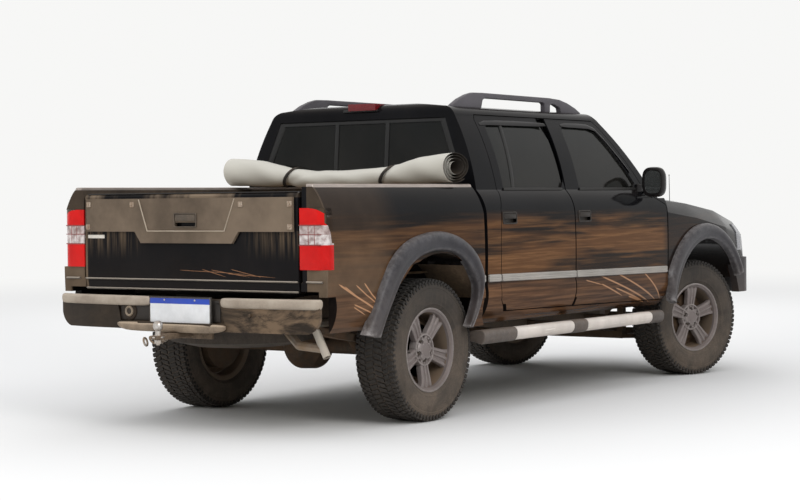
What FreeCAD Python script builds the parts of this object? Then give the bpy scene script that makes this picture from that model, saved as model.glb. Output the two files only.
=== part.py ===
"""Double-cab pickup truck: ladder frame, cab, cargo bed, doors, lids, wheels and steering.

Everything is measured in millimetres from the point on the ground below the
middle of the rear axle: X runs forward, Y to the left, Z up. Each finished
piece is then moved back by origin_x, so that the stored origin lies on the
ground below the middle of the whole truck.
"""
import FreeCAD, Part
import math
import os
import re
from types import SimpleNamespace

Vec = FreeCAD.Vector

SIZES = (
    # alias, value in millimetres or degrees
    ("wheelbase", 3122.0),
    ("track_rear", 1394.0),
    ("track_front", 1420.0),
    ("tyre_diameter", 744.0),
    ("tyre_width", 245.0),
    ("rim_seat_diameter", 406.0),
    ("rim_flange_diameter", 441.0),
    ("rim_width", 204.0),
    ("rim_wall", 10.0),
    ("wheel_face_offset", 42.0),
    ("spoke_count", 5.0),
    ("running_gap", 0.3),
    ("park_steer", 16.0),
    ("kingpin_half_track", 620.0),
    ("kingpin_reach", 128.0),
    ("nose_x", 3990.0),
    ("hitch_rear_x", -1245.0),
    ("body_half_width", 866.0),
    ("sill_height", 480.0),
    ("belt_height", 1205.0),
    ("roof_height", 1702.0),
    ("cab_rear_x", 460.0),
    ("cab_front_x", 2575.0),
    ("scuttle_height", 1150.0),
    ("floor_bottom", 530.0),
    ("floor_top", 570.0),
    ("door_wall", 100.0),
    ("door_frame", 36.0),
    ("door_skin", 10.0),
    ("opening_wall", 112.0),
    ("opening_frame", 46.0),
    ("roof_wall", 42.0),
    ("rear_wall", 60.0),
    ("shut_gap", 10.0),
    ("b_gap_x", 1409.0),
    ("rear_door_rear_x", 592.0),
    ("front_door_front_x", 2571.0),
    ("door_bottom", 530.0),
    ("door_top", 1624.0),
    ("hinge_setback", 60.0),
    ("hinge_inset", 20.0),
    ("hinge_pin_diameter", 12.0),
    ("hinge_eye_wall", 5.0),
    ("hinge_height", 56.0),
    ("glass_thickness", 5.0),
    ("glass_inset", 12.0),
    ("screen_base_x", 2800.0),
    ("screen_base_z", 1140.0),
    ("screen_top_x", 2090.0),
    ("screen_top_z", 1690.0),
    ("screen_base_sweep", 335.0),
    ("screen_top_sweep", 157.0),
    ("screen_wall", 48.0),
    ("hood_rear_x", 2790.0),
    ("hood_front_z", 985.0),
    ("hood_thickness", 28.0),
    ("hood_gap", 8.0),
    ("hood_axis_x", 2760.0),
    ("hood_axis_z", 1150.0),
    ("hood_pin_diameter", 12.0),
    ("cowl_front_x", 2758.0),
    ("wing_wall", 40.0),
    ("arch_radius", 492.0),
    ("arch_height", 385.0),
    ("liner_wall", 6.0),
    ("flare_radius", 604.0),
    ("flare_bottom", 482.0),
    ("lamp_bottom", 792.0),
    ("lamp_top", 966.0),
    ("lamp_inner_y", 440.0),
    ("lamp_depth", 90.0),
    ("grille_top", 976.0),
    ("grille_bottom", 762.0),
    ("grille_bars", 4.0),
    ("bumper_top", 745.0),
    ("bumper_bottom", 515.0),
    ("bed_front_x", 430.0),
    ("bed_rear_x", -975.0),
    ("bed_floor_top", 760.0),
    ("bed_floor_bottom", 718.0),
    ("bed_top", 1222.0),
    ("bed_wall", 34.0),
    ("bed_skirt", 46.0),
    ("rail_strip_width", 34.0),
    ("rail_strip_height", 14.0),
    ("gate_rear_x", -983.0),
    ("gate_thickness", 54.0),
    ("gate_bottom", 706.0),
    ("gate_top", 1198.0),
    ("gate_pin_z", 724.0),
    ("gate_pin_diameter", 16.0),
    ("tail_lamp_bottom", 822.0),
    ("tail_lamp_top", 1120.0),
    ("tail_lamp_depth", 60.0),
    ("rear_bumper_top", 672.0),
    ("rear_bumper_bottom", 515.0),
    ("rear_bumper_front_x", -992.0),
    ("rear_bumper_rear_x", -1062.0),
    ("rear_bumper_corner_x", -1010.0),
    ("rear_bumper_wall", 22.0),
    ("frame_half_track", 460.0),
    ("frame_front_half_track", 355.0),
    ("frame_rail_width", 60.0),
    ("frame_rail_height", 118.0),
    ("frame_mid_z", 460.0),
    ("frame_rear_z", 620.0),
    ("frame_front_z", 560.0),
    ("axle_tube_diameter", 82.0),
    ("spring_half_track", 530.0),
    ("spring_width", 62.0),
    ("step_width", 104.0),
    ("step_top", 455.0),
    ("step_bottom", 378.0),
    ("step_rear_x", 362.0),
    ("step_front_x", 2440.0),
    ("roof_rail_width", 30.0),
    ("roof_rail_bar", 24.0),
    ("roof_rail_top", 1754.0),
    ("roll_x", 312.0),
    ("roll_radius", 78.0),
    ("roll_sag", 30.0),
    ("steering_wheel_diameter", 380.0),
    ("steering_wheel_y", 370.0),
    ("soft_gap", 0.3),
    ("swing_gap", 5.0),
    ("lid_depth", 21.0),
    ("lid_bottom", 900.0),
    ("lid_top", 1060.0),
    ("lid_rear_x", -812.0),
    ("lid_front_x", -642.0),
    ("lid_pin_x", -656.0),
)

FOLLOWERS = (
    # alias, formula from the sizes above
    ("origin_x", "(nose_x + hitch_rear_x) / 2"),
    ("hood_half_width", "body_half_width - 166"),
    ("hood_nose_half_width", "body_half_width - 226"),
    ("bed_inner_half_width", "body_half_width - 144"),
    ("tub_inner_y", "body_half_width - 321"),
    ("gate_half_width", "body_half_width - 162"),
    ("post_inner_y", "body_half_width - 153"),
    ("rear_bumper_half_width", "body_half_width - 16"),
    ("flare_lip_y", "body_half_width + 39"),
    ("step_outer_y", "body_half_width + 39"),
    ("roof_rail_half_track", "body_half_width - 318"),
    ("roll_length", "2 * body_half_width - 112"),
    ("tank_outer_y", "frame_half_track - frame_rail_width / 2 - running_gap"),
)

STATIONS = (
    # x, insets from the half width at the bottom, waist and shoulder, shoulder z,
    # inset of the crest, crest z, crown z
    (2560.0, 86.0, 2.0, 4.0, 1062.0, 74.0, 1142.0, 1212.0),
    (3000.0, 76.0, 0.0, 8.0, 1018.0, 91.0, 1112.0, 1190.0),
    (3450.0, 82.0, 6.0, 24.0, 952.0, 116.0, 1062.0, 1143.0),
    (3980.0, 146.0, 66.0, 106.0, 872.0, 190.0, 960.0, 1022.0),
)

doc = FreeCAD.newDocument("pickup_truck")
sheet = doc.addObject("Spreadsheet::Sheet", "Sizes")
for row, (alias, value) in enumerate(SIZES, start=1):
    sheet.set("A%d" % row, alias)
    sheet.set("B%d" % row, str(value))
    sheet.setAlias("B%d" % row, alias)
for row, (alias, rule) in enumerate(FOLLOWERS, start=len(SIZES) + 1):
    sheet.set("A%d" % row, alias)
    sheet.set("B%d" % row, "=" + rule)
    sheet.setAlias("B%d" % row, alias)
doc.recompute()
size = SimpleNamespace(**{alias: float(sheet.get(alias)) for alias, value in SIZES + FOLLOWERS})

origin_x = size.origin_x
axle_z = size.tyre_diameter / 2
FAR = 6000.0
WIDE = 1000.0


# Outlines and solids

def outline_wire(points, place):
    """Join points into a closed wire; a point marked "via" bends its run into an arc."""
    loop = list(points) + [points[0]]
    edges = []
    index = 0
    while index < len(loop) - 1:
        start = place(*loop[index][:2])
        if len(loop[index + 1]) == 3:
            middle = place(*loop[index + 1][:2])
            finish = place(*loop[index + 2][:2])
            edges.append(Part.Arc(start, middle, finish).toShape())
            index += 2
        else:
            finish = place(*loop[index + 1][:2])
            edges.append(Part.LineSegment(start, finish).toShape())
            index += 1
    return Part.Wire(edges)


def side_prism(points, y_from, y_to, grow=0.0):
    """Solid with a side-view outline of (x, z) points between two widths."""
    wire = outline_wire(points, lambda x, z: Vec(x, y_from, z))
    if grow:
        wire = wire.makeOffset2D(grow, 2)
    return Part.Face(wire).extrude(Vec(0, y_to - y_from, 0))


def plan_prism(points, z_from, z_to, grow=0.0):
    """Solid with a plan outline of (x, y) points between two heights."""
    wire = outline_wire(points, lambda x, y: Vec(x, y, z_from))
    if grow:
        wire = wire.makeOffset2D(grow, 2)
    return Part.Face(wire).extrude(Vec(0, 0, z_to - z_from))


def cross_prism(points, x_from, x_to, grow=0.0):
    """Solid with a cross-section outline of (y, z) points between two stations."""
    wire = outline_wire(points, lambda y, z: Vec(x_from, y, z))
    if grow:
        wire = wire.makeOffset2D(grow, 2)
    return Part.Face(wire).extrude(Vec(x_to - x_from, 0, 0))


def block(x_from, x_to, y_from, y_to, z_from, z_to):
    """Rectangular solid between two corners."""
    corner = Vec(x_from, y_from, z_from)
    return Part.makeBox(x_to - x_from, y_to - y_from, z_to - z_from, corner)


def rod(start, finish, radius):
    """Round bar between two points."""
    axis = finish - start
    return Part.makeCylinder(radius, axis.Length, start, axis)


def cross_rod(x, z, radius, y_from, y_to):
    """Round bar along Y."""
    return rod(Vec(x, y_from, z), Vec(x, y_to, z), radius)


def mirrored(shape):
    """The same shape on the right-hand side."""
    return shape.mirror(Vec(0, 0, 0), Vec(0, 1, 0))


def both_sides(shape):
    """A left-hand shape with its mirror image."""
    return Part.makeCompound([shape, mirrored(shape)])


def union(shapes):
    """One shape from several that touch or overlap."""
    return shapes[0].fuse(list(shapes[1:])).removeSplitter()


def turned(profile, centre, axis):
    """Solid turned about an axis from (along, radius) points that start and end on it."""
    side = Vec(0, 1, 0) if abs(axis.y) < 0.5 else Vec(1, 0, 0)
    points = [centre + axis * along + side * radius for along, radius in profile]
    return Part.Face(Part.makePolygon(points + [points[0]])).revolve(centre, axis, 360)


# Body form

def body_section(side_in=0.0, frame_in=0.0, roof_in=0.0, bottom=None):
    """Cross-section of the cab: sill, waist, shoulder, side windows and roof."""
    wide = size.body_half_width
    low = size.sill_height if bottom is None else bottom
    half = [(0.0, low)]
    if bottom is None:
        half += [(wide - 86, low), (wide - 21, low + 68, "via"), (wide - 2, low + 210)]
    else:
        half += [(wide - 2 - side_in, low)]
    half += [
        (wide + 2 - side_in, 880.0, "via"),
        (wide - 4 - side_in, 1075.0),
        (wide - 21 - side_in, 1136.0, "via"),
        (wide - 71 - side_in, size.belt_height),
    ]
    if frame_in != side_in:
        half += [(wide - 71 - frame_in, size.belt_height)]
    half += [
        (wide - 134 - frame_in, 1420.0, "via"),
        (wide - 226 - frame_in, 1612.0),
        (wide - 254 - frame_in, 1650.0 - roof_in, "via"),
        (wide - 310 - frame_in, 1669.0 - roof_in),
    ]
    crown = (0.0, size.roof_height - roof_in, "via")
    right = [(-point[0],) + tuple(point[1:]) for point in reversed(half) if point[0] != 0]
    return half + [crown] + right


def cab_profile(rear_in=0.0, roof_in=0.0):
    """Side view of the cab's back wall and roof."""
    rear = size.cab_rear_x + rear_in
    top = size.roof_height - roof_in
    return [
        (rear, 300.0),
        (rear, 1190.0),
        (rear + 37, 1628.0),
        (rear + 52, top - 34, "via"),
        (rear + 110, top - 14),
        (1250.0, top + 2, "via"),
        (2120.0, top - 36),
        (FAR, top - 36),
        (FAR, 300.0),
    ]


def screen_wire(height, shift):
    """Plan of everything behind the curved windscreen at one height."""
    share = (height - size.screen_base_z) / (size.screen_top_z - size.screen_base_z)
    centre = size.screen_base_x + share * (size.screen_top_x - size.screen_base_x)
    sweep = size.screen_base_sweep + share * (size.screen_top_sweep - size.screen_base_sweep)
    beyond = size.body_half_width + 14
    points = [
        (0.0, -beyond),
        (centre - sweep - shift, -beyond),
        (centre - shift, 0.0, "via"),
        (centre - sweep - shift, beyond),
        (0.0, beyond),
    ]
    return outline_wire(points, lambda x, y: Vec(x, y, height))


def behind_screen(shift=0.0, low=None):
    """Space behind the windscreen's surface, above the scuttle."""
    base = size.scuttle_height if low is None else low
    return Part.makeLoft([screen_wire(base, shift), screen_wire(1780.0, shift)], True, True)


def cab_form(side_in=0.0, frame_in=0.0, roof_in=0.0, rear_in=0.0, screen_in=0.0, bottom=None,
             front_in=0.0):
    """Outer form of the cab, or the same form drawn in by each wall."""
    section = cross_prism(body_section(side_in, frame_in, roof_in, bottom), 0.0, FAR)
    shaped = section.common(side_prism(cab_profile(rear_in, roof_in), -WIDE, WIDE))
    lower = block(0.0, size.cab_front_x - front_in, -WIDE, WIDE, 0.0, size.scuttle_height)
    return shaped.common(lower).fuse(shaped.common(behind_screen(screen_in))).removeSplitter()


def front_wire(station, side_in, drop, bottom):
    """Cross-section of the wings and hood at one station."""
    x, bottom_in, waist_in, shoulder_in, shoulder_z, crest_in, crest_z, crown_z = station
    bottom_y = size.body_half_width - bottom_in
    waist_y = size.body_half_width - waist_in
    shoulder_y = size.body_half_width - shoulder_in
    crest_y = size.body_half_width - crest_in
    half = [
        (0.0, bottom),
        (bottom_y - side_in, bottom),
        (waist_y - side_in, 690.0),
        (0.5 * (waist_y + shoulder_y) + 3 - side_in, 0.5 * (690.0 + shoulder_z), "via"),
        (shoulder_y - side_in, shoulder_z - drop),
        (0.35 * shoulder_y + 0.65 * crest_y + 16 - side_in, 0.5 * (shoulder_z + crest_z) - drop,
         "via"),
        (crest_y - side_in, crest_z - drop),
    ]
    crown = (0.0, crown_z - drop, "via")
    right = [(-point[0],) + tuple(point[1:]) for point in reversed(half) if point[0] != 0]
    return outline_wire(half + [crown] + right, lambda y, z: Vec(x, y, z))


def front_form(side_in=0.0, drop=0.0, bottom=None):
    """Wings and hood as one form, before the nose is shaped in plan."""
    low = size.sill_height if bottom is None else bottom
    wires = [front_wire(station, side_in, drop, low) for station in STATIONS]
    return Part.makeLoft(wires, True, True)


def nose_plan(back=0.0):
    """Plan of the nose, round at the corners and gently bowed across."""
    wide = size.body_half_width
    return [
        (2300.0, -wide - 54),
        (3570.0, -wide - 54),
        (3600.0 - back, -wide - 2),
        (3792.0 - back, -wide + 66, "via"),
        (3878.0 - back, -wide + 226),
        (3955.0 - back, 0.0, "via"),
        (3878.0 - back, wide - 226),
        (3792.0 - back, wide - 66, "via"),
        (3600.0 - back, wide + 2),
        (3570.0, wide + 54),
        (2300.0, wide + 54),
    ]


def arch_space(x, y_from=300.0, grow=0.0):
    """Round wheel arch cut on both sides."""
    cut = cross_rod(x, size.arch_height, size.arch_radius + grow, y_from, WIDE)
    return both_sides(cut)


B_GAP_LEAN = 31.0


def rear_door_outline():
    """Side view of the rear door's opening."""
    front = size.b_gap_x
    rear = size.rear_door_rear_x
    return [
        (rear + 58, size.door_bottom + 10),
        (front, size.door_bottom),
        (front, 1086.0),
        (front + B_GAP_LEAN, size.door_top),
        (rear + 96, size.door_top),
        (rear + 74, size.door_top - 30),
        (rear + 72, 1196.0),
        (rear + 14, 1096.0),
        (rear, 900.0),
        (rear, size.door_bottom + 76),
    ]


def front_door_outline():
    """Side view of the front door's opening."""
    rear = size.b_gap_x
    front = size.front_door_front_x
    return [
        (rear, size.door_bottom),
        (front - 16, size.door_bottom - 18),
        (front, size.door_bottom + 4),
        (front + 2, 1092.0),
        (front - 12, 1112.0),
        (front - 140, 1162.0),
        (front - 226, 1252.0),
        (front - 512, 1582.0),
        (front - 566, size.door_top),
        (rear + B_GAP_LEAN, size.door_top),
        (rear, 1086.0),
    ]


REAR_WINDOW = [(738.0, 1212.0), (1368.0, 1212.0), (1402.0, 1250.0), (1404.0, 1490.0),
               (1370.0, 1574.0), (772.0, 1572.0), (745.0, 1545.0)]
FRONT_WINDOW = [(1577.0, 1212.0), (2262.0, 1212.0), (2278.0, 1240.0), (1990.0, 1576.0),
                (1606.0, 1576.0), (1583.0, 1545.0)]


def screen_outline(low, high, top_inset):
    """Front or rear view of a screen's opening between two heights."""
    base = size.body_half_width - 160
    top = size.body_half_width - top_inset
    return [(-base, low), (base, low), (top, high), (-top, high)]


SCREEN_OUTLINE = screen_outline(1192.0, 1618.0, 278.0)
BACKLIGHT_OUTLINE = screen_outline(1262.0, 1606.0, 292.0)

outer_cab = cab_form()
side_wall_inside = cab_form(size.opening_wall, size.opening_frame, size.roof_wall,
                            size.rear_wall, size.screen_wall, 300.0, -200.0)
skin_inside = cab_form(size.door_skin, size.door_skin, size.door_skin, size.door_skin,
                       size.door_skin, 300.0, -200.0)
door_inside = cab_form(size.door_wall, size.door_frame, size.roof_wall - 10,
                       size.rear_wall, size.screen_wall - 20, 300.0, -200.0)
cabin = cab_form(size.opening_wall, size.opening_frame, size.roof_wall,
                 size.rear_wall, size.screen_wall, size.floor_top, -40.0)
nose = plan_prism(nose_plan(), 300.0, 1400.0)
front_outer = front_form().common(nose)
front_inner = front_form(size.wing_wall, size.hood_thickness, 300.0).common(
    plan_prism(nose_plan(60.0), 300.0, 1400.0))

finished = []


def keep(label, shape):
    """Store one piece under its own name, moved to the shared origin."""
    piece = doc.addObject("Part::Feature", label)
    piece.Label = label
    piece.Shape = shape
    shift = FreeCAD.Placement(Vec(-origin_x, 0, 0), FreeCAD.Rotation())
    piece.Placement = shift.multiply(shape.Placement)
    finished.append(piece)
    return piece


# Pieces made of primitives whose sizes and places follow the sheet

def rule(text):
    """Formula in terms of the sheet's aliases."""
    return re.sub(r"[a-z][a-z_]+", lambda found: "Sizes." + found.group(0), text)


def bound_place(item, x, y, z):
    """Tie the corner or centre of a primitive to three formulas."""
    item.setExpression("Placement.Base.x", rule("(%s) - origin_x" % x))
    item.setExpression("Placement.Base.y", rule(y))
    item.setExpression("Placement.Base.z", rule(z))


def bound_box(name, x, y, z, lean=0.0):
    """Box between (from, to) formulas along each axis, leant about its rear bottom edge."""
    item = doc.addObject("Part::Box", name)
    item.Placement = FreeCAD.Placement(Vec(), FreeCAD.Rotation(Vec(0, 1, 0), lean))
    bound_place(item, x[0], y[0], z[0])
    for side, (low, high) in (("Length", x), ("Width", y), ("Height", z)):
        item.setExpression(side, rule("(%s) - (%s)" % (high, low)))
    return item


def bound_rod(name, start, axis, radius, length):
    """Cylinder from a start point of three formulas along an axis."""
    item = doc.addObject("Part::Cylinder", name)
    item.Placement = FreeCAD.Placement(Vec(), FreeCAD.Rotation(Vec(0, 0, 1), axis))
    bound_place(item, *start)
    item.setExpression("Radius", rule(radius))
    item.setExpression("Height", rule(length))
    return item


def gathered(label, items, kind="Part::MultiFuse"):
    """Join primitives into one named piece."""
    whole = doc.addObject(kind, label)
    whole.Label = label
    if kind == "Part::MultiFuse":
        whole.Shapes = items
        whole.Refine = True
    else:
        whole.Links = items
    doc.recompute()
    return whole


def bed_rails():
    """Flat strips along the top of both bed sides."""
    along = ("bed_rear_x + 8", "bed_front_x - 2")
    up = ("bed_top", "bed_top + rail_strip_height")
    middle = "body_half_width - 101"
    strips = []
    for side, sign in (("left", ""), ("right", "-")):
        ends = ["%s(%s) - rail_strip_width / 2" % (sign, middle),
                "%s(%s) + rail_strip_width / 2" % (sign, middle)]
        strips.append(bound_box("bed_rail_" + side, along, ends, up))
    finished.append(gathered("bed_rails", strips, "Part::Compound"))


def fuel_tank():
    """Tank between the rails on the left, round at its long edges."""
    tank = bound_box("tank_block", ("900", "1640"), ("70", "tank_outer_y"), ("372", "516"))
    doc.recompute()
    rounded = doc.addObject("Part::Fillet", "fuel_tank")
    rounded.Label = "fuel_tank"
    rounded.Base = tank
    along = [number for number, edge in enumerate(tank.Shape.Edges, start=1)
             if abs(edge.Vertexes[0].Y - edge.Vertexes[1].Y) > 100]
    rounded.Edges = [(number, 36.0, 36.0) for number in along]
    doc.recompute()
    finished.append(rounded)


def powertrain():
    """Engine block, gearbox and propeller shafts."""
    pieces = [
        bound_box("engine_block", ("2700", "3260"), ("-235", "235"), ("500", "1010")),
        bound_box("transfer_case", ("1960", "2110"), ("-130", "100"), ("440", "600")),
    ]
    gearbox = doc.addObject("Part::Cone", "gearbox")
    gearbox.Radius1 = 150.0
    gearbox.Radius2 = 100.0
    gearbox.Height = 620.0
    gearbox.Placement = FreeCAD.Placement(Vec(), FreeCAD.Rotation(Vec(0, 0, 1), Vec(-1, 0, 0)))
    bound_place(gearbox, "2710", "0", "532")
    drop = Vec(196 - 2000, 0, 392 - 500)
    pieces += [gearbox, bound_rod("propeller_shaft", ("2000", "0", "500"), drop, "34",
                                  "%.3f" % drop.Length)]
    for side, ends in (("left", ("230", "frame_front_half_track - 30 - running_gap")),
                       ("right", ("-frame_front_half_track + 30 + running_gap", "-230"))):
        pieces.append(bound_box("engine_mount_" + side, ("2960", "3030"), ends, ("560", "610")))
    finished.append(gathered("powertrain", pieces))


def tow_hitch():
    """Drawbar under the bumper with its ball."""
    ball_x = "hitch_rear_x + 35"
    pieces = [
        bound_box("hitch_beam", ("-984", "-960"), ("-150", "150"),
                  ("470", "560 - running_gap")),
        bound_box("drawbar", ("-1190", "-970"), ("-30", "30"), ("478", "508")),
        bound_rod("ball_foot", (ball_x, "0", "484"), Vec(0, 0, 1), "35", "18"),
        bound_rod("ball_neck", (ball_x, "0", "500"), Vec(0, 0, 1), "14", "30"),
    ]
    profile = [(-24.0, 0.0), (-24.0, 10.0), (-17.0, 19.0), (-7.0, 24.6), (7.0, 24.6),
               (17.0, 18.5), (24.6, 7.0), (24.6, 0.0)]
    ball = doc.addObject("Part::Feature", "tow_ball_form")
    ball.Shape = turned(profile, Vec(), Vec(0, 0, 1))
    bound_place(ball, ball_x, "0", "546")
    finished.append(gathered("tow_hitch", pieces + [ball]))


def seats():
    """Two front seats and the rear bench, each a cushion, a back and head rests."""
    wholes = []
    for side, sign in (("left", ""), ("right", "-")):
        middle = sign + "steering_wheel_y"
        across = [(middle + " - %d" % half, middle + " + %d" % half) for half in (250, 235, 120)]
        wholes.append(gathered("front_seat_" + side, [
            bound_box("front_cushion_" + side, ("1560", "2060"), across[0],
                      ("700 + running_gap", "850")),
            bound_box("front_back_" + side, ("1478", "1588"), across[1], ("780", "1370"), -9.0),
            bound_box("front_head_" + side, ("1398", "1468"), across[2], ("1340", "1530"), -6.0),
        ]))
    bench = [
        bound_box("bench_cushion", ("620", "1090"), ("-650", "650"),
                  ("690 + running_gap", "840")),
        bound_box("bench_back", ("625", "725"), ("-650", "650"), ("800", "1310"), -7.0),
    ]
    for side, ends in (("left", ("240", "480")), ("right", ("-480", "-240"))):
        bench.append(bound_box("bench_head_" + side, ("570", "640"), ends, ("1290", "1460")))
    wholes.append(gathered("bench", bench))
    finished.append(gathered("seats", wholes, "Part::Compound"))


# Ladder frame

def frame_rail():
    """Left rail: low below the cab, raised over both axles, narrower at the front."""
    half = size.frame_rail_height / 2
    spine = (
        # x, middle height
        (-985.0, size.frame_rear_z - 20),
        (-620.0, size.frame_rear_z),
        (180.0, size.frame_rear_z),
        (440.0, size.frame_mid_z),
        (2650.0, size.frame_mid_z),
        (2860.0, size.frame_front_z),
        (3300.0, size.frame_front_z),
        (3690.0, size.frame_front_z + 30),
    )
    outline = [(x, z - half) for x, z in spine] + [(x, z + half) for x, z in reversed(spine)]
    side = side_prism(outline, 0.0, WIDE)
    width = size.frame_rail_width / 2
    wide = size.frame_half_track
    narrow = size.frame_front_half_track
    plan = [(-FAR, wide - width), (2360.0, wide - width), (2620.0, narrow - width),
            (FAR, narrow - width), (FAR, narrow + width), (2620.0, narrow + width),
            (2360.0, wide + width), (-FAR, wide + width)]
    return side.common(plan_prism(plan, 0.0, WIDE))


def frame_rails():
    """Both rails with their cross members, mounts and spring hangers."""
    reach = size.frame_half_track
    narrow = size.frame_front_half_track
    outer = reach + size.frame_rail_width / 2
    rail_top = size.frame_rail_height / 2
    tubes = (
        # x, z, radius
        (-138.0, size.frame_rear_z, 30.0),
        (760.0, size.frame_mid_z + 32, 24.0),
        (1760.0, size.frame_mid_z - 40, 24.0),
    )
    members = [cross_rod(x, z, radius, -reach, reach) for x, z, radius in tubes]
    beams = [
        block(-985.0, -945.0, -reach, reach, 560.0, 660.0),
        block(-595.0, -535.0, -reach, reach, 636.0, 672.0),
        block(2300.0, 2350.0, -reach, reach, 378.0, 406.0),
        block(3060.0, 3180.0, -narrow, narrow, 430.0, 470.0),
        block(3640.0, 3690.0, -narrow, narrow, 545.0, 632.0),
    ]
    legs = block(3060.0, 3180.0, narrow - 30, narrow + 30, 430.0, 520.0)
    rail = frame_rail()
    cab_mounts = [block(x - 28, x + 28, reach - 28, reach + 28, 500.0,
                        size.floor_bottom - size.running_gap) for x in (560.0, 1450.0, 2250.0)]
    nose_mount = block(3557.0, 3593.0, narrow - 18, narrow + 18, 600.0,
                       652.0 - size.running_gap)
    half_spring = size.spring_width / 2
    front_hanger = block(600.0, 654.0, outer - 5, size.spring_half_track + half_spring,
                         510.0 + size.running_gap, 526.0)
    rear_hanger = block(-694.0, -640.0, outer - 5, size.spring_half_track + half_spring,
                        539.0 + size.running_gap, 576.0)
    damper_seat = block(-262.0, -135.0, 315.0, reach, 600.0, 640.0)
    left = [rail, legs, nose_mount, front_hanger, rear_hanger, damper_seat] + cab_mounts
    side = union(left)
    frame = union([side, mirrored(side)] + beams + members)
    return frame.cut(both_sides(block(-FAR, FAR, 0.0, WIDE, size.frame_rear_z + rail_top, FAR)))


# Cab

def hinge_places():
    """Hinge axes of the left doors: x, the heights of both hinges, and the x of the next edge."""
    front = size.front_door_front_x
    rear = size.b_gap_x
    return {
        "front": (front - size.hinge_setback, (690.0, 985.0), front),
        "rear": (rear - size.shut_gap / 2 - size.hinge_setback, (690.0, 985.0),
                 rear + size.shut_gap / 2),
    }


hinge_y = size.body_half_width - size.hinge_inset
jamb_y = size.body_half_width - size.opening_wall


def hinge_eye(x, z):
    """Square eye round a door's pin, on an arm that runs in to the pillar."""
    eye = size.hinge_pin_diameter / 2 + size.running_gap + size.hinge_eye_wall
    low = z - size.hinge_height / 2
    high = z + size.hinge_height / 2
    reach = hinge_y - jamb_y + 24
    arm = [(x - 3, hinge_y - 4), (x + 7, hinge_y + 2),
           (x + 0.56 * reach + 8, jamb_y - 20), (x + 0.56 * reach - 6, jamb_y - 24)]
    solid = union([plan_prism([(x - eye, hinge_y - 4), (x - 5, hinge_y - eye),
                               (x + 5, hinge_y - eye), (x + eye, hinge_y - 4),
                               (x + eye, hinge_y + 5), (x + 5, hinge_y + eye),
                               (x - 5, hinge_y + eye), (x - eye, hinge_y + 5)], low, high),
                   plan_prism(arm, low, high)])
    return solid.cut(rod(Vec(x, hinge_y, low), Vec(x, hinge_y, high),
                         size.hinge_pin_diameter / 2 + size.running_gap))


def hinge_pocket(x, z, front):
    """Room in a door's front edge for the eye and its arm, as the door swings."""
    half = size.hinge_height / 2 + 8
    return block(x - 18, front + 40, 600.0, hinge_y + 14, z - half, z + half)


def swing_trim(x, next_edge):
    """Space ahead of the hinge that a door's front edge stays out of, so that it can swing."""
    inner = rod(Vec(x, hinge_y, 0), Vec(x, hinge_y, 2000), hinge_y - jamb_y - size.swing_gap)
    outer = rod(Vec(x, hinge_y, 0), Vec(x, hinge_y, 2000), next_edge - x - size.swing_gap)
    behind = block(x, x + 200, 500.0, hinge_y, 0.0, 2000.0).cut(inner)
    before = block(x, x + 200, hinge_y, WIDE, 0.0, 2000.0).cut(outer)
    return [behind, before]


def b_posts():
    """Posts behind the door gap, tied in at the belt and at the roof."""
    pillar_in = cab_form(size.opening_wall + 40, size.opening_frame + 34, size.roof_wall,
                         size.rear_wall, size.screen_wall, 300.0, -200.0)
    lean = B_GAP_LEAN
    wide = size.body_half_width
    outline = [(1366.0, 540.0), (1482.0, 540.0), (1482.0, 1086.0), (1482.0 + lean, 1650.0),
               (1376.0 + lean, 1650.0), (1366.0, 1086.0)]
    posts = cabin.cut(pillar_in).common(side_prism(outline, -WIDE, WIDE)).Solids
    belt = size.belt_height
    ties = [block(1376.0, 1480.0, wide - 221, wide - 180, belt - 15, belt + 35),
            block(1376.0, 1480.0, wide - 221, wide - 118, belt + 7, belt + 35),
            block(1410.0, 1500.0, wide - 306, wide - 278, 1570.0, 1640.0)]
    return posts + ties + [mirrored(tie) for tie in ties]


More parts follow.
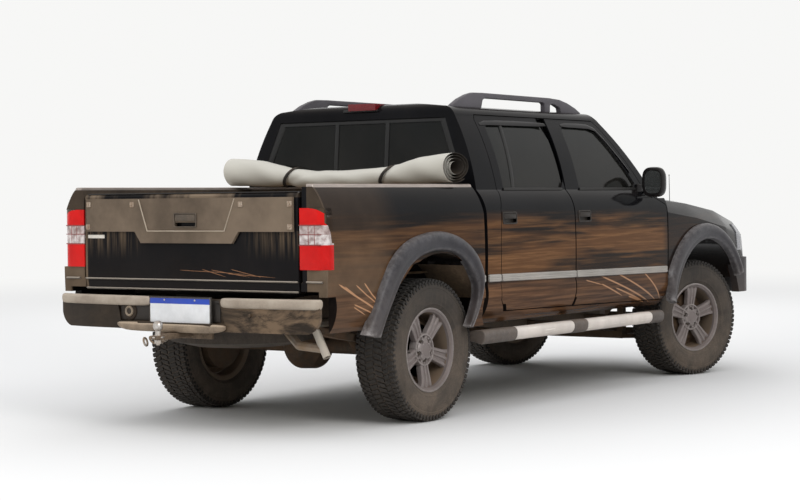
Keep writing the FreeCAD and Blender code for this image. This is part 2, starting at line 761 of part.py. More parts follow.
def cab_body():
    """Floor, back wall, roof, pillars, sills, scuttle and firewall in one."""
    wide = size.body_half_width
    sill_in = wide - 172
    shell = outer_cab.cut(cabin)
    shell = shell.cut(block(0.0, FAR, -sill_in, sill_in, 0.0, size.floor_bottom))
    wall = outer_cab.cut(side_wall_inside)
    for outline in (rear_door_outline(), front_door_outline()):
        opening = side_prism(outline, 300.0, WIDE)
        shell = shell.cut(both_sides(wall.common(opening)))
    screen = cross_prism(SCREEN_OUTLINE, 1850.0, FAR)
    backlight = cross_prism(BACKLIGHT_OUTLINE, 0.0, size.cab_rear_x + 150)
    shell = shell.cut(Part.makeCompound([screen, backlight]))
    jamb = block(2542.0, 2650.0, jamb_y - 70, jamb_y, 560.0, 1100.0)
    hinge_pillar = block(2578.0, 2650.0, jamb_y - 70, wide - 60, 560.0, 940.0)
    firewall = block(2612.0, 2650.0, -jamb_y, jamb_y, size.floor_bottom, 1118.0)
    floor_end = block(2560.0, 2650.0, -jamb_y, jamb_y, size.floor_bottom, size.floor_top)
    cowl_half = size.hood_half_width - 8
    cowl_zone = block(2560.0, size.cowl_front_x, -cowl_half, cowl_half, 1000.0, 1300.0)
    dropped = front_form(0.0, 46.0).common(cowl_zone)
    lower = front_form(0.0, 110.0).common(cowl_zone)
    cowl = dropped.cut(lower).cut(behind_screen(0.0, 900.0))
    tunnel = rod(Vec(1300, 0, 520), Vec(2640, 0, 520), 205.0)
    tunnel = tunnel.common(block(0, FAR, -WIDE, WIDE, size.floor_bottom, FAR))
    tunnel_space = rod(Vec(1200, 0, 520), Vec(2700, 0, 520), 172.0)
    risers = [block(1560.0, 1980.0, y - 190, y + 190, size.floor_top - 5, 700.0)
              for y in (-size.steering_wheel_y, size.steering_wheel_y)]
    rear_riser = block(640.0, 1060.0, -640.0, 640.0, size.floor_top - 5, 690.0)
    pieces = [shell] + b_posts() + [jamb, mirrored(jamb), hinge_pillar, mirrored(hinge_pillar),
                                    firewall, floor_end, tunnel, rear_riser]
    body = union(pieces + cowl.Solids + risers).cut(tunnel_space)
    return body.cut(arch_space(size.wheelbase, 400.0))


def floor_zone():
    """Space taken by the floor, the sills, the firewall and the cowl."""
    low = block(-FAR, FAR, -WIDE, WIDE, 0.0, 600.0)
    seats_zone = block(600.0, FAR, -640.0, 640.0, 0.0, 735.0)
    front = block(2536.0, FAR, -WIDE, WIDE, 0.0, size.scuttle_height)
    return union([low, seats_zone, front])


def eyes(which):
    """Both hinge eyes of one door, with their mirror images."""
    x, heights, edge = hinge_places()[which]
    made = [hinge_eye(x, z) for z in heights]
    return made + [mirrored(eye) for eye in made]


def cab_floor():
    """Floor, sills, seat risers, firewall and cowl, with the front door and hood hinges."""
    lower = cab_whole.common(floor_zone())
    x, z, y = size.hood_axis_x, size.hood_axis_z, size.hood_half_width
    post = block(x - 25, x + 9, y - 48, y - 38, 1080.0, z + 10)
    pin = cross_rod(x, z, size.hood_pin_diameter / 2, y - 68, y - 44)
    hinge = union([post, pin])
    return union([lower, hinge, mirrored(hinge)] + eyes("front"))


def cab_shell():
    """Back wall, pillars and roof, with the rear door hinges."""
    return union([cab_whole.cut(floor_zone())] + eyes("rear"))


# Doors

def door(which, outline, window, step_in):
    """Left door: skin with a flange, and an inner body that stands in from its rear edge."""
    x, heights, next_edge = hinge_places()[which]
    zone = side_prism(outline, 300.0, WIDE, -size.shut_gap / 2)
    ahead = zone.copy()
    ahead.translate(Vec(step_in, 0, 0))
    top = block(-FAR, FAR, 0.0, size.body_half_width - 272, 1590.0, FAR)
    away = [zone.cut(ahead).common(skin_inside), side_prism(window, 300.0, WIDE), top]
    away += swing_trim(x, next_edge)
    away += [hinge_pocket(x, z, x + size.hinge_setback) for z in heights]
    panel = outer_cab.cut(door_inside).common(zone)
    for cutter in away:
        panel = panel.cut(cutter)
    half = size.hinge_height / 2 + 12
    pins = [rod(Vec(x, hinge_y, z - half), Vec(x, hinge_y, z + half),
                size.hinge_pin_diameter / 2) for z in heights]
    return union([panel] + pins)


def mirror_housing():
    """Left door mirror on its foot at the front of the window."""
    head = side_prism([(2292.0, 1160.0), (2352.0, 1158.0), (2366.0, 1250.0, "via"),
                       (2340.0, 1336.0), (2292.0, 1340.0)], 836.0, 986.0)
    head = head.common(plan_prism([(2280.0, 820.0), (2372.0, 836.0), (2330.0, 960.0, "via"),
                                   (2296.0, 988.0), (2280.0, 988.0)], 1100.0, 1400.0))
    foot = side_prism([(2270.0, 1170.0), (2350.0, 1170.0), (2330.0, 1236.0), (2290.0, 1236.0)],
                      700.0, 850.0)
    return head.fuse(foot.cut(door_inside)).removeSplitter()


def window_glass(outline):
    """Left side glass, seated in its window."""
    outside = cab_form(size.glass_inset, size.glass_inset)
    inset = size.glass_inset + size.glass_thickness
    inside = cab_form(inset, inset, 0.0, 0.0, 0.0, 300.0, -200.0)
    return outside.cut(inside).common(side_prism(outline, 300.0, WIDE, -size.soft_gap))


def fixed_glass():
    """Windscreen and back window."""
    inset = size.glass_inset
    screen = behind_screen(inset).cut(behind_screen(inset + size.glass_thickness))
    screen = screen.common(cross_prism(SCREEN_OUTLINE, 1850.0, FAR, -size.soft_gap))
    back_outer = side_prism(cab_profile(inset), -WIDE, WIDE)
    back_inner = side_prism(cab_profile(inset + size.glass_thickness), -WIDE, WIDE)
    zone = cross_prism(BACKLIGHT_OUTLINE, 0.0, size.cab_rear_x + 150, -size.soft_gap)
    return Part.makeCompound([screen, back_outer.cut(back_inner).common(zone)])


# Front end

def hood_plan():
    """Plan of the hood's shut line."""
    return [
        (size.hood_rear_x, -size.hood_half_width),
        (3600.0, -size.hood_half_width + 20),
        (FAR, -size.hood_nose_half_width + 20),
        (FAR, size.hood_nose_half_width - 20),
        (3600.0, size.hood_half_width - 20),
        (size.hood_rear_x, size.hood_half_width),
    ]


def hood():
    """Curved hood with a turned-down front lip."""
    inner = front_form(0.0, size.hood_thickness, 300.0)
    inner = inner.common(plan_prism(nose_plan(26.0), 300.0, 1400.0))
    panel = front_outer.cut(inner).common(plan_prism(hood_plan(), size.hood_front_z, 1400.0))
    x = size.hood_axis_x
    z = size.hood_axis_z
    ear = side_prism([(x - 12, z - 10), (x - 12, z + 10), (x + 16, z + 10), (x + 44, z - 16),
                      (x + 100, z - 30), (x + 100, z - 52), (x + 20, z - 46)], 638.0, 648.0)
    ear = ear.cut(cross_rod(x, z, size.hood_pin_diameter / 2 + size.running_gap, 630.0, 660.0))
    return union([panel, ear, mirrored(ear)])


def front_wings():
    """Both wings, their liners and the front cross panel."""
    shell = front_outer.cut(front_inner)
    shell = shell.common(block(size.cab_front_x + 6, FAR, -WIDE, WIDE, 0.0, FAR))
    shell = shell.cut(plan_prism(hood_plan(), 300.0, 1400.0, size.hood_gap))
    shell = shell.cut(block(2300.0, size.hood_rear_x + 20, -size.hood_half_width - 8,
                            size.hood_half_width + 8, 0.0, FAR))
    shell = shell.cut(block(3500.0, FAR, -WIDE, WIDE, 0.0, size.bumper_top + 3))
    lamp_zone = block(3640.0 - size.running_gap, FAR, -WIDE, WIDE,
                      size.lamp_bottom - size.running_gap, size.lamp_top + size.running_gap)
    shell = shell.cut(lamp_zone).cut(behind_screen(-3.0, 1140.0))
    wide = size.body_half_width
    shell = shell.cut(block(2500.0, 2656.0, -wide + 54, wide - 54, 0.0, 1124.0))
    radius = size.arch_radius
    liner = cross_rod(size.wheelbase, size.arch_height, radius + size.liner_wall, 400.0, 822.0)
    liner = liner.cut(cross_rod(size.wheelbase, size.arch_height, radius, 390.0, 840.0))
    liner = liner.common(block(2656.0, 3556.0, 300.0, WIDE, 540.0, FAR))
    panel = block(3560.0, 3590.0, -770.0, 770.0, 652.0, 940.0)
    panel = panel.cut(block(3500.0, 3700.0, -330.0, 330.0, 690.0, 900.0))
    ties = block(3560.0, 3590.0, 640.0, 770.0, 600.0, 1010.0)
    under_hood = front_form(0.0, size.hood_thickness + size.running_gap, 300.0)
    stops = both_sides(block(3563.0, 3587.0, 548.0, 572.0, 930.0, 1200.0).common(under_hood))
    shell = shell.cut(arch_space(size.wheelbase))
    solids = shell.Solids + [liner, mirrored(liner), panel, ties, mirrored(ties)] + stops.Solids
    body = union(solids)
    inside = front_outer.fuse(block(0, FAR, -WIDE, WIDE, 0, 700))
    return body.common(inside).cut(Part.makeCompound(
        [cross_rod(size.wheelbase, size.arch_height, radius, 400.0, WIDE),
         cross_rod(size.wheelbase, size.arch_height, radius, -WIDE, -400.0)]))


def headlamps():
    """Lamp blocks that wrap round both front corners."""
    back = plan_prism(nose_plan(size.lamp_depth), 300.0, 1400.0)
    zone = block(3640.0, FAR, size.lamp_inner_y, WIDE, size.lamp_bottom, size.lamp_top)
    return both_sides(front_outer.cut(back).common(zone))


def grille():
    """Surround with level bars between the headlamps."""
    inner_y = size.lamp_inner_y - size.running_gap
    back = plan_prism(nose_plan(46.0), 300.0, 1400.0)
    zone = block(3640.0, FAR, -inner_y, inner_y, size.grille_bottom, size.grille_top)
    body = front_outer.cut(back).common(zone)
    count = int(size.grille_bars)
    pitch = (size.grille_top - size.grille_bottom - 44) / count
    for index in range(count):
        low = size.grille_bottom + 22 + index * pitch
        for side in (-1, 1):
            near, far = sorted((side * 14.0, side * (inner_y - 22)))
            body = body.cut(block(3640.0, FAR, near, far, low + 9, low + pitch - 9))
    return body


def front_bumper():
    """Wrap-round bumper with its lower intake and fog-lamp recesses."""
    half = size.body_half_width + 2
    left = [(3500.0, half), (3680.0, half), (3880.0, half - 108, "via"), (3944.0, half - 308),
            (size.nose_x, 0.0, "via"), (3944.0, 308 - half), (3880.0, 108 - half, "via"),
            (3680.0, -half), (3500.0, -half)]
    inside = [(3500.0, 36 - half), (3640.0, 58 - half), (3820.0, 308 - half), (3860.0, 0.0),
              (3820.0, half - 308), (3640.0, half - 58), (3500.0, half - 36)]
    plan = left + inside
    body = plan_prism(plan, size.bumper_bottom, size.bumper_top)
    face = side_prism([(3300.0, size.bumper_bottom), (3930.0, size.bumper_bottom),
                       (size.nose_x, 560.0), (size.nose_x, 700.0), (3962.0, size.bumper_top),
                       (3300.0, size.bumper_top)], -WIDE, WIDE)
    body = body.common(face)
    intake = block(3700.0, FAR, -420.0, 420.0, 548.0, 616.0)
    fog = both_sides(rod(Vec(3600.0, 600.0, 600.0), Vec(FAR, 600.0, 600.0), 46.0))
    lugs = both_sides(block(3640.0, 3866.0, 330.0, 380.0, 560.0, 620.0))
    body = body.cut(intake).cut(fog)
    body = union([body] + lugs.Solids).cut(block(3600, 3690.3, -500, 500, 500, 700))
    return body.cut(arch_space(size.wheelbase, 500.0, 4.0))


def wheel_flares():
    """Four flares round the arches, seated on the body sides."""
    wide = size.body_half_width
    profile = [(size.arch_radius + 2, wide - 20), (size.arch_radius + 2, size.flare_lip_y),
               (size.arch_radius + 34, size.flare_lip_y), (size.flare_radius, wide + 6),
               (size.flare_radius, wide - 20)]
    flares = []
    bed_side = cross_prism(body_section(), -1100.0, 440.0)
    for x, backing, limit_low, limit_high in (
            (0.0, bed_side, -620.0, 408.0),
            (size.wheelbase, front_outer, size.cab_front_x + 8, 3640.0)):
        wire = outline_wire(profile, lambda r, y: Vec(x + r, y, size.arch_height))
        ring = Part.Face(wire).revolve(Vec(x, 0, size.arch_height), Vec(0, 1, 0), 360)
        ring = ring.common(block(limit_low, limit_high, 0.0, WIDE, size.flare_bottom, FAR))
        if x:
            ring = ring.cut(block(x + 300, FAR, 0.0, WIDE, 0.0, size.bumper_top + 2))
        ring = ring.cut(backing)
        flares += [ring, mirrored(ring)]
    return Part.makeCompound(flares)


# Cargo bed

def bed_section():
    """Cross-section of the bed's sides up to the top rail."""
    wide = size.body_half_width
    low = size.sill_height
    half = [(0.0, low), (wide - 86, low), (wide - 21, low + 68, "via"), (wide - 2, low + 210),
            (wide + 2, 880.0, "via"), (wide - 4, 1075.0), (wide - 26, 1140.0, "via"),
            (wide - 68, size.bed_top - 14), (wide - 82, size.bed_top)]
    return half + [(-y, z) if len(rest) == 0 else (-y, z, rest[0])
                   for y, z, *rest in reversed(half) if y != 0]


def cargo_bed():
    """Floor, sides with wheel tubs, front wall and rear posts."""
    body = cross_prism(bed_section(), size.bed_rear_x, size.bed_front_x)
    inner = size.bed_inner_half_width
    hollow = block(-FAR, size.bed_front_x - size.bed_wall, -inner, inner, size.bed_floor_top, FAR)
    under = block(-FAR, FAR, -size.body_half_width + size.bed_skirt,
                  size.body_half_width - size.bed_skirt, 0.0, size.bed_floor_bottom)
    body = body.cut(hollow).cut(under)
    body = body.cut(block(-FAR, -912.0, -size.post_inner_y, size.post_inner_y, 0.0, FAR))
    body = body.cut(block(-FAR, -900.0, -WIDE, WIDE, 0.0, 692.0))
    body = body.cut(arch_space(0.0, size.tub_inner_y))
    radius = size.arch_radius + size.liner_wall
    wide = size.body_half_width
    tub = cross_rod(0.0, size.arch_height, radius, size.tub_inner_y - size.liner_wall, wide - 40)
    tub = tub.cut(cross_rod(0.0, size.arch_height, size.arch_radius, size.tub_inner_y, WIDE))
    tub = tub.common(block(-FAR, size.bed_front_x, 0.0, WIDE, 560.0, FAR))
    tub = tub.cut(block(-FAR, FAR, 0.0, 560.0, 0.0, size.bed_floor_bottom))
    rib_bottom = size.frame_rear_z + size.frame_rail_height / 2 + size.running_gap
    ribs = [block(x - 30, x + 30, -540.0, 540.0, rib_bottom, size.bed_floor_bottom + 5)
            for x in (-760.0, 110.0)]
    pin = cross_rod(-955.0, size.gate_pin_z, size.gate_pin_diameter / 2,
                    size.gate_half_width - 36, size.post_inner_y + 17)
    body = union([body, tub, mirrored(tub), pin, mirrored(pin)] + ribs)
    lamp = block(-FAR, size.bed_rear_x + size.tail_lamp_depth, size.post_inner_y - 2, WIDE,
                 size.tail_lamp_bottom, size.tail_lamp_top)
    body = body.cut(both_sides(lamp))
    lid = block(size.lid_rear_x, size.lid_front_x, wide - size.lid_depth, WIDE,
                size.lid_bottom, size.lid_top)
    return body.cut(lid).fuse(lid_pin(2.5))


def lid_pin(radius):
    """Pin of the fuel lid."""
    y = size.body_half_width - 6
    return rod(Vec(size.lid_pin_x, y, size.lid_bottom - 1),
               Vec(size.lid_pin_x, y, size.lid_top + 1), radius)


def tail_lamps():
    """Tall lamps in the bed's rear corners and the high lamp on the roof's edge."""
    form = cross_prism(body_section(), size.bed_rear_x - 9, size.bed_rear_x + 200)
    zone = block(-FAR, size.bed_rear_x + size.tail_lamp_depth - size.running_gap,
                 size.post_inner_y, WIDE, size.tail_lamp_bottom + size.running_gap,
                 size.tail_lamp_top - size.running_gap)
    corner = plan_prism([(-FAR, 0.0), (size.bed_rear_x - 9, 0.0), (size.bed_rear_x - 9, 800.0),
                         (size.bed_rear_x + 4, 848.0, "via"), (size.bed_rear_x + 60, 880.0),
                         (-FAR, 1000.0)], 0.0, FAR)
    lamp = form.common(zone).cut(corner)
    high = block(size.cab_rear_x + 20, size.cab_rear_x + 110, -105.0, 105.0, 1652.0, 1700.0)
    high = high.common(side_prism([(470.0, 1660.0), (484.0, 1706.0), (570.0, 1706.0),
                                   (570.0, 1640.0), (480.0, 1640.0)], -200.0, 200.0))
    high = high.cut(outer_cab)
    return Part.makeCompound([lamp, mirrored(lamp), max(high.Solids, key=lambda s: s.Volume)])


def tailgate():
    """Gate with a raised panel across its upper part and a handle recess."""
    rear = size.gate_rear_x
    half = size.gate_half_width
    low = size.gate_bottom
    body = side_prism([(rear + 10, low), (rear, low + 60), (rear, size.gate_top - 16),
                       (rear + 10, size.gate_top - 3, "via"), (rear + 26, size.gate_top),
                       (rear + size.gate_thickness, size.gate_top),
                       (rear + size.gate_thickness, low)], -half, half)
    panel = cross_prism([(-680.0, 1006.0), (-392.0, 1006.0), (-345.0, 948.0), (345.0, 948.0),
                         (392.0, 1006.0), (680.0, 1006.0), (680.0, 1174.0), (-680.0, 1174.0)],
                        rear - 17, rear + 5)
    body = body.fuse(panel)
    recess = block(-FAR, rear + 8, -72.0, 72.0, 1030.0, 1098.0)
    bar = block(rear - 13, rear + 4, -72.0, 72.0, 1052.0, 1092.0)
    body = body.cut(recess).fuse(bar)
    radius = size.gate_pin_diameter / 2 + size.running_gap
    bores = both_sides(cross_rod(-955.0, size.gate_pin_z, radius, half - 44, half + 56))
    return body.cut(bores).removeSplitter()


def fuel_lid():
    """Flap in the left bed side, round its own pin."""
    gap = 6.5
    wide = size.body_half_width
    form = cross_prism(bed_section(), size.lid_rear_x + gap, size.lid_front_x - gap)
    lid = form.common(block(-FAR, FAR, wide - 12, WIDE, size.lid_bottom + gap,
                            size.lid_top - gap))
    return lid.cut(lid_pin(2.5 + size.running_gap))


# Rear bumper and hitch

def rear_bumper():
    """Hollow step bumper with a recess for the plate above a low step."""
    corner = size.rear_bumper_corner_x
    rear = size.rear_bumper_rear_x
    front = size.rear_bumper_front_x
    half = size.rear_bumper_half_width
    bottom = size.rear_bumper_bottom
    top = size.rear_bumper_top
    plan = [(front, -half), (corner, -half), (rear + 42, -half + 60, "via"), (rear + 16, -610.0),
            (rear, 0.0, "via"), (rear + 16, 610.0), (rear + 42, half - 60, "via"),
            (corner, half), (front, half)]
    wall = size.rear_bumper_wall
    inside = [(front, wall - half), (corner + 8, wall - half), (rear + 16 + wall, -590.0),
              (rear + wall, 0.0, "via"), (rear + 16 + wall, 590.0), (corner + 8, half - wall),
              (front, half - wall)]
    body = plan_prism(plan, bottom, top).cut(plan_prism(inside, 0.0, top - 24))
    body = body.cut(block(-FAR, rear + 40, -226.0, 226.0, bottom + 45, FAR))
    back = block(rear + 34, front, -250.0, 250.0, bottom, top - 12)
    step = block(rear - 36, rear + 50, -240.0, 240.0, bottom, bottom + 45)
    brackets = both_sides(block(rear + 20, -985.3, 436.0, 484.0, 560.0, 640.0))
    socket = rod(Vec(-FAR, 262.0, 600.0), Vec(rear + 60, 262.0, 600.0), 20.0)
    return union([body, back, step] + brackets.Solids).cut(socket)


# Running gear below the body


def rear_axle():
    """Axle tube with its gear housing, brake drums, leaf springs and dampers."""
    half = size.track_rear / 2
    tube = cross_rod(0.0, axle_z, size.axle_tube_diameter / 2, -half + 90, half - 90)
    housing = turned([(-125.0, 0.0), (-125.0, 70.0), (-60.0, 130.0), (40.0, 138.0),
                      (110.0, 62.0), (189.7, 52.0), (189.7, 0.0)], Vec(0, 0, axle_z + 6),
                     Vec(1, 0, 0))
    drum = cross_rod(0.0, axle_z, 150.0, half - 94, half + 10)
    hub = cross_rod(0.0, axle_z, 60.0, half, half + size.wheel_face_offset - 16.3)
    y = size.spring_half_track
    top = axle_z + size.axle_tube_diameter / 2
    leaf = side_prism([(-694.0, 505.0), (0.0, top - 6, "via"), (654.0, 476.0), (654.0, 510.0),
                       (0.0, top + 30, "via"), (-694.0, 539.0)],
                      y - size.spring_width / 2, y + size.spring_width / 2)
    damper = rod(Vec(-30, 345, axle_z), Vec(-225, 345, 610), 26.0)
    damper = damper.common(block(-FAR, FAR, 0, WIDE, 0, 600 - size.running_gap))
    seat = block(-60.0, 60.0, y - 31, y + 31, axle_z, top + 20)
    left = union([leaf, seat, drum, hub])
    return union([tube, housing, left, mirrored(left), damper, mirrored(damper)])


def front_suspension():
    """Lower and upper arms, front gear housing and half shafts."""
    x = size.wheelbase
    reach = size.kingpin_half_track
    low_z = axle_z - size.kingpin_reach
    high_z = axle_z + size.kingpin_reach
    lower = plan_prism([(x - 190, 330.0), (x - 36, reach - 60), (x - 34, reach + 16),
                        (x + 34, reach + 16), (x + 36, reach - 60), (x + 190, 330.0)],
                       low_z - 16, low_z + 10)
    upper = plan_prism([(x - 120, 385.3), (x - 30, reach - 40), (x - 26, reach + 12),
                        (x + 26, reach + 12), (x + 30, reach - 40), (x + 120, 385.3)],
                       high_z - 8, high_z + 14)
    housing = turned([(-130.0, 0.0), (-130.0, 60.0), (-60.0, 104.0), (60.0, 104.0),
                      (130.0, 60.0), (130.0, 0.0)], Vec(x, 60, axle_z), Vec(1, 0, 0))
    housing = housing.common(block(x - 140, x + 140, -120.0, 160.0, 270.0, 429.7))
    shaft = cross_rod(x, axle_z, 20.0, -560.0, 560.0)
    pivot = block(x - 200, x - 130, -345.0, 345.0, low_z - 16, low_z + 30)
    pivot_front = block(x + 130, x + 200, -345.0, 345.0, low_z - 16, low_z + 30)
    tower = [block(px - 20, px + 20, 300.0, 345.0, low_z, 501.0) for px in (x - 165, x + 165)]
    upper_seat = block(x - 120, x + 120, 385.3, 410.0, high_z - 8, high_z + 40)
    left = union([lower, upper, upper_seat] + tower)
    return union([housing, shaft, pivot, pivot_front, left, mirrored(left)])


def knuckle(side):
    """Hub carrier with brake disc, turned to the parked steering angle."""
    x = size.wheelbase
    reach = size.kingpin_half_track
    half = size.track_front / 2
    low_z = axle_z - size.kingpin_reach + 10 + size.running_gap
    high_z = axle_z + size.kingpin_reach - 8 - size.running_gap
    upright = block(x - 20, x + 20, reach - 4, reach + 24, low_z, high_z)
    carrier = cross_rod(x, axle_z, 56.0, reach - 20, reach + 44)
    disc = cross_rod(x, axle_z, 140.0, reach + 40, reach + 62)
    hub = cross_rod(x, axle_z, 56.0, reach + 60, half + size.wheel_face_offset - 16.3)
    caliper = Part.makeBox(70, 70, 110, Vec(x - 150, reach + 16, axle_z - 55))
    caliper = caliper.common(cross_rod(x, axle_z, 168.0, 0.0, WIDE))
    arm = block(x - 130, x - 30, reach - 4, reach + 20, axle_z - 60, axle_z - 40)
    body = union([upright, carrier, disc, hub, caliper, arm])
    body = body if side > 0 else mirrored(body)
    return steered(body, side)


def steered(shape, side):
    """Turn a front-wheel piece about its kingpin to the parked steering angle."""
    turned = shape.copy()
    pivot = Vec(size.wheelbase, side * size.kingpin_half_track, 0)
    turned.rotate(pivot, Vec(0, 0, 1), -size.park_steer)
    return turned


def exhaust():
    """Pipe, silencer and tail pipe on the right."""
    silencer = rod(Vec(880, -300, 420), Vec(1440, -300, 420), 80.0)
    points = [Vec(2760, -262, 520), Vec(2500, -270, 486), Vec(1500, -300, 486),
              Vec(1420, -300, 430), Vec(880, -300, 420), Vec(640, -330, 404),
              Vec(480, -390, 440), Vec(260, -402, 530), Vec(-720, -402, 520),
              Vec(-850, -600, 445), Vec(-880, -766, 438)]
    hanger = block(1140.0, 1180.0, -320.0, -280.0, 480.0, size.floor_bottom - size.running_gap)
    path = Part.makePolygon(points)
    start = Part.makePolygon([points[0] + Vec(0, 22 * math.cos(turn), 22 * math.sin(turn))
                              for turn in (math.radians(22.5 + 45 * k) for k in range(9))])
    pipe = path.makePipeShell([start], True, False, 1)
    bore = rod(Vec(-850, -600, 445), Vec(-900, -866, 436), 17.0)
    return union([silencer, hanger, pipe]).cut(bore)


def side_steps():
    """Boards along both sills on three brackets each."""
    outer = size.step_outer_y
    inner = outer - size.step_width
    board = cross_prism([(inner, size.step_bottom + 18), (outer - 26, size.step_bottom),
                         (outer - 4, size.step_bottom + 16), (outer, size.step_top - 22),
                         (outer - 12, size.step_top, "via"), (outer - 40, size.step_top),
                         (inner, size.step_top - 6)], size.step_rear_x, size.step_front_x)
    rail_outer = size.frame_half_track + size.frame_rail_width / 2
    brackets = [block(x - 22, x + 22, rail_outer + 0.3, inner + 10, size.step_bottom + 30,
                      size.step_bottom + 56) for x in (820.0, 1500.0, 2180.0)]
    return both_sides(union([board] + brackets))


def roof_rails():
    """Two rails along the roof, on their feet."""
    top = size.roof_rail_top
    bar = size.roof_rail_bar
    y = size.roof_rail_half_track
    half = size.roof_rail_width / 2
    outline = [(580.0, 1640.0), (640.0, 1640.0), (818.0, top - bar), (1752.0, top - bar),
               (1930.0, 1640.0), (2010.0, 1640.0), (1810.0, top - 6), (1780.0, top),
               (790.0, top), (766.0, top - 6)]
    bar_solid = side_prism(outline, y - half, y + half)
    foot = block(1250.0, 1310.0, y - half, y + half, 1640.0, top - 10)
    rail = union([bar_solid, foot]).cut(outer_cab)
    solid = max(rail.Solids, key=lambda s: s.Volume)
    return both_sides(solid)


# Cabin

def dashboard():
    """Dashboard across the cabin with the steering column."""
    outline = [(2330.0, 840.0), (2600.0, 780.0), (2600.0, 1150.0), (2420.0, 1160.0),
               (2290.0, 1120.0, "via"), (2270.0, 1020.0)]
    board = side_prism(outline, -740.0, 740.0)
    room = cab_form(size.opening_wall + 6, size.opening_frame + 6, size.roof_wall,
                    size.rear_wall, size.screen_wall + 20, 580.0, -30.0)
    board = board.common(room).cut(block(2535, FAR, jamb_y - 74, WIDE, 0, FAR))
    board = board.cut(block(2535, FAR, -WIDE, -jamb_y + 74, 0, FAR))
    board = board.common(block(0, 2612 - 0.3, -WIDE, WIDE, 0, FAR))
    hub = steering_centre()
    axis = steering_axis()
    column = rod(hub - axis * 30.3, hub - axis * 330, 32.0)
    return board.fuse(column.common(block(0, 2611.7, -WIDE, WIDE, 0, FAR))).removeSplitter()


def steering_centre():
    """Middle of the steering wheel."""
    return Vec(2105.0, size.steering_wheel_y, 1035.0)


def steering_axis():
    """Direction of the steering column, from the dashboard to the driver."""
    lean = math.radians(25.0)
    return Vec(-math.cos(lean), 0.0, math.sin(lean))


def steering_wheel():
    """Rim, hub and three spokes."""
    radius = size.steering_wheel_diameter / 2
    count = 24
    outer = [(radius * math.cos(2 * math.pi * k / count), radius * math.sin(2 * math.pi * k / count))
             for k in range(count)]
    inner = [((radius - 28) / radius * x, (radius - 28) / radius * y) for x, y in outer]
    ring = plan_prism(outer, -12.0, 12.0).cut(plan_prism(inner, -13.0, 13.0))
    hub = rod(Vec(0, 0, -30), Vec(0, 0, 30), 58.0)
    pieces = [ring, hub]
    for turn in (90.0, 210.0, 330.0):
        spoke = block(0.0, radius - 14, -17.0, 17.0, -7.0, 7.0)
        spoke.rotate(Vec(0, 0, 0), Vec(0, 0, 1), turn)
        pieces.append(spoke)
    wheel = union(pieces)
    wheel.Placement = FreeCAD.Placement(steering_centre(),
                                        FreeCAD.Rotation(Vec(0, 0, 1), steering_axis()))
    return wheel


def tonneau_roll():
    """Rolled bed cover lying across the bed's sides, with a slight sag."""
    half = size.roll_length / 2
    z = size.bed_top + size.rail_strip_height + size.soft_gap + size.roll_radius
    count = 16
    rings = []
    for share in (-1.0, -0.5, 0.0, 0.5, 1.0):
        drop = size.roll_sag * (1 - share * share)
        points = [Vec(size.roll_x + size.roll_radius * math.cos(turn), share * half,
                      z - drop + size.roll_radius * math.sin(turn))
                  for turn in (2 * math.pi * k / count for k in range(count + 1))]
        rings.append(Part.makePolygon(points))
    roll = Part.makeLoft(rings, True, True)
    low = size.bed_top + size.rail_strip_height + size.soft_gap
    rails = both_sides(block(-FAR, FAR, size.bed_inner_half_width, WIDE, 0.0, low))
    return roll.cut(rails)


# Wheels

def tyre_body(label, placement):
    """Tyre as a revolved body: bead seat, sidewalls, shoulders and tread."""
    outer = size.tyre_diameter / 2
    wide = size.tyre_width / 2
    bead = size.rim_seat_diameter / 2 + size.running_gap
    seat = size.rim_width / 2 - 8
    right = [(seat, bead), (wide, bead + 88), (wide - 8, outer - 30), (wide - 34, outer)]
    left = [(-along, radius) for along, radius in reversed(right)]
    return revolved_body(label, right + left, placement)


def revolved_body(label, profile, placement):
    """Body turned round the Y axis from a profile of (along, radius) points."""
    body = doc.addObject("PartDesign::Body", label)
    body.Label = label
    sketch = body.newObject("Sketcher::SketchObject", label + "_profile")
    sketch.AttachmentSupport = (origin_item(body, "XY_Plane"), [""])
    sketch.MapMode = "FlatFace"
    points = [Vec(radius, along, 0) for along, radius in profile]
    for first, last in zip(points, points[1:] + points[:1]):
        sketch.addGeometry(Part.LineSegment(first, last), False)
    turn = body.newObject("PartDesign::Revolution", label + "_turn")
    turn.Profile = sketch
    turn.ReferenceAxis = (sketch, ["V_Axis"])
    turn.Angle = 360.0
    body.Tip = turn
    body.Placement = placement
    doc.recompute()
    finished.append(body)
    return body


def origin_item(body, role):
    """Plane or axis of a body's own origin."""
    return [item for item in body.Origin.OriginFeatures if item.Role == role][0]


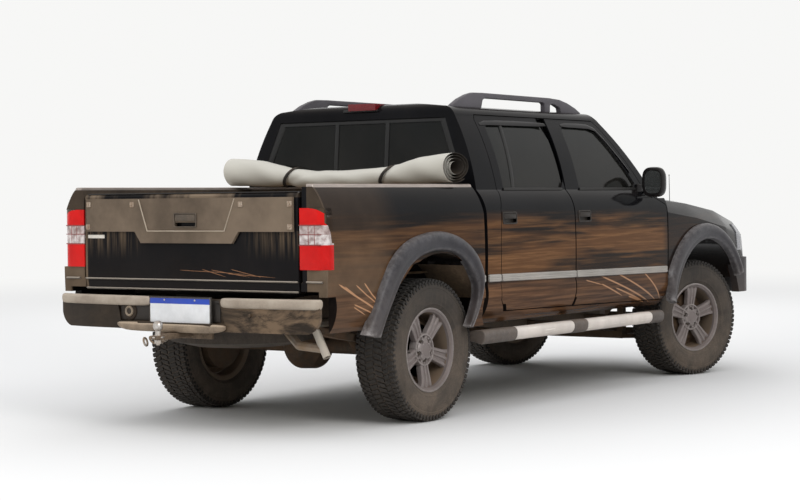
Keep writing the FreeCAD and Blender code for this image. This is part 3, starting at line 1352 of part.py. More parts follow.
def rim_body(label, placement):
    """Alloy rim: a turned barrel with its dish, and a ring of windows between the spokes."""
    seat = size.rim_seat_diameter / 2
    flange = size.rim_flange_diameter / 2
    half = size.rim_width / 2
    inner = seat - size.rim_wall
    face = size.wheel_face_offset
    foot = half - 8 + size.running_gap
    lip = foot + 34.5 * (flange - seat) / 88
    profile = [(-lip - 4, flange), (-lip, flange), (-foot, seat), (foot, seat), (lip, flange),
               (lip + 4, flange), (lip, inner + 6), (face + 34, inner), (face + 20, 60.0),
               (face + 20, 0.0), (face - 16, 0.0), (face - 16, 90.0), (face + 4, inner),
               (-lip, inner)]
    body = revolved_body(label, profile, placement)
    sketch = body.newObject("Sketcher::SketchObject", label + "_window")
    sketch.AttachmentSupport = (origin_item(body, "XZ_Plane"), [""])
    sketch.MapMode = "FlatFace"
    window = [Vec(82, 0, 0), Vec(104, 28, 0), Vec(164, 62, 0), Vec(182, 36, 0), Vec(182, -36, 0),
              Vec(164, -62, 0), Vec(104, -28, 0)]
    for first, last in zip(window, window[1:] + window[:1]):
        sketch.addGeometry(Part.LineSegment(first, last), False)
    pocket = body.newObject("PartDesign::Pocket", label + "_cut")
    pocket.Profile = sketch
    pocket.Type = 1
    pocket.Midplane = True
    ring = body.newObject("PartDesign::PolarPattern", label + "_ring")
    ring.Originals = [pocket]
    ring.Axis = (origin_item(body, "Y_Axis"), [""])
    ring.Angle = 360.0
    ring.Occurrences = int(size.spoke_count)
    body.Tip = ring
    doc.recompute()
    return body


def spare_wheel():
    """Spare tyre with its rim, flat under the bed."""
    top = 636.0 - size.running_gap - 510.0
    profile = [(-80.0, 0.0), (-80.0, 200.0), (-98.0, 250.0), (-70.0, 368.0), (70.0, 368.0),
               (98.0, 250.0), (80.0, 200.0), (80.0, 22.0), (top, 22.0), (top, 0.0)]
    place = FreeCAD.Placement(Vec(-565.0 - origin_x, 0, 510.0),
                              FreeCAD.Rotation(Vec(0, 1, 0), Vec(0, 0, 1)))
    revolved_body("spare_wheel", profile, place)


def wheel_place(x, side, half_track):
    """Placement of a wheel whose outside faces away from the truck."""
    turn = FreeCAD.Rotation(Vec(0, 0, 1), 0.0 if side > 0 else 180.0)
    return FreeCAD.Placement(Vec(x - origin_x, side * half_track, axle_z), turn)


def steer_place():
    """Turn of both front wheels about their kingpins at rest."""
    return FreeCAD.Rotation(Vec(0, 0, 1), -size.park_steer)


def wheels():
    """Four tyres and rims; the front pair is turned with the steering."""
    rows = (
        # name, x, half track, steered
        ("front", size.wheelbase, size.track_front / 2, True),
        ("rear", 0.0, size.track_rear / 2, False),
    )
    for name, x, half_track, turns in rows:
        for side_name, side in (("left", 1), ("right", -1)):
            place = wheel_place(x, side, half_track)
            if turns:
                pivot = Vec(x - origin_x, side * size.kingpin_half_track, 0)
                swing = FreeCAD.Placement(Vec(0, 0, 0), steer_place(), pivot)
                place = swing.multiply(place)
            tyre_body("tyre_%s_%s" % (name, side_name), place)
            rim_body("rim_%s_%s" % (name, side_name), place)


keep("frame_rails", frame_rails())
cab_whole = cab_body()
keep("cab_floor", cab_floor())
keep("cab_shell", cab_shell())
front_door = door("front", front_door_outline(), FRONT_WINDOW, 16.0)
front_door = front_door.fuse(mirror_housing()).removeSplitter()
rear_door = door("rear", rear_door_outline(), REAR_WINDOW, 28.0)
front_glass = window_glass(FRONT_WINDOW)
rear_glass = window_glass(REAR_WINDOW)
keep("door_front_left", front_door)
keep("door_front_right", mirrored(front_door))
keep("door_rear_left", rear_door)
keep("door_rear_right", mirrored(rear_door))
keep("glass_front_left", front_glass)
keep("glass_front_right", mirrored(front_glass))
keep("glass_rear_left", rear_glass)
keep("glass_rear_right", mirrored(rear_glass))
keep("fixed_glass", fixed_glass())
keep("hood", hood())
keep("front_wings", front_wings())
keep("headlamps", headlamps())
keep("grille", grille())
keep("front_bumper", front_bumper())
keep("wheel_flares", wheel_flares())
keep("cargo_bed", cargo_bed())
bed_rails()
keep("tail_lamps", tail_lamps())
keep("tailgate", tailgate())
keep("fuel_lid", fuel_lid())
keep("rear_bumper", rear_bumper())
tow_hitch()
powertrain()
keep("rear_axle", rear_axle())
keep("front_suspension", front_suspension())
keep("knuckle_left", knuckle(1))
keep("knuckle_right", knuckle(-1))
keep("exhaust", exhaust())
fuel_tank()
spare_wheel()
keep("side_steps", side_steps())
keep("roof_rails", roof_rails())
keep("dashboard", dashboard())
keep("steering_wheel", steering_wheel())
seats()
keep("tonneau_roll", tonneau_roll())
wheels()
doc.recompute()

for item in doc.Objects:
    if "Invalid" in item.State or "Error" in item.State:
        raise RuntimeError("%s did not build: %s" % (item.Name, item.State))
for piece in finished:
    if piece.Shape.isNull() or not piece.Shape.isValid():
        raise RuntimeError("%s has no valid shape" % piece.Label)

os.makedirs("parts", exist_ok=True)
for piece in finished:
    piece.Shape.exportStep(os.path.join("parts", piece.Label + ".step"))
    box = piece.Shape.BoundBox
    print("%-20s solids %2d faces %3d volume %8.3f l  x %6.0f %6.0f y %5.0f %5.0f z %5.0f %5.0f" % (
        piece.Label, len(piece.Shape.Solids), len(piece.Shape.Faces), piece.Shape.Volume / 1e6,
        box.XMin, box.XMax, box.YMin, box.YMax, box.ZMin, box.ZMax))
print("pieces", len(finished))
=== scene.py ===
"""Looks of a double-cab pickup truck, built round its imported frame.

All sizes are metres in the truck's own frame: X forward, Y to the left, Z up,
with the origin on the ground below the middle of the truck.
"""
import logging
import math
from dataclasses import dataclass, field
from enum import Enum
from typing import Callable, ClassVar, Iterable, Sequence

import bpy
from mathutils import Matrix, Vector
from mathutils.bvhtree import BVHTree


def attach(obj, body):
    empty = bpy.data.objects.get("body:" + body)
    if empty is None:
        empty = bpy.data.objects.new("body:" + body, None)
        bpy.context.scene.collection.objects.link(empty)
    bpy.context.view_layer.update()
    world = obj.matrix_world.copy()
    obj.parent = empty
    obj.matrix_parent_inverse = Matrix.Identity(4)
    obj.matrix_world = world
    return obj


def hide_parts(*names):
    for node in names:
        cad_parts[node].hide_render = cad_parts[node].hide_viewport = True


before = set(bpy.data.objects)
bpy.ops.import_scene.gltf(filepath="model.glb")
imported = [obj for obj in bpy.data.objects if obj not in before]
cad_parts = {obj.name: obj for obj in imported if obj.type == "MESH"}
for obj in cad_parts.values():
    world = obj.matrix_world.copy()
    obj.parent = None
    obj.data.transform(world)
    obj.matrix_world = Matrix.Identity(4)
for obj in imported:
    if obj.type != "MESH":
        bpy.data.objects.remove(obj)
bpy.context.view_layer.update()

log = logging.getLogger("pickup")

Point = tuple[float, float, float]
Colour = tuple[float, float, float]
Pair = tuple[float, float]
Piece = bpy.types.Object
Tree = bpy.types.NodeTree
ORIGIN_X = 1.3725
AXLE_Z = 0.372
WHEELBASE = 3.122
STEER_AT_REST = -16.0  # degrees
MERGE = 0.00001  # vertices closer than this become one
BACKDROP: Colour = (0.93, 0.93, 0.92)
DUST_ROUGH = 0.85


class Side(Enum):
    """Sides of the truck, with the sign of Y."""

    LEFT = 1
    RIGHT = -1

    @property
    def label(self) -> str:
        """Lower-case name used in piece names."""
        return self.name.lower()


# Shader groups

def new_group(name: str, inputs: dict[str, float], outputs: Sequence[str]) -> Tree:
    """Make an empty shader group with number inputs and mask outputs.

    Args:
        name: Name of the group.
        inputs: Input names with their default values.
        outputs: Names of the mask outputs.

    Returns:
        The node tree, with its group input and output nodes placed.
    """
    tree = bpy.data.node_groups.new(name, "ShaderNodeTree")
    for label, value in inputs.items():
        socket = tree.interface.new_socket(label, in_out="INPUT", socket_type="NodeSocketFloat")
        socket.default_value = value
    for label in outputs:
        tree.interface.new_socket(label, in_out="OUTPUT", socket_type="NodeSocketFloat")
    tree.nodes.new("NodeGroupInput")
    tree.nodes.new("NodeGroupOutput")
    return tree


class Weave:
    """Short calls that add and link the nodes of one tree."""

    def __init__(self, tree: Tree) -> None:
        """Keep the tree and find its group ends, if it has any."""
        self.tree = tree
        self.given = tree.nodes.get("Group Input")
        self.result = tree.nodes.get("Group Output")
        self._place = None

    def node(self, kind: str, **settings) -> bpy.types.Node:
        """Add a node and set its properties."""
        made = self.tree.nodes.new(kind)
        for key, value in settings.items():
            setattr(made, key, value)
        return made

    def link(self, source, target) -> None:
        """Join an output socket to an input socket, or set a plain value on it."""
        if isinstance(source, bpy.types.NodeSocket):
            self.tree.links.new(source, target)
        elif isinstance(source, tuple) and len(source) == 3 and target.type == "RGBA":
            target.default_value = (*source, 1.0)
        else:
            target.default_value = source

    def place(self):
        """Object coordinates of the shaded point."""
        if self._place is None:
            self._place = self.node("ShaderNodeTexCoord").outputs["Object"]
        return self._place

    def math(self, operation: str, first, second=0.0, clamp: bool = False):
        """Result of a Math node."""
        made = self.node("ShaderNodeMath", operation=operation, use_clamp=clamp)
        self.link(first, made.inputs[0])
        self.link(second, made.inputs[1])
        return made.outputs[0]

    def times(self, first, second, clamp: bool = False):
        """Product of two values."""
        return self.math("MULTIPLY", first, second, clamp)

    def span(self, value, low, high, to_low=0.0, to_high=1.0, smooth: bool = True):
        """Value mapped from one range to another and clamped."""
        kind = "SMOOTHSTEP" if smooth else "LINEAR"
        made = self.node("ShaderNodeMapRange", interpolation_type=kind, clamp=True)
        for item, name in ((value, "Value"), (low, "From Min"), (high, "From Max"),
                           (to_low, "To Min"), (to_high, "To Max")):
            self.link(item, made.inputs[name])
        return made.outputs[0]

    def noise(self, scale, detail: float = 4.0, rough: float = 0.55, vector=None,
              distortion: float = 0.0):
        """Grey noise at the shaded point."""
        made = self.node("ShaderNodeTexNoise")
        self.link(self.place() if vector is None else vector, made.inputs["Vector"])
        for item, name in ((scale, "Scale"), (detail, "Detail"), (rough, "Roughness"),
                           (distortion, "Distortion")):
            self.link(item, made.inputs[name])
        return made.outputs["Fac"]

    def cells(self, scale):
        """Distance output of a Voronoi pattern."""
        made = self.node("ShaderNodeTexVoronoi")
        self.link(self.place(), made.inputs["Vector"])
        self.link(scale, made.inputs["Scale"])
        return made.outputs["Distance"]

    def stretched(self, scale: Point, turn: Point = (0.0, 0.0, 0.0), shift: Point = (0, 0, 0)):
        """Object coordinates scaled, turned and moved."""
        made = self.node("ShaderNodeMapping")
        self.link(self.place(), made.inputs["Vector"])
        made.inputs["Scale"].default_value = scale
        made.inputs["Rotation"].default_value = turn
        made.inputs["Location"].default_value = shift
        return made.outputs[0]

    def mix(self, amount, first, second):
        """Colour mixed from the first to the second by amount."""
        made = self.node("ShaderNodeMix", data_type="RGBA")
        self.link(amount, made.inputs[0])
        self.link(first, made.inputs[6])
        self.link(second, made.inputs[7])
        return made.outputs[2]

    def axis(self, name: str, vector=None):
        """One coordinate of the shaded point."""
        made = self.node("ShaderNodeSeparateXYZ")
        self.link(self.place() if vector is None else vector, made.inputs[0])
        return made.outputs[name]

    def facing_up(self):
        """How far the surface faces upwards, from 0 to 1."""
        normal = self.node("ShaderNodeNewGeometry").outputs["Normal"]
        return self.span(self.axis("Z", normal), 0.25, 0.95)

    def shown(self):
        """1 for rays that see the background: camera, mirror and transmission rays."""
        rays = self.node("ShaderNodeLightPath").outputs
        mirrored = self.math("MAXIMUM", rays["Is Glossy Ray"], rays["Is Transmission Ray"])
        return self.math("MAXIMUM", rays["Is Camera Ray"], mirrored)

    def group(self, tree: Tree, **values) -> bpy.types.Node:
        """Place a shader group with its own values."""
        made = self.node("ShaderNodeGroup")
        made.node_tree = tree
        for key, value in values.items():
            self.link(value, made.inputs[key.replace("_", " ")])
        return made


def dust_group() -> Tree:
    """Dust that thickens towards the ground, on upward faces and in soft patches."""
    tree = new_group("dust", {"Amount": 0.5, "Low": 0.3, "High": 1.3, "Scale": 3.0,
                              "Top Share": 0.4, "Streaks": 0.2}, ("Mask", "Fine"))
    w = Weave(tree)
    get = w.given.outputs
    height = w.span(w.axis("Z"), get["Low"], get["High"], 1.0, 0.0)
    patches = w.noise(get["Scale"], 6.0, 0.62, distortion=0.4)
    fine = w.noise(w.times(get["Scale"], 17.0), 5.0, 0.7)
    runs = w.noise(get["Scale"], 4.0, 0.6, w.stretched((7.0, 7.0, 0.9)))
    runs = w.times(w.span(runs, 0.42, 0.75), get["Streaks"])
    base = w.times(height, w.span(patches, 0.25, 0.72, 0.35, 1.0))
    top = w.times(w.facing_up(), get["Top Share"])
    total = w.math("ADD", w.math("ADD", base, top), runs)
    total = w.times(total, w.span(fine, 0.25, 0.75, 0.75, 1.15))
    w.link(w.times(total, get["Amount"], clamp=True), w.result.inputs["Mask"])
    w.link(fine, w.result.inputs["Fine"])
    return tree


def wear_group() -> Tree:
    """Rubbed edges, broken up by noise."""
    tree = new_group("edge_wear", {"Strength": 1.0, "Scale": 30.0}, ("Mask",))
    w = Weave(tree)
    point = w.node("ShaderNodeNewGeometry").outputs["Pointiness"]
    edge = w.span(point, 0.51, 0.6)
    broken = w.span(w.noise(w.given.outputs["Scale"], 5.0, 0.7), 0.35, 0.65, 0.2, 1.0)
    mask = w.times(w.times(edge, broken), w.given.outputs["Strength"],
                  clamp=True)
    w.link(mask, w.result.inputs["Mask"])
    return tree


def grain_group() -> Tree:
    """Moulded grain or cast skin as a height, with a slow colour change."""
    tree = new_group("grain", {"Scale": 900.0, "Slow Scale": 6.0}, ("Height", "Slow"))
    w = Weave(tree)
    cells = w.cells(w.given.outputs["Scale"])
    fine = w.noise(w.given.outputs["Scale"], 2.0)
    w.link(w.math("ADD", w.times(cells, 0.7), w.times(fine, 0.3)),
           w.result.inputs["Height"])
    w.link(w.noise(w.given.outputs["Slow Scale"], 5.0, 0.6), w.result.inputs["Slow"])
    return tree


def scuff_group() -> Tree:
    """Fine scratches along X and small chips."""
    tree = new_group("scuffs", {"Scale": 60.0, "Amount": 0.5}, ("Mask", "Chips"))
    w = Weave(tree)
    lines = w.noise(w.given.outputs["Scale"], 3.0, 0.5, w.stretched((0.08, 1.0, 2.2)))
    mask = w.times(w.span(lines, 0.58, 0.7), w.given.outputs["Amount"])
    chips = w.times(w.span(w.cells(w.given.outputs["Scale"]), 0.05, 0.12, 1.0, 0.0),
                   w.span(w.noise(4.0), 0.55, 0.7))
    w.link(mask, w.result.inputs["Mask"])
    w.link(chips, w.result.inputs["Chips"])
    return tree


@dataclass(frozen=True)
class Shared:
    """Shader groups used by more than one finish."""

    dust: Tree = field(default_factory=dust_group)
    wear: Tree = field(default_factory=wear_group)
    grain: Tree = field(default_factory=grain_group)
    scuffs: Tree = field(default_factory=scuff_group)


SHARED = Shared()
DUST: Colour = (0.23, 0.155, 0.095)


@dataclass(frozen=True)
class Finish:
    """One procedural finish: base colour, gloss, dust, wear and grain."""

    name: str
    slot: str
    colour: Colour
    rough: float = 0.5
    metal: float = 0.0
    coat: float = 0.0
    specular: float = 0.22
    dust: float = 0.3
    dust_low: float = 0.25
    dust_high: float = 1.2
    dust_scale: float = 3.0
    dust_top: float = 0.4
    streaks: float = 0.1
    dust_colour: Colour = DUST
    wear: float = 0.0
    wear_colour: Colour = (0.3, 0.3, 0.3)
    second: Colour | None = None
    grain: float = 0.0
    grain_scale: float = 900.0
    slow_scale: float = 6.0
    alpha: float = 1.0
    scuffs: float = 0.0

    def shade(self) -> bpy.types.Material:
        """Build the material, once per finish."""
        found = bpy.data.materials.get(self.name)
        if found:
            return found
        material = bpy.data.materials.new(self.name)
        material.use_nodes = True
        w = Weave(material.node_tree)
        shader = material.node_tree.nodes["Principled BSDF"]
        grain = w.group(SHARED.grain, Scale=self.grain_scale, Slow_Scale=self.slow_scale)
        slow = w.span(grain.outputs["Slow"], 0.3, 0.7)
        other = self.second or tuple(1.25 * c + 0.004 for c in self.colour)
        colour = w.mix(slow, self.colour, other)
        dust = w.group(SHARED.dust, Amount=self.dust, Low=self.dust_low, High=self.dust_high,
                       Scale=self.dust_scale, Top_Share=self.dust_top, Streaks=self.streaks)
        rough = w.span(slow, 0.0, 1.0, 0.9 * self.rough, 1.12 * self.rough, False)
        if self.wear:
            worn = w.group(SHARED.wear, Strength=self.wear).outputs["Mask"]
            colour = w.mix(worn, colour, self.wear_colour)
        if self.scuffs:
            scuffs = w.group(SHARED.scuffs, Amount=self.scuffs)
            colour = w.mix(scuffs.outputs["Mask"], colour, tuple(min(1, 1.7 * c + 0.03)
                                                                for c in self.colour))
            rough = w.math("ADD", rough, w.times(scuffs.outputs["Mask"], 0.2))
        colour = self.marks(w, colour)
        mask = dust.outputs["Mask"]
        shade = w.mix(dust.outputs["Fine"], self.dust_colour,
                      tuple(1.35 * c for c in self.dust_colour))
        w.link(w.mix(mask, colour, shade), shader.inputs["Base Color"])
        w.link(w.math("ADD", rough, w.times(mask, DUST_ROUGH - self.rough), True),
               shader.inputs["Roughness"])
        shader.inputs["Specular IOR Level"].default_value = self.specular
        if self.metal:
            w.link(w.times(w.math("SUBTRACT", 1.0, mask, True), self.metal),
                   shader.inputs["Metallic"])
        if self.coat:
            w.link(w.times(w.math("SUBTRACT", 1.0, mask, True), self.coat),
                   shader.inputs["Coat Weight"])
            shader.inputs["Coat Roughness"].default_value = 0.05
        if self.alpha < 1.0:
            w.link(w.span(mask, 0.0, 1.0, self.alpha, 1.0, False), shader.inputs["Alpha"])
        bump = w.node("ShaderNodeBump")
        bump.inputs["Strength"].default_value = self.grain
        bump.inputs["Distance"].default_value = 0.001
        height = w.math("ADD", w.times(grain.outputs["Height"], 0.6),
                        w.times(dust.outputs["Fine"], 0.4))
        if self.grain:
            w.link(height, bump.inputs["Height"])
            w.link(bump.outputs[0], shader.inputs["Normal"])
        material.diffuse_color = (*self.colour, 1.0)
        return material

    def marks(self, w: Weave, colour):
        """Coloured marks on the finish; the plain one has none."""
        return colour


class StripedPaint(Finish):
    """Body paint with bundles of thin painted reflection rays low on the doors, bed sides and
    tailgate.
    """

    # Painted reflection rays as start along, start up, end along, end up and half width in mm, for
    # the doors, bed sides and gate.
    door: ClassVar[tuple] = (
        (1.700, 0.695, 2.400, 0.507, 7.0), (1.905, 0.704, 2.470, 0.516, 7.0),
        (2.246, 0.696, 2.520, 0.522, 7.0), (1.700, 0.648, 1.985, 0.564, 6.0),
        (1.870, 0.618, 2.300, 0.517, 6.0), (2.070, 0.558, 2.330, 0.508, 7.0),
        (1.520, 0.676, 1.720, 0.640, 4.0))
    bed: ClassVar[tuple] = (
        (-0.885, 0.755, -0.530, 0.593, 7.0), (-0.672, 0.752, -0.540, 0.634, 6.0),
        (-0.740, 0.744, -0.545, 0.628, 5.0), (-0.764, 0.636, -0.660, 0.592, 4.0),
        (-0.764, 0.650, -0.560, 0.584, 5.0), (-0.836, 0.742, -0.600, 0.620, 4.0))
    gate: ClassVar[tuple] = (
        (0.090, 0.8195, 0.250, 0.782, 2.0), (0.147, 0.817, 0.400, 0.783, 2.0),
        (0.277, 0.821, 0.470, 0.784, 2.0), (0.249, 0.799, 0.560, 0.783, 2.0),
        (-0.063, 0.813, 0.369, 0.799, 1.6))

    thin: ClassVar[float] = 0.72 / 1000.0
    gate_x: ClassVar[float] = -2.335
    gate_half: ClassVar[float] = 0.72

    def stroke(self, w: Weave, flat, row: tuple[float, ...]):
        """Mask of one straight ray with pointed ends.

        Args:
            w: The material's weave.
            flat: Vector of (along, 0, up).
            row: Start and end as along and up in metres, and the half width in millimetres.

        Returns:
            A mask socket.
        """
        x0, z0, x1, z1, half = row
        local = w.node("ShaderNodeMapping", vector_type="TEXTURE")
        w.link(flat, local.inputs["Vector"])
        local.inputs["Location"].default_value = (x0, 0.0, z0)
        local.inputs["Rotation"].default_value = (0.0, -math.atan2(z1 - z0, x1 - x0), 0.0)
        long = math.hypot(x1 - x0, z1 - z0)
        local.inputs["Scale"].default_value = (long, 1.0, self.thin * half)
        along, across = w.axis("X", local.outputs[0]), w.axis("Z", local.outputs[0])
        room = w.times(w.span(along, 0.0, 0.10), w.span(along, 0.70, 1.0, 1.0, 0.3))
        inside = w.math("LESS_THAN", along, 1.0)
        edge = w.span(w.math("DIVIDE", w.math("ABSOLUTE", across), w.math("ADD", room, 0.001)),
                      0.75, 1.1, 1.0, 0.0)
        return w.times(edge, inside)

    def fan(self, w: Weave, flat, rows: tuple):
        """Union of several rays."""
        total = 0.0
        for row in rows:
            total = w.math("MAXIMUM", total, self.stroke(w, flat, row))
        return total

    def marks(self, w: Weave, colour):
        """Painted brown reflection of the ground and painted copper reflection rays on both sides,
        streaks and painted reflection rays on the gate.
        """
        x, y, z = w.axis("X"), w.axis("Y"), w.axis("Z")
        faces = w.axis("Y", w.node("ShaderNodeTexCoord").outputs["Normal"])
        outside = w.times(w.span(w.math("ABSOLUTE", y), 0.76, 0.80),
                         w.span(w.times(w.math("SIGN", y), faces), 0.25, 0.42))
        # Painted reflection of the ground: dark and brown bands with lighter painted glints, on
        # the sides up to the shoulder.
        bands = w.noise(1.6, 3.0, 0.55, w.stretched((0.45, 0.2, 6.0)), 0.3)
        fine = w.noise(3.4, 5.0, 0.62, w.stretched((0.55, 0.3, 17.0), shift=(3.0, 0.0, 1.0)))
        ground_reflection = w.mix(w.span(bands, 0.42, 0.58), (0.008, 0.0036, 0.0020), (0.104, 0.043, 0.014))
        lights = w.times(w.span(fine, 0.42, 0.70), w.span(bands, 0.38, 0.60, 0.15, 0.8))
        ground_reflection = w.mix(lights, ground_reflection, (0.235, 0.112, 0.042))
        reach = w.times(w.span(z, 1.00, 1.10, 0.93, 0.0), w.span(x, 1.10, 1.22, 1.0, 0.15))
        reach = w.times(reach, w.span(x, -1.0, -0.9, 0.62, 1.0))
        dirty = w.span(w.times(x, -1.0), 1.70, 1.95)
        colour = w.mix(w.times(reach, outside), colour, ground_reflection)
        caked = w.times(w.times(dirty, outside), w.span(z, 0.75, 1.05, 0.8, 0.2))
        colour = w.mix(caked, colour, w.mix(w.noise(7.0, 6.0, 0.65), (0.055, 0.032, 0.018),
                                            (0.165, 0.105, 0.065)))
        low = w.times(outside, w.span(z, 0.69, 0.71, 0.6, 0.0))
        low = w.times(low, w.span(x, 1.10, 1.22, 1.0, 0.0))
        colour = w.mix(low, colour, w.mix(w.span(fine, 0.35, 0.65), (0.030, 0.014, 0.008),
                                          (0.120, 0.056, 0.028)))
        # Painted copper reflection rays on the doors and bed sides.
        sides = w.times(self.fan(w, w.stretched((1, 0, 1), shift=(ORIGIN_X, 0, 0)),
                                            self.door + self.bed), outside)
        colour = w.mix(w.times(sides, 0.85), colour, (0.46, 0.245, 0.13))
        behind = w.math("LESS_THAN", x, self.gate_x)
        runs = w.noise(2.2, 4.0, 0.6, w.stretched((1.0, 27.0, 1.1)), 0.2)
        runs = w.times(w.span(runs, 0.38, 0.76), w.span(z, 0.85, 0.995))
        runs = w.times(runs, w.math("LESS_THAN", z, 1.01))
        wide = w.math("ABSOLUTE", w.math("ADD", y, 0.03))
        aside = w.times(w.span(wide, 0.30, 0.46), w.math("LESS_THAN", wide, self.gate_half))
        runs = w.times(runs, w.times(aside, behind))
        colour = w.mix(w.times(runs, 0.62), colour, (0.165, 0.115, 0.072))
        tops = w.noise(3.0, 4.0, 0.6, w.stretched((0.3, 1.3, 0.3), shift=(0.0, 2.0, 0.0)), 0.3)
        tops = w.times(w.span(tops, 0.42, 0.58), w.math("GREATER_THAN", z, 1.172))
        tops = w.times(tops, w.math("LESS_THAN", x, -2.295))
        tops = w.times(tops, w.math("LESS_THAN", w.math("ABSOLUTE", y), self.gate_half))
        colour = w.mix(w.times(tops, 0.9), colour, (0.205, 0.152, 0.105))
        posts = w.times(w.math("GREATER_THAN", wide, self.gate_half), behind)
        posts = w.times(posts, w.span(z, 0.84, 1.20, 0.85, 0.35))
        colour = w.mix(posts, colour, w.mix(w.noise(6.0, 5.0, 0.6), (0.045, 0.030, 0.019),
                                            (0.20, 0.145, 0.097)))
        # Painted reflection rays on the gate.
        turned = w.node("ShaderNodeCombineXYZ")
        w.link(w.times(y, -1.0), turned.inputs[0])
        w.link(z, turned.inputs[2])
        gate = w.times(self.fan(w, turned.outputs[0], self.gate), behind)
        return w.mix(w.times(gate, 0.7), colour, (0.34, 0.165, 0.085))


class RubbedPlastic(Finish):
    """Black plastic rubbed brown on the truck's right."""

    def marks(self, w: Weave, colour):
        """Brown rubbed patches that grow towards the right end."""
        patches = w.noise(5.0, 6.0, 0.66, w.stretched((1.0, 1.0, 2.4), turn=(0.5, 0.0, 0.0)), 0.6)
        side = w.span(w.times(w.axis("Y"), -1.0), 0.22, 0.42, 0.08, 1.0)
        mask = w.times(w.span(patches, 0.36, 0.60), side)
        return w.mix(w.times(mask, 0.9), colour, (0.155, 0.105, 0.066))


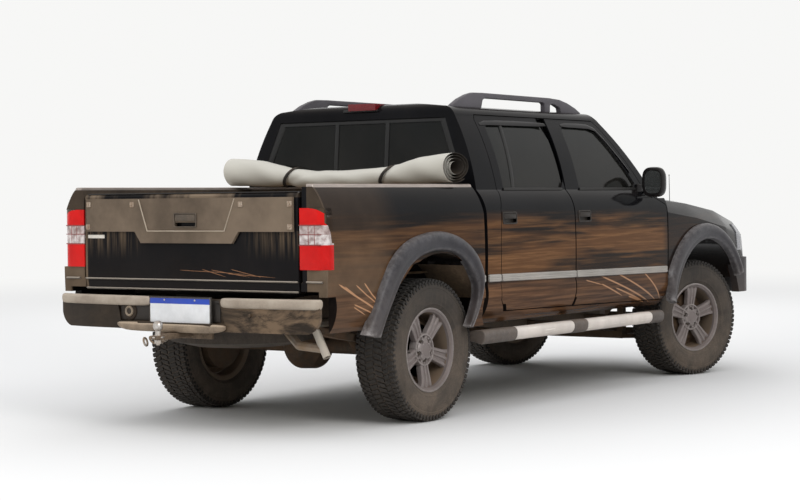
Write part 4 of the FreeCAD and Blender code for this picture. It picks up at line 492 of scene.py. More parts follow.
class Paints(Enum):
    """Finishes of the truck, each with its own name and material slot."""

    # Black paint; its marks paint the reflection of the ground and reflection rays on the sides
    # and gate.
    BODY = StripedPaint("body_black", "body_paint", (0.0035, 0.0035, 0.0042), rough=0.10,
                        specular=0.07, dust=0.14, dust_low=0.2, dust_high=1.1, dust_scale=2.2,
                        dust_top=0.3, streaks=0.05, dust_colour=(0.12, 0.074, 0.042),
                        second=(0.006, 0.006, 0.007), slow_scale=2.0)
    GATE_PANEL = Finish("gate_panel", "body_paint", (0.058, 0.043, 0.031), rough=0.48,
                        second=(0.165, 0.124, 0.088), slow_scale=1.9, dust_low=0.6, dust_high=1.5,
                        dust_scale=2.6, streaks=0.0, specular=0.1,
                        dust_colour=(0.17, 0.128, 0.092), grain=0.15)
    BEAD = Finish("gate_bead", "body_paint", (0.30, 0.245, 0.185), dust=0.2,
                  second=(0.38, 0.32, 0.25), slow_scale=9.0)
    FLARE = Finish("flare_grey", "flare_plastic", (0.014, 0.014, 0.019), rough=0.34, dust=0.18,
                   dust_low=0.2, dust_high=1.1, wear=1.0, wear_colour=(0.26, 0.25, 0.25),
                   grain=0.3, second=(0.034, 0.033, 0.039), slow_scale=9.0)
    BUMPER = RubbedPlastic("bumper_black", "bumper_plastic", (0.0075, 0.0065, 0.006), rough=0.34,
                           dust=0.10, dust_low=0.3, dust_high=0.9, dust_top=2.2, dust_scale=4.0,
                           streaks=0.05, wear=0.3, wear_colour=(0.14, 0.10, 0.07), grain=0.2,
                           specular=0.12, second=(0.018, 0.013, 0.009), slow_scale=3.0,
                           dust_colour=(0.125, 0.088, 0.058))
    PAD = Finish("step_pad", "bumper_plastic", (0.20, 0.160, 0.125), rough=0.6, dust=0.6,
                 second=(0.34, 0.29, 0.235), dust_low=0.3, dust_high=1.6, dust_top=0.8,
                 dust_scale=6.0, slow_scale=8.0, dust_colour=(0.34, 0.285, 0.225), grain=0.5,
                 grain_scale=500.0)
    LOW_STEP = Finish("low_step", "bumper_plastic", (0.075, 0.055, 0.040), rough=0.6, dust=0.5,
                      second=(0.20, 0.15, 0.105), dust_low=0.3, dust_top=1.6, dust_scale=7.0,
                      slow_scale=9.0, dust_colour=(0.32, 0.25, 0.18), grain=0.5, grain_scale=400.0)
    FRAME = Finish("frame_black", "frame_steel", (0.012, 0.011, 0.010), rough=0.6, dust=0.7,
                   dust_colour=(0.085, 0.058, 0.036), dust_low=0.1, dust_high=1.3, streaks=0.3,
                   grain=0.3, wear=0.5, wear_colour=(0.13, 0.075, 0.045))
    CAST = Finish("cast_metal", "cast_iron", (0.040, 0.035, 0.030), rough=0.65, metal=0.4,
                  dust_colour=(0.12, 0.082, 0.052), dust=0.8, dust_low=0.1, dust_high=1.4,
                  grain=0.8, grain_scale=420.0, second=(0.11, 0.062, 0.038), slow_scale=14.0)
    EXHAUST = Finish("exhaust_metal", "exhaust_steel", (0.33, 0.31, 0.28), rough=0.42, metal=0.9,
                     dust=0.7, dust_low=0.1, dust_high=1.3, grain=0.2, second=(0.24, 0.17, 0.11),
                     slow_scale=12.0)
    CHROME = Finish("ball_chrome", "tow_chrome", (0.6, 0.59, 0.57), rough=0.2, metal=1.0,
                    dust=0.35, dust_scale=20.0, grain=0.1, second=(0.42, 0.37, 0.32),
                    slow_scale=30.0)
    TINT = Finish("glass_tint", "tinted_glass", (0.003, 0.004, 0.004), rough=0.04, specular=0.14,
                  dust=0.03, dust_low=1.1, dust_high=1.9, alpha=0.97, slow_scale=1.5)
    TRIM = Finish("trim_grain", "trim_plastic", (0.018, 0.018, 0.019), rough=0.55, dust=0.12,
                  grain=0.6, grain_scale=700.0)
    RUBBER = Finish("seal_rubber", "trim_plastic", (0.008, 0.008, 0.008), rough=0.55, dust=0.08,
                    specular=0.35, grain=0.2, dust_high=1.7)
    MOULDING = Finish("side_moulding", "rail_grey", (0.30, 0.285, 0.265), rough=0.4, metal=0.1,
                      dust=0.35, grain=0.15, scuffs=0.5, dust_colour=(0.30, 0.24, 0.18))
    RAIL = Finish("roof_rail_grey", "rail_grey", (0.066, 0.061, 0.068), rough=0.45, dust=0.08,
                  dust_high=2.0, grain=0.2)
    BED_RAIL = Finish("bed_rail_metal", "bed_rail_alloy", (0.30, 0.26, 0.235), rough=0.4,
                      metal=0.3, dust=0.5, dust_high=1.5, grain=0.1, scuffs=0.5)
    STEP = Finish("step_metal", "step_alloy", (0.60, 0.55, 0.51), metal=0.1, dust=0.35,
                  dust_low=0.2, dust_high=0.9, scuffs=0.6, grain=0.25,
                  dust_colour=(0.40, 0.32, 0.24))
    STEP_CAP = Finish("step_cap", "flare_plastic", (0.055, 0.050, 0.050), dust_low=0.2,
                      dust_high=0.9, grain=0.5, wear=0.4, wear_colour=(0.3, 0.28, 0.26))
    WHEEL = Finish("wheel_silver", "wheel_alloy", (0.160, 0.136, 0.130), rough=0.42, metal=0.35,
                   dust=0.5, dust_low=-0.4, dust_high=1.3, dust_scale=7.0, wear=0.6,
                   wear_colour=(0.46, 0.43, 0.41), grain=0.15, dust_colour=(0.150, 0.118, 0.100))
    BARREL = Finish("wheel_barrel", "wheel_alloy", (0.16, 0.13, 0.10), metal=0.6, dust=0.6,
                    dust_low=-0.4, dust_high=1.6, dust_scale=9.0, dust_colour=(0.15, 0.09, 0.05))
    # Dark finish for the tow socket's lid, and painted shade for the wheels' nut wells.
    CAP = Finish("centre_cap", "wheel_alloy", (0.012, 0.011, 0.010), dust=0.2, dust_low=0.0,
                 grain=0.3)
    BRAKE = Finish("rusty_brake", "cast_iron", (0.030, 0.020, 0.015), rough=0.7, metal=0.3,
                   grain=0.7, grain_scale=400.0, second=(0.070, 0.040, 0.022), slow_scale=40.0)
    TYRE = Finish("tyre_rubber", "tyre", (0.019, 0.018, 0.017), rough=0.75, dust=1.1,
                  dust_low=-0.5, dust_scale=8.0, dust_top=0.1, dust_colour=(0.130, 0.100, 0.076),
                  grain=0.3, grain_scale=600.0)
    TREAD = Finish("tyre_tread", "tyre", (0.018, 0.017, 0.016), rough=0.8, dust=0.75,
                   dust_low=-0.5, dust_scale=16.0, dust_top=0.0, dust_colour=(0.070, 0.058, 0.049),
                   grain=0.5, grain_scale=500.0)
    TANK = Finish("tank_plastic", "tank_plastic", (0.02, 0.02, 0.02), rough=0.6, dust=0.8,
                  grain=0.4)
    RED = Finish("lamp_red", "tail_lens", (0.44, 0.004, 0.004), rough=0.2, specular=0.15,
                 dust=0.03, dust_high=1.5, second=(0.56, 0.008, 0.007), slow_scale=7.0)
    HIGH_RED = Finish("high_lamp_red", "tail_lens", (0.11, 0.004, 0.006), rough=0.2, coat=0.2,
                      specular=0.3, dust=0.05, dust_high=2.0)
    HEAD = Finish("head_clear", "head_lens", (0.22, 0.22, 0.24), rough=0.06, dust=0.12,
                  dust_high=1.4, alpha=0.72, slow_scale=5.0)
    REFLECTOR = Finish("lamp_bowl", "head_lens", (0.72, 0.72, 0.73), rough=0.12, metal=1.0,
                       dust=0.0, slow_scale=9.0)
    GRILLE = Finish("grille_gloss", "grille_plastic", (0.011, 0.011, 0.012), rough=0.25, coat=0.5,
                    dust=0.4)
    SEAT = Finish("seat_cloth", "seat_fabric", (0.045, 0.045, 0.05), rough=0.9, dust=0.1,
                  dust_high=2.0, grain=0.9, grain_scale=1400.0, second=(0.07, 0.07, 0.075),
                  slow_scale=60.0)
    VINYL = Finish("cover_vinyl", "cover_vinyl", (0.70, 0.70, 0.69), dust=0.18, dust_low=0.9,
                   dust_high=1.7, dust_scale=5.0, dust_top=0.1, streaks=0.0,
                   dust_colour=(0.52, 0.44, 0.34), grain=0.35, grain_scale=1100.0,
                   second=(0.74, 0.71, 0.66), slow_scale=4.0)
    VINYL_BACK = Finish("cover_back", "cover_vinyl", (0.018, 0.016, 0.014), rough=0.7, dust=0.15,
                        dust_low=0.9, dust_high=1.9, grain=0.4)
    STRAP = Finish("cover_strap", "trim_plastic", (0.012, 0.012, 0.012), rough=0.75, dust=0.25,
                   dust_high=1.8, grain=0.8, grain_scale=1200.0)
    PLATE = Finish("plate_white", "head_lens", (0.60, 0.61, 0.62), rough=0.35, dust=0.22,
                   dust_scale=12.0, grain=0.1)
    PLATE_BAND = Finish("plate_blue", "head_lens", (0.012, 0.05, 0.33), rough=0.35, dust=0.15,
                        grain=0.1)
    SCREW = Finish("gate_screw", "body_paint", (0.36, 0.30, 0.24), rough=0.45, metal=0.2,
                   second=(0.22, 0.15, 0.10), slow_scale=60.0, dust_low=0.6, dust_high=1.5,
                   dust_scale=20.0, dust_colour=(0.26, 0.20, 0.14))
    FLAP = Finish("gate_flap", "trim_plastic", (0.030, 0.026, 0.022), dust=0.8, dust_low=0.6,
                  dust_high=1.6, dust_scale=9.0, dust_colour=(0.16, 0.12, 0.085), grain=0.3)
    STRIP = Finish("reflective_strip", "trim_plastic", (0.50, 0.47, 0.42), rough=0.35, dust=0.5,
                   dust_high=1.5, dust_scale=14.0, dust_colour=(0.30, 0.24, 0.17))
    # Light dust on the ledges' tops: real dust, and a painted highlight along the ledges.
    LEDGE = Finish("gate_ledge", "body_paint", (0.045, 0.038, 0.033), rough=0.3, coat=0.6,
                   dust=0.9, dust_low=0.4, dust_high=1.3, dust_top=1.6, dust_scale=9.0,
                   dust_colour=(0.25, 0.215, 0.175))
    CLEAR_BAND = Finish("lamp_white_band", "tail_lens", (0.20, 0.13, 0.12), rough=0.16, coat=0.6,
                        dust=0.1, dust_high=1.5, second=(0.50, 0.42, 0.40), slow_scale=34.0)
    BULB_BAND = Finish("lamp_bulb_band", "tail_lens", (0.24, 0.17, 0.16), rough=0.16, coat=0.6,
                       dust=0.1, dust_high=1.5, second=(0.62, 0.57, 0.55), slow_scale=40.0)
    LAMP_BAR = Finish("lamp_bar", "tail_lens", (0.16, 0.012, 0.010), rough=0.2, coat=1.0, dust=0.1,
                      dust_high=1.5)
    SOCKET = Finish("socket_grey", "bumper_plastic", (0.11, 0.095, 0.078), dust=0.8, dust_low=0.3,
                    dust_scale=22.0, dust_colour=(0.30, 0.23, 0.16), grain=0.3)
    HITCH = Finish("hitch_black", "tow_chrome", (0.014, 0.012, 0.011), dust=0.45, dust_high=0.8,
                   dust_scale=14.0, wear=0.8, wear_colour=(0.24, 0.17, 0.11), grain=0.4)
    HITCH_BRIGHT = Finish("hitch_bright", "tow_chrome", (0.45, 0.42, 0.38), rough=0.35, metal=0.9,
                          dust=0.5, dust_high=1.0, dust_scale=24.0, second=(0.28, 0.20, 0.13),
                          slow_scale=40.0)
    TIP = Finish("tail_pipe", "exhaust_steel", (0.36, 0.33, 0.29), metal=0.3, dust=0.4,
                 dust_high=1.0, dust_scale=14.0, dust_colour=(0.34, 0.27, 0.19), grain=0.2)
    PLATE_EDGE = Finish("plate_edge", "head_lens", (0.035, 0.035, 0.035), rough=0.4)
    HANDLE = Finish("handle_black", "trim_plastic", (0.010, 0.008, 0.007), rough=0.4, specular=0.2,
                    dust=0.10, dust_high=1.6, wear=0.3, wear_colour=(0.07, 0.06, 0.05))
    DEFLECTOR = Finish("deflector_smoke", "trim_plastic", (0.004, 0.004, 0.005), rough=0.3,
                       specular=0.15, dust=0.03, dust_low=1.0, dust_high=2.2)
    MIRROR = Finish("mirror_black", "trim_plastic", (0.005, 0.005, 0.006), rough=0.25,
                    specular=0.25, dust=0.06, dust_low=0.6, dust_high=1.9, grain=0.1)
    MIRROR_GLASS = Finish("mirror_silver", "tinted_glass", (0.30, 0.32, 0.32), rough=0.04,
                          metal=1.0, dust=0.1, dust_low=1.0, dust_high=2.0)
    FRONT_BUMPER = Finish("front_bumper_grey", "bumper_plastic", (0.014, 0.013, 0.016), rough=0.40,
                          dust=0.15, dust_low=0.3, dust_high=1.0, grain=0.3)
    BED_LINER = Finish("bed_liner", "body_paint", (0.014, 0.013, 0.012), rough=0.6, dust=0.9,
                       dust_low=0.5, dust_high=1.5, dust_top=0.7, grain=0.6, grain_scale=350.0)

    @property
    def material(self) -> bpy.types.Material:
        """The finish's material."""
        return self.value.shade()


# Modelling bench

class Bench:
    """Modelling steps made with Blender's own operators."""

    @staticmethod
    def clear() -> None:
        """Leave edit mode and deselect everything."""
        if bpy.context.object and bpy.context.object.mode != "OBJECT":
            bpy.ops.object.mode_set(mode="OBJECT")
        bpy.ops.object.select_all(action="DESELECT")

    @staticmethod
    def edit() -> None:
        """Open the active piece in edit mode with all of it selected."""
        bpy.ops.object.mode_set(mode="EDIT")
        bpy.ops.mesh.select_all(action="SELECT")

    @staticmethod
    def close() -> None:
        """Leave edit mode."""
        bpy.ops.object.mode_set(mode="OBJECT")

    @classmethod
    def outward(cls) -> None:
        """Turn all faces outwards and leave edit mode."""
        bpy.ops.mesh.select_all(action="SELECT")
        bpy.ops.mesh.normals_make_consistent(inside=False)
        cls.close()

    @classmethod
    def take(cls, piece: Piece) -> Piece:
        """Make one piece the only one selected, and active."""
        cls.clear()
        piece.select_set(True)
        bpy.context.view_layer.objects.active = piece
        return piece

    @classmethod
    def settle(cls, piece: Piece) -> Piece:
        """Move a piece's place, turn and scale into its mesh."""
        cls.take(piece)
        bpy.ops.object.transform_apply(location=True, rotation=True, scale=True)
        return piece

    @classmethod
    def added(cls, name: str, scale: Sequence[float] = (1, 1, 1)) -> Piece:
        """Name, scale and settle the piece that an operator has just added."""
        piece = bpy.context.object
        piece.name = name
        piece.scale = scale
        return cls.settle(piece)

    @classmethod
    def box(cls, name: str, low: Point, high: Point) -> Piece:
        """Block between two corners."""
        cls.clear()
        middle = [(a + b) / 2 for a, b in zip(low, high)]
        bpy.ops.mesh.primitive_cube_add(size=1.0, location=middle)
        return cls.added(name, [abs(b - a) for a, b in zip(low, high)])

    @classmethod
    def rod(cls, name: str, start: Point, end: Point, radius: float, sides: int = 32,
            end_radius: float | None = None) -> Piece:
        """Round or tapered bar between two points."""
        cls.clear()
        a, b = Vector(start), Vector(end)
        turn = (b - a).to_track_quat("Z", "Y").to_euler()
        bpy.ops.mesh.primitive_cone_add(vertices=sides, radius1=radius,
                                        radius2=radius if end_radius is None else end_radius,
                                        depth=(b - a).length, location=(a + b) / 2, rotation=turn)
        return cls.added(name)

    @classmethod
    def ball(cls, name: str, centre: Point, radius: float, scale: Point = (1, 1, 1),
             rings: int = 16) -> Piece:
        """Ball, or an egg when scaled."""
        cls.clear()
        bpy.ops.mesh.primitive_uv_sphere_add(segments=2 * rings, ring_count=rings, radius=radius,
                                             location=centre)
        return cls.added(name, scale)

    @classmethod
    def ring(cls, name: str, centre: Point, major: float, minor: float,
             turn: Point = (0.0, 0.0, 0.0), around: int = 48, across: int = 12
             ) -> Piece:
        """Ring about its own Z, turned into place."""
        cls.clear()
        bpy.ops.mesh.primitive_torus_add(location=centre, rotation=turn, major_radius=major,
                                         minor_radius=minor, major_segments=around,
                                         minor_segments=across)
        return cls.added(name)

    @classmethod
    def line(cls, name: str, points: Sequence[Point], closed: bool = True) -> Piece:
        """Draw an outline as a poly curve and turn it into edges."""
        cls.clear()
        curve = bpy.data.curves.new(name, "CURVE")
        curve.dimensions = "3D"
        spline = curve.splines.new("POLY")
        spline.points.add(len(points) - 1)
        for target, point in zip(spline.points, points):
            target.co = (*point, 1.0)
        spline.use_cyclic_u = closed
        piece = bpy.data.objects.new(name, curve)
        bpy.context.scene.collection.objects.link(piece)
        cls.take(piece)
        bpy.ops.object.convert(target="MESH")
        return bpy.context.object

    @classmethod
    def prism(cls, name: str, points: Sequence[Point], push: Point) -> Piece:
        """Flat outline filled and pushed out into a solid."""
        piece = cls.line(name, points)
        cls.edit()
        bpy.ops.mesh.edge_face_add()
        bpy.ops.mesh.extrude_region_move(TRANSFORM_OT_translate={"value": push})
        cls.outward()
        return piece

    @classmethod
    def side_prism(cls, name: str, points: Sequence[Pair], y_from: float, y_to: float) -> Piece:
        """Solid with a side-view outline between two widths."""
        return cls.prism(name, [(x, y_from, z) for x, z in points], (0.0, y_to - y_from, 0.0))

    @classmethod
    def cross_prism(cls, name: str, points: Sequence[Pair], x_from: float, x_to: float) -> Piece:
        """Solid with a cross-section outline between two stations."""
        return cls.prism(name, [(x_from, y, z) for y, z in points], (x_to - x_from, 0.0, 0.0))

    @classmethod
    def loft(cls, name: str, sections: Sequence[Sequence[Point]]) -> Piece:
        """Bridge a row of outlines with equal counts of points, and cap both ends."""
        piece = cls.take(cls.join([cls.line(name, points) for points in sections], name))
        cls.edit()
        bpy.ops.mesh.bridge_edge_loops()
        cls.close()
        count = len(sections[0])
        for start in (0, count * (len(sections) - 1)):
            cls.pick(piece, "VERT", lambda v: start <= v.index < start + count)
            bpy.ops.mesh.edge_face_add()
            cls.close()
        cls.edit()
        cls.outward()
        return piece

    @classmethod
    def pick(cls, piece: Piece, kind: str, test: Callable) -> None:
        """Open a piece in edit mode with the elements selected that pass a test."""
        cls.take(piece)
        bpy.ops.object.mode_set(mode="EDIT")
        bpy.ops.mesh.select_mode(type=kind)
        bpy.ops.mesh.select_all(action="DESELECT")
        cls.close()
        mesh = piece.data
        items = {"VERT": mesh.vertices, "EDGE": mesh.edges, "FACE": mesh.polygons}[kind]
        for item in items:
            item.select = bool(test(item))
        bpy.ops.object.mode_set(mode="EDIT")

    @classmethod
    def join(cls, pieces: Sequence[Piece], name: str) -> Piece:
        """Join pieces into one object."""
        cls.clear()
        for piece in pieces:
            piece.select_set(True)
        bpy.context.view_layer.objects.active = pieces[0]
        if len(pieces) > 1:
            bpy.ops.object.join()
        pieces[0].name = name
        return pieces[0]

    @classmethod
    def modify(cls, piece: Piece, kind: str, **settings) -> Piece:
        """Add a modifier and apply it at once."""
        cls.take(piece)
        made = piece.modifiers.new(kind.lower(), kind)
        for key, value in settings.items():
            setattr(made, key, value)
        bpy.ops.object.modifier_apply(modifier=made.name)
        return piece

    @classmethod
    def cut(cls, piece: Piece, tool: Piece, operation: str = "DIFFERENCE",
            keep: bool = False) -> Piece:
        """Boolean of a piece with a tool, which is removed afterwards."""
        cls.modify(piece, "BOOLEAN", operation=operation, object=tool, solver="EXACT")
        if not keep:
            cls.drop(tool)
        return piece

    @staticmethod
    def drop(piece: Piece) -> None:
        """Remove a piece that was only a tool."""
        bpy.data.objects.remove(piece, do_unlink=True)

    @classmethod
    def copy(cls, piece: Piece, name: str) -> Piece:
        """Copy a piece with its own mesh."""
        made = piece.copy()
        made.data = piece.data.copy()
        made.name = name
        made.parent = None
        for key in list(made.keys()):
            if key.startswith("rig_"):
                del made[key]
        made.hide_render = False
        made.hide_viewport = False
        bpy.context.scene.collection.objects.link(made)
        return made

    @classmethod
    def from_node(cls, node: str, name: str) -> Piece:
        """Copy of a frame node with its loose triangles merged and flat faces joined."""
        piece = cls.copy(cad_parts[node], name)
        piece.data.transform(Matrix.Translation((ORIGIN_X, 0.0, 0.0)))
        piece.data.materials.clear()
        cls.take(piece)
        cls.edit()
        bpy.ops.mesh.remove_doubles(threshold=2 * MERGE)
        bpy.ops.mesh.dissolve_limited(angle_limit=math.radians(0.5))
        cls.close()
        return piece

    @classmethod
    def mirrored(cls, piece: Piece, name: str) -> Piece:
        """Mirror image of a piece across the truck's middle."""
        made = cls.copy(piece, name)
        made.data.transform(Matrix.Scale(-1.0, 4, (0.0, 1.0, 0.0)))
        made.data.flip_normals()
        return made

    @classmethod
    def bevel(cls, piece: Piece, width: float, segments: int = 2, angle: float = 30.0) -> Piece:
        """Round the edges sharper than an angle in degrees."""
        return cls.modify(piece, "BEVEL", width=width, segments=segments, limit_method="ANGLE",
                          angle_limit=math.radians(angle), use_clamp_overlap=True,
                          harden_normals=False, miter_outer="MITER_ARC")

    @classmethod
    def smooth(cls, piece: Piece, angle: float = 30.0) -> Piece:
        """Shade smooth with edges left crisp above an angle."""
        cls.take(piece)
        bpy.ops.object.shade_smooth_by_angle(angle=math.radians(angle))
        return piece

    @classmethod
    def even(cls, piece: Piece, angle: float = 35.0) -> Piece:
        """Shade smooth with normals led by the large faces."""
        cls.smooth(piece, angle)
        return cls.modify(piece, "WEIGHTED_NORMAL", keep_sharp=True, weight=60)

    @classmethod
    def skin(cls, name: str, rows: Sequence[Sequence[Point]], wrap: bool = False,
             caps: bool = False) -> Piece:
        """Grid whose vertices are moved to rows of points.

        Args:
            name: Name of the new piece.
            rows: Rows with equal counts of points.
            wrap: Whether the last point of each row meets the first.
            caps: Whether the first and last rows are filled.

        Returns:
            The new piece, with its faces pointing outwards.
        """
        cls.clear()
        lines = [list(row) + ([row[0]] if wrap else []) for row in rows]
        across, along = len(lines[0]), len(lines)
        bpy.ops.mesh.primitive_grid_add(x_subdivisions=across - 1, y_subdivisions=along - 1,
                                        size=1.0, location=(0, 0, 0))
        piece = bpy.context.object
        piece.name = name
        if len(piece.data.vertices) != across * along:
            raise ValueError("%s: the grid has another size" % name)
        for vertex, point in zip(piece.data.vertices, (p for line in lines for p in line)):
            vertex.co = point
        bpy.ops.object.mode_set(mode="EDIT")
        bpy.ops.mesh.select_mode(type="VERT")
        bpy.ops.mesh.select_all(action="SELECT")
        bpy.ops.mesh.remove_doubles(threshold=MERGE)
        if caps:
            bpy.ops.mesh.select_all(action="DESELECT")
            bpy.ops.mesh.select_non_manifold()
            bpy.ops.mesh.fill_holes(sides=0)
        cls.outward()
        return piece

    @classmethod
    def turned_copies(cls, piece: Piece, count: int) -> Piece:
        """Repeat a piece round the Y axis, all copies in one mesh."""
        cls.take(piece)
        cls.edit()
        bpy.ops.mesh.spin(steps=count - 1, dupli=True, angle=2 * math.pi * (count - 1) / count,
                          center=(0, 0, 0), axis=(0, 1, 0))
        cls.close()
        return piece

    @classmethod
    def spun(cls, name: str, profile: Sequence[Pair], steps: int = 96,
             closed: bool = True) -> Piece:
        """Turn a profile of (along Y, radius) points about the Y axis."""
        piece = cls.line(name, [(radius, along, 0.0) for along, radius in profile], closed)
        cls.edit()
        bpy.ops.mesh.spin(steps=steps, angle=2 * math.pi, center=(0, 0, 0), axis=(0, 1, 0))
        bpy.ops.mesh.select_all(action="SELECT")
        bpy.ops.mesh.remove_doubles(threshold=MERGE)
        cls.outward()
        return piece


def dress(piece: Piece, finish: Paints, body: str = "root",
          nodes: Iterable[str] = (), angle: float = 30.0) -> Piece:
    """Give a finished piece its shading, finish, body and the nodes it stands for.

    Args:
        piece: The finished piece.
        finish: Its finish, unless the mesh already carries materials.
        body: Name of the body it rides on.
        nodes: Frame nodes that it replaces.
        angle: Edges sharper than this stay crisp.

    Returns:
        The same piece.
    """
    piece.location.x -= ORIGIN_X
    Bench.settle(piece)
    Bench.smooth(piece, angle)
    if not any(piece.data.materials):
        paint(piece, finish)
    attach(piece, body)
    if nodes:
        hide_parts(*nodes)
    log.info("%s on %s, %d faces", piece.name, body, len(piece.data.polygons))
    return piece


def arc(centre: Pair, radius: float, start: float, end: float, count: int) -> list[Pair]:
    """Points on an arc between two angles in degrees."""
    return [(centre[0] + radius * math.cos(math.radians(start + (end - start) * i / count)),
             centre[1] + radius * math.sin(math.radians(start + (end - start) * i / count)))
            for i in range(count + 1)]


def through(a: Pair, b: Pair, c: Pair, count: int = 8) -> list[Pair]:
    """Points on the circle arc from a through b to c, without a itself."""
    (ax, ay), (bx, by), (cx, cy) = a, b, c
    d = 2 * (ax * (by - cy) + bx * (cy - ay) + cx * (ay - by))
    if abs(d) < 1e-12:
        return [(ax + (cx - ax) * i / count, ay + (cy - ay) * i / count)
                for i in range(1, count + 1)]
    ux = ((ax * ax + ay * ay) * (by - cy) + (bx * bx + by * by) * (cy - ay)
          + (cx * cx + cy * cy) * (ay - by)) / d
    uy = ((ax * ax + ay * ay) * (cx - bx) + (bx * bx + by * by) * (ax - cx)
          + (cx * cx + cy * cy) * (bx - ax)) / d
    radius = math.hypot(ax - ux, ay - uy)
    start = math.atan2(ay - uy, ax - ux)
    middle = (math.atan2(by - uy, bx - ux) - start) % (2 * math.pi)
    turn = (math.atan2(cy - uy, cx - ux) - start) % (2 * math.pi)
    if middle > turn:
        turn -= 2 * math.pi
    return [(ux + radius * math.cos(start + turn * i / count),
             uy + radius * math.sin(start + turn * i / count)) for i in range(1, count + 1)]


def flowing(points: Sequence[Pair], steps: int = 4) -> list[Pair]:
    """Smooth curve through a row of points, with equal steps between them."""
    ends = [points[0]] + list(points) + [points[-1]]
    curve = []
    for a, b, c, d in zip(ends, ends[1:], ends[2:], ends[3:]):
        for i in range(steps):
            t = i / steps
            curve.append(tuple(0.5 * (2 * q + (r - p) * t + (2 * p - 5 * q + 4 * r - s) * t * t
                                      + (3 * q - p - 3 * r + s) * t ** 3)
                               for p, q, r, s in zip(a, b, c, d)))
    return curve + [tuple(points[-1])]


class Surface:
    """Outer surfaces of frame nodes, found by rays."""

    trees: dict[str, BVHTree] = {}

    @classmethod
    def tree(cls, node: str) -> BVHTree:
        """Search tree over one node's triangles."""
        if node not in cls.trees:
            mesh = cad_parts[node].data
            cls.trees[node] = BVHTree.FromPolygons([v.co for v in mesh.vertices],
                                                   [p.vertices for p in mesh.polygons])
        return cls.trees[node]

    @classmethod
    def beside(cls, node: str, x: float, z: float, fallback: float = -0.86) -> float:
        """Y of a node's right side at a point of its side view."""
        hit = cls.tree(node).ray_cast(Vector((x - ORIGIN_X, -1.6, z)), Vector((0, 1, 0)))
        return hit[0].y if hit[0] else fallback

    @classmethod
    def above(cls, node: str, x: float, y: float, fallback: float = 1.2) -> float:
        """Height of a node's top at a point of its plan."""
        hit = cls.tree(node).ray_cast(Vector((x - ORIGIN_X, y, 2.4)), Vector((0, 0, -1)))
        return hit[0].z if hit[0] else fallback

    @classmethod
    def behind(cls, node: str, y: float, z: float, fallback: float = -1.0) -> float:
        """X of a node's rear face at a point of its rear view."""
        hit = cls.tree(node).ray_cast(Vector((-4.0, y, z)), Vector((1, 0, 0)))
        return hit[0].x + ORIGIN_X if hit[0] else fallback


def sweep(name: str, path: Sequence[Point], outward: Sequence[Point],
          section: Sequence[Pair], scales: Sequence[float] | None = None) -> Piece:
    """Section of (out, up) points carried along a path.

    Args:
        name: Name of the new piece.
        path: Points that the section's origin follows.
        outward: Direction of the section's first axis at each point.
        section: Closed outline.
        scales: Size of the section at each point.

    Returns:
        The new piece, with its ends capped.
    """
    rows = []
    up = Vector((0.0, 0.0, 1.0))
    for index, (point, out) in enumerate(zip(path, outward)):
        o, p = Vector(out).normalized(), Vector(point)
        grow = scales[index] if scales else 1.0
        rows.append([tuple(p + grow * (a * o + b * up)) for a, b in section])
    return Bench.skin(name, rows, wrap=True, caps=True)


def tube(name: str, points: Sequence[Point], radius: float, sides: int = 12) -> Piece:
    """Round bar along a path of points.

    Args:
        name: Name of the new piece.
        points: Centre line.
        radius: Radius of the bar.
        sides: Faces round the bar.

    Returns:
        The new piece.
    """
    rows = []
    side = None
    for index, point in enumerate(points):
        before = Vector(points[max(index - 1, 0)])
        after = Vector(points[min(index + 1, len(points) - 1)])
        ahead = (after - before).normalized()
        if side is None:
            side = ahead.orthogonal().normalized()
        side = (side - ahead * side.dot(ahead)).normalized()
        other = ahead.cross(side)
        rows.append([tuple(Vector(point) + radius * (math.cos(t) * side + math.sin(t) * other))
                     for t in (2 * math.pi * k / sides for k in range(sides))])
    return Bench.skin(name, rows, wrap=True, caps=True)


def both(piece: Piece, name: str, finish: Paints, body: str = "root",
         nodes: Sequence[str] = (), angle: float = 30.0) -> None:
    """Dress a piece of the right side and its mirror image on the left.

    Args:
        piece: The finished piece of the right side.
        name: Name that both sides share.
        finish: Its finish.
        body: Body name, in which {side} stands for the side.
        nodes: Frame nodes that the right piece replaces.
        angle: Edges sharper than this stay crisp.
    """
    twin = Bench.mirrored(piece, name + "_left")
    piece.name = name + "_right"
    dress(piece, finish, body.format(side="right"), nodes, angle)
    dress(twin, finish, body.format(side="left"), (), angle)


def rounded(half_wide: float, half_high: float, radius: float, steps: int = 4,
            at: Pair = (0.0, 0.0)) -> list[Pair]:
    """Outline of a rectangle with round corners, about its middle."""
    points = []
    for sx, sy, start in ((1, 1, 0), (-1, 1, 90), (-1, -1, 180), (1, -1, 270)):
        points += arc((sx * (half_wide - radius), sy * (half_high - radius)), radius, start,
                      start + 90, steps)
    return [(at[0] + x, at[1] + y) for x, y in points]


def soft_oval(count: int = 40, power: float = 0.62) -> list[Pair]:
    """Unit outline that lies between an oval and a rectangle."""
    return [tuple(math.copysign(abs(part) ** power, part) for part in (math.cos(t), math.sin(t)))
            for t in (2 * math.pi * k / count for k in range(count))]


def moved(piece: Piece, to: Point, degrees: float, about: str) -> Piece:
    """Turn a piece about an axis through the origin, and move it."""
    piece.data.transform(Matrix.Translation(to) @ Matrix.Rotation(math.radians(degrees), 4, about))
    return piece


def paint(piece: Piece, *finishes: Paints) -> Piece:
    """Give a piece its finishes, one material slot for each."""
    piece.data.materials.clear()
    for finish in finishes:
        piece.data.materials.append(finish.material)
    return piece


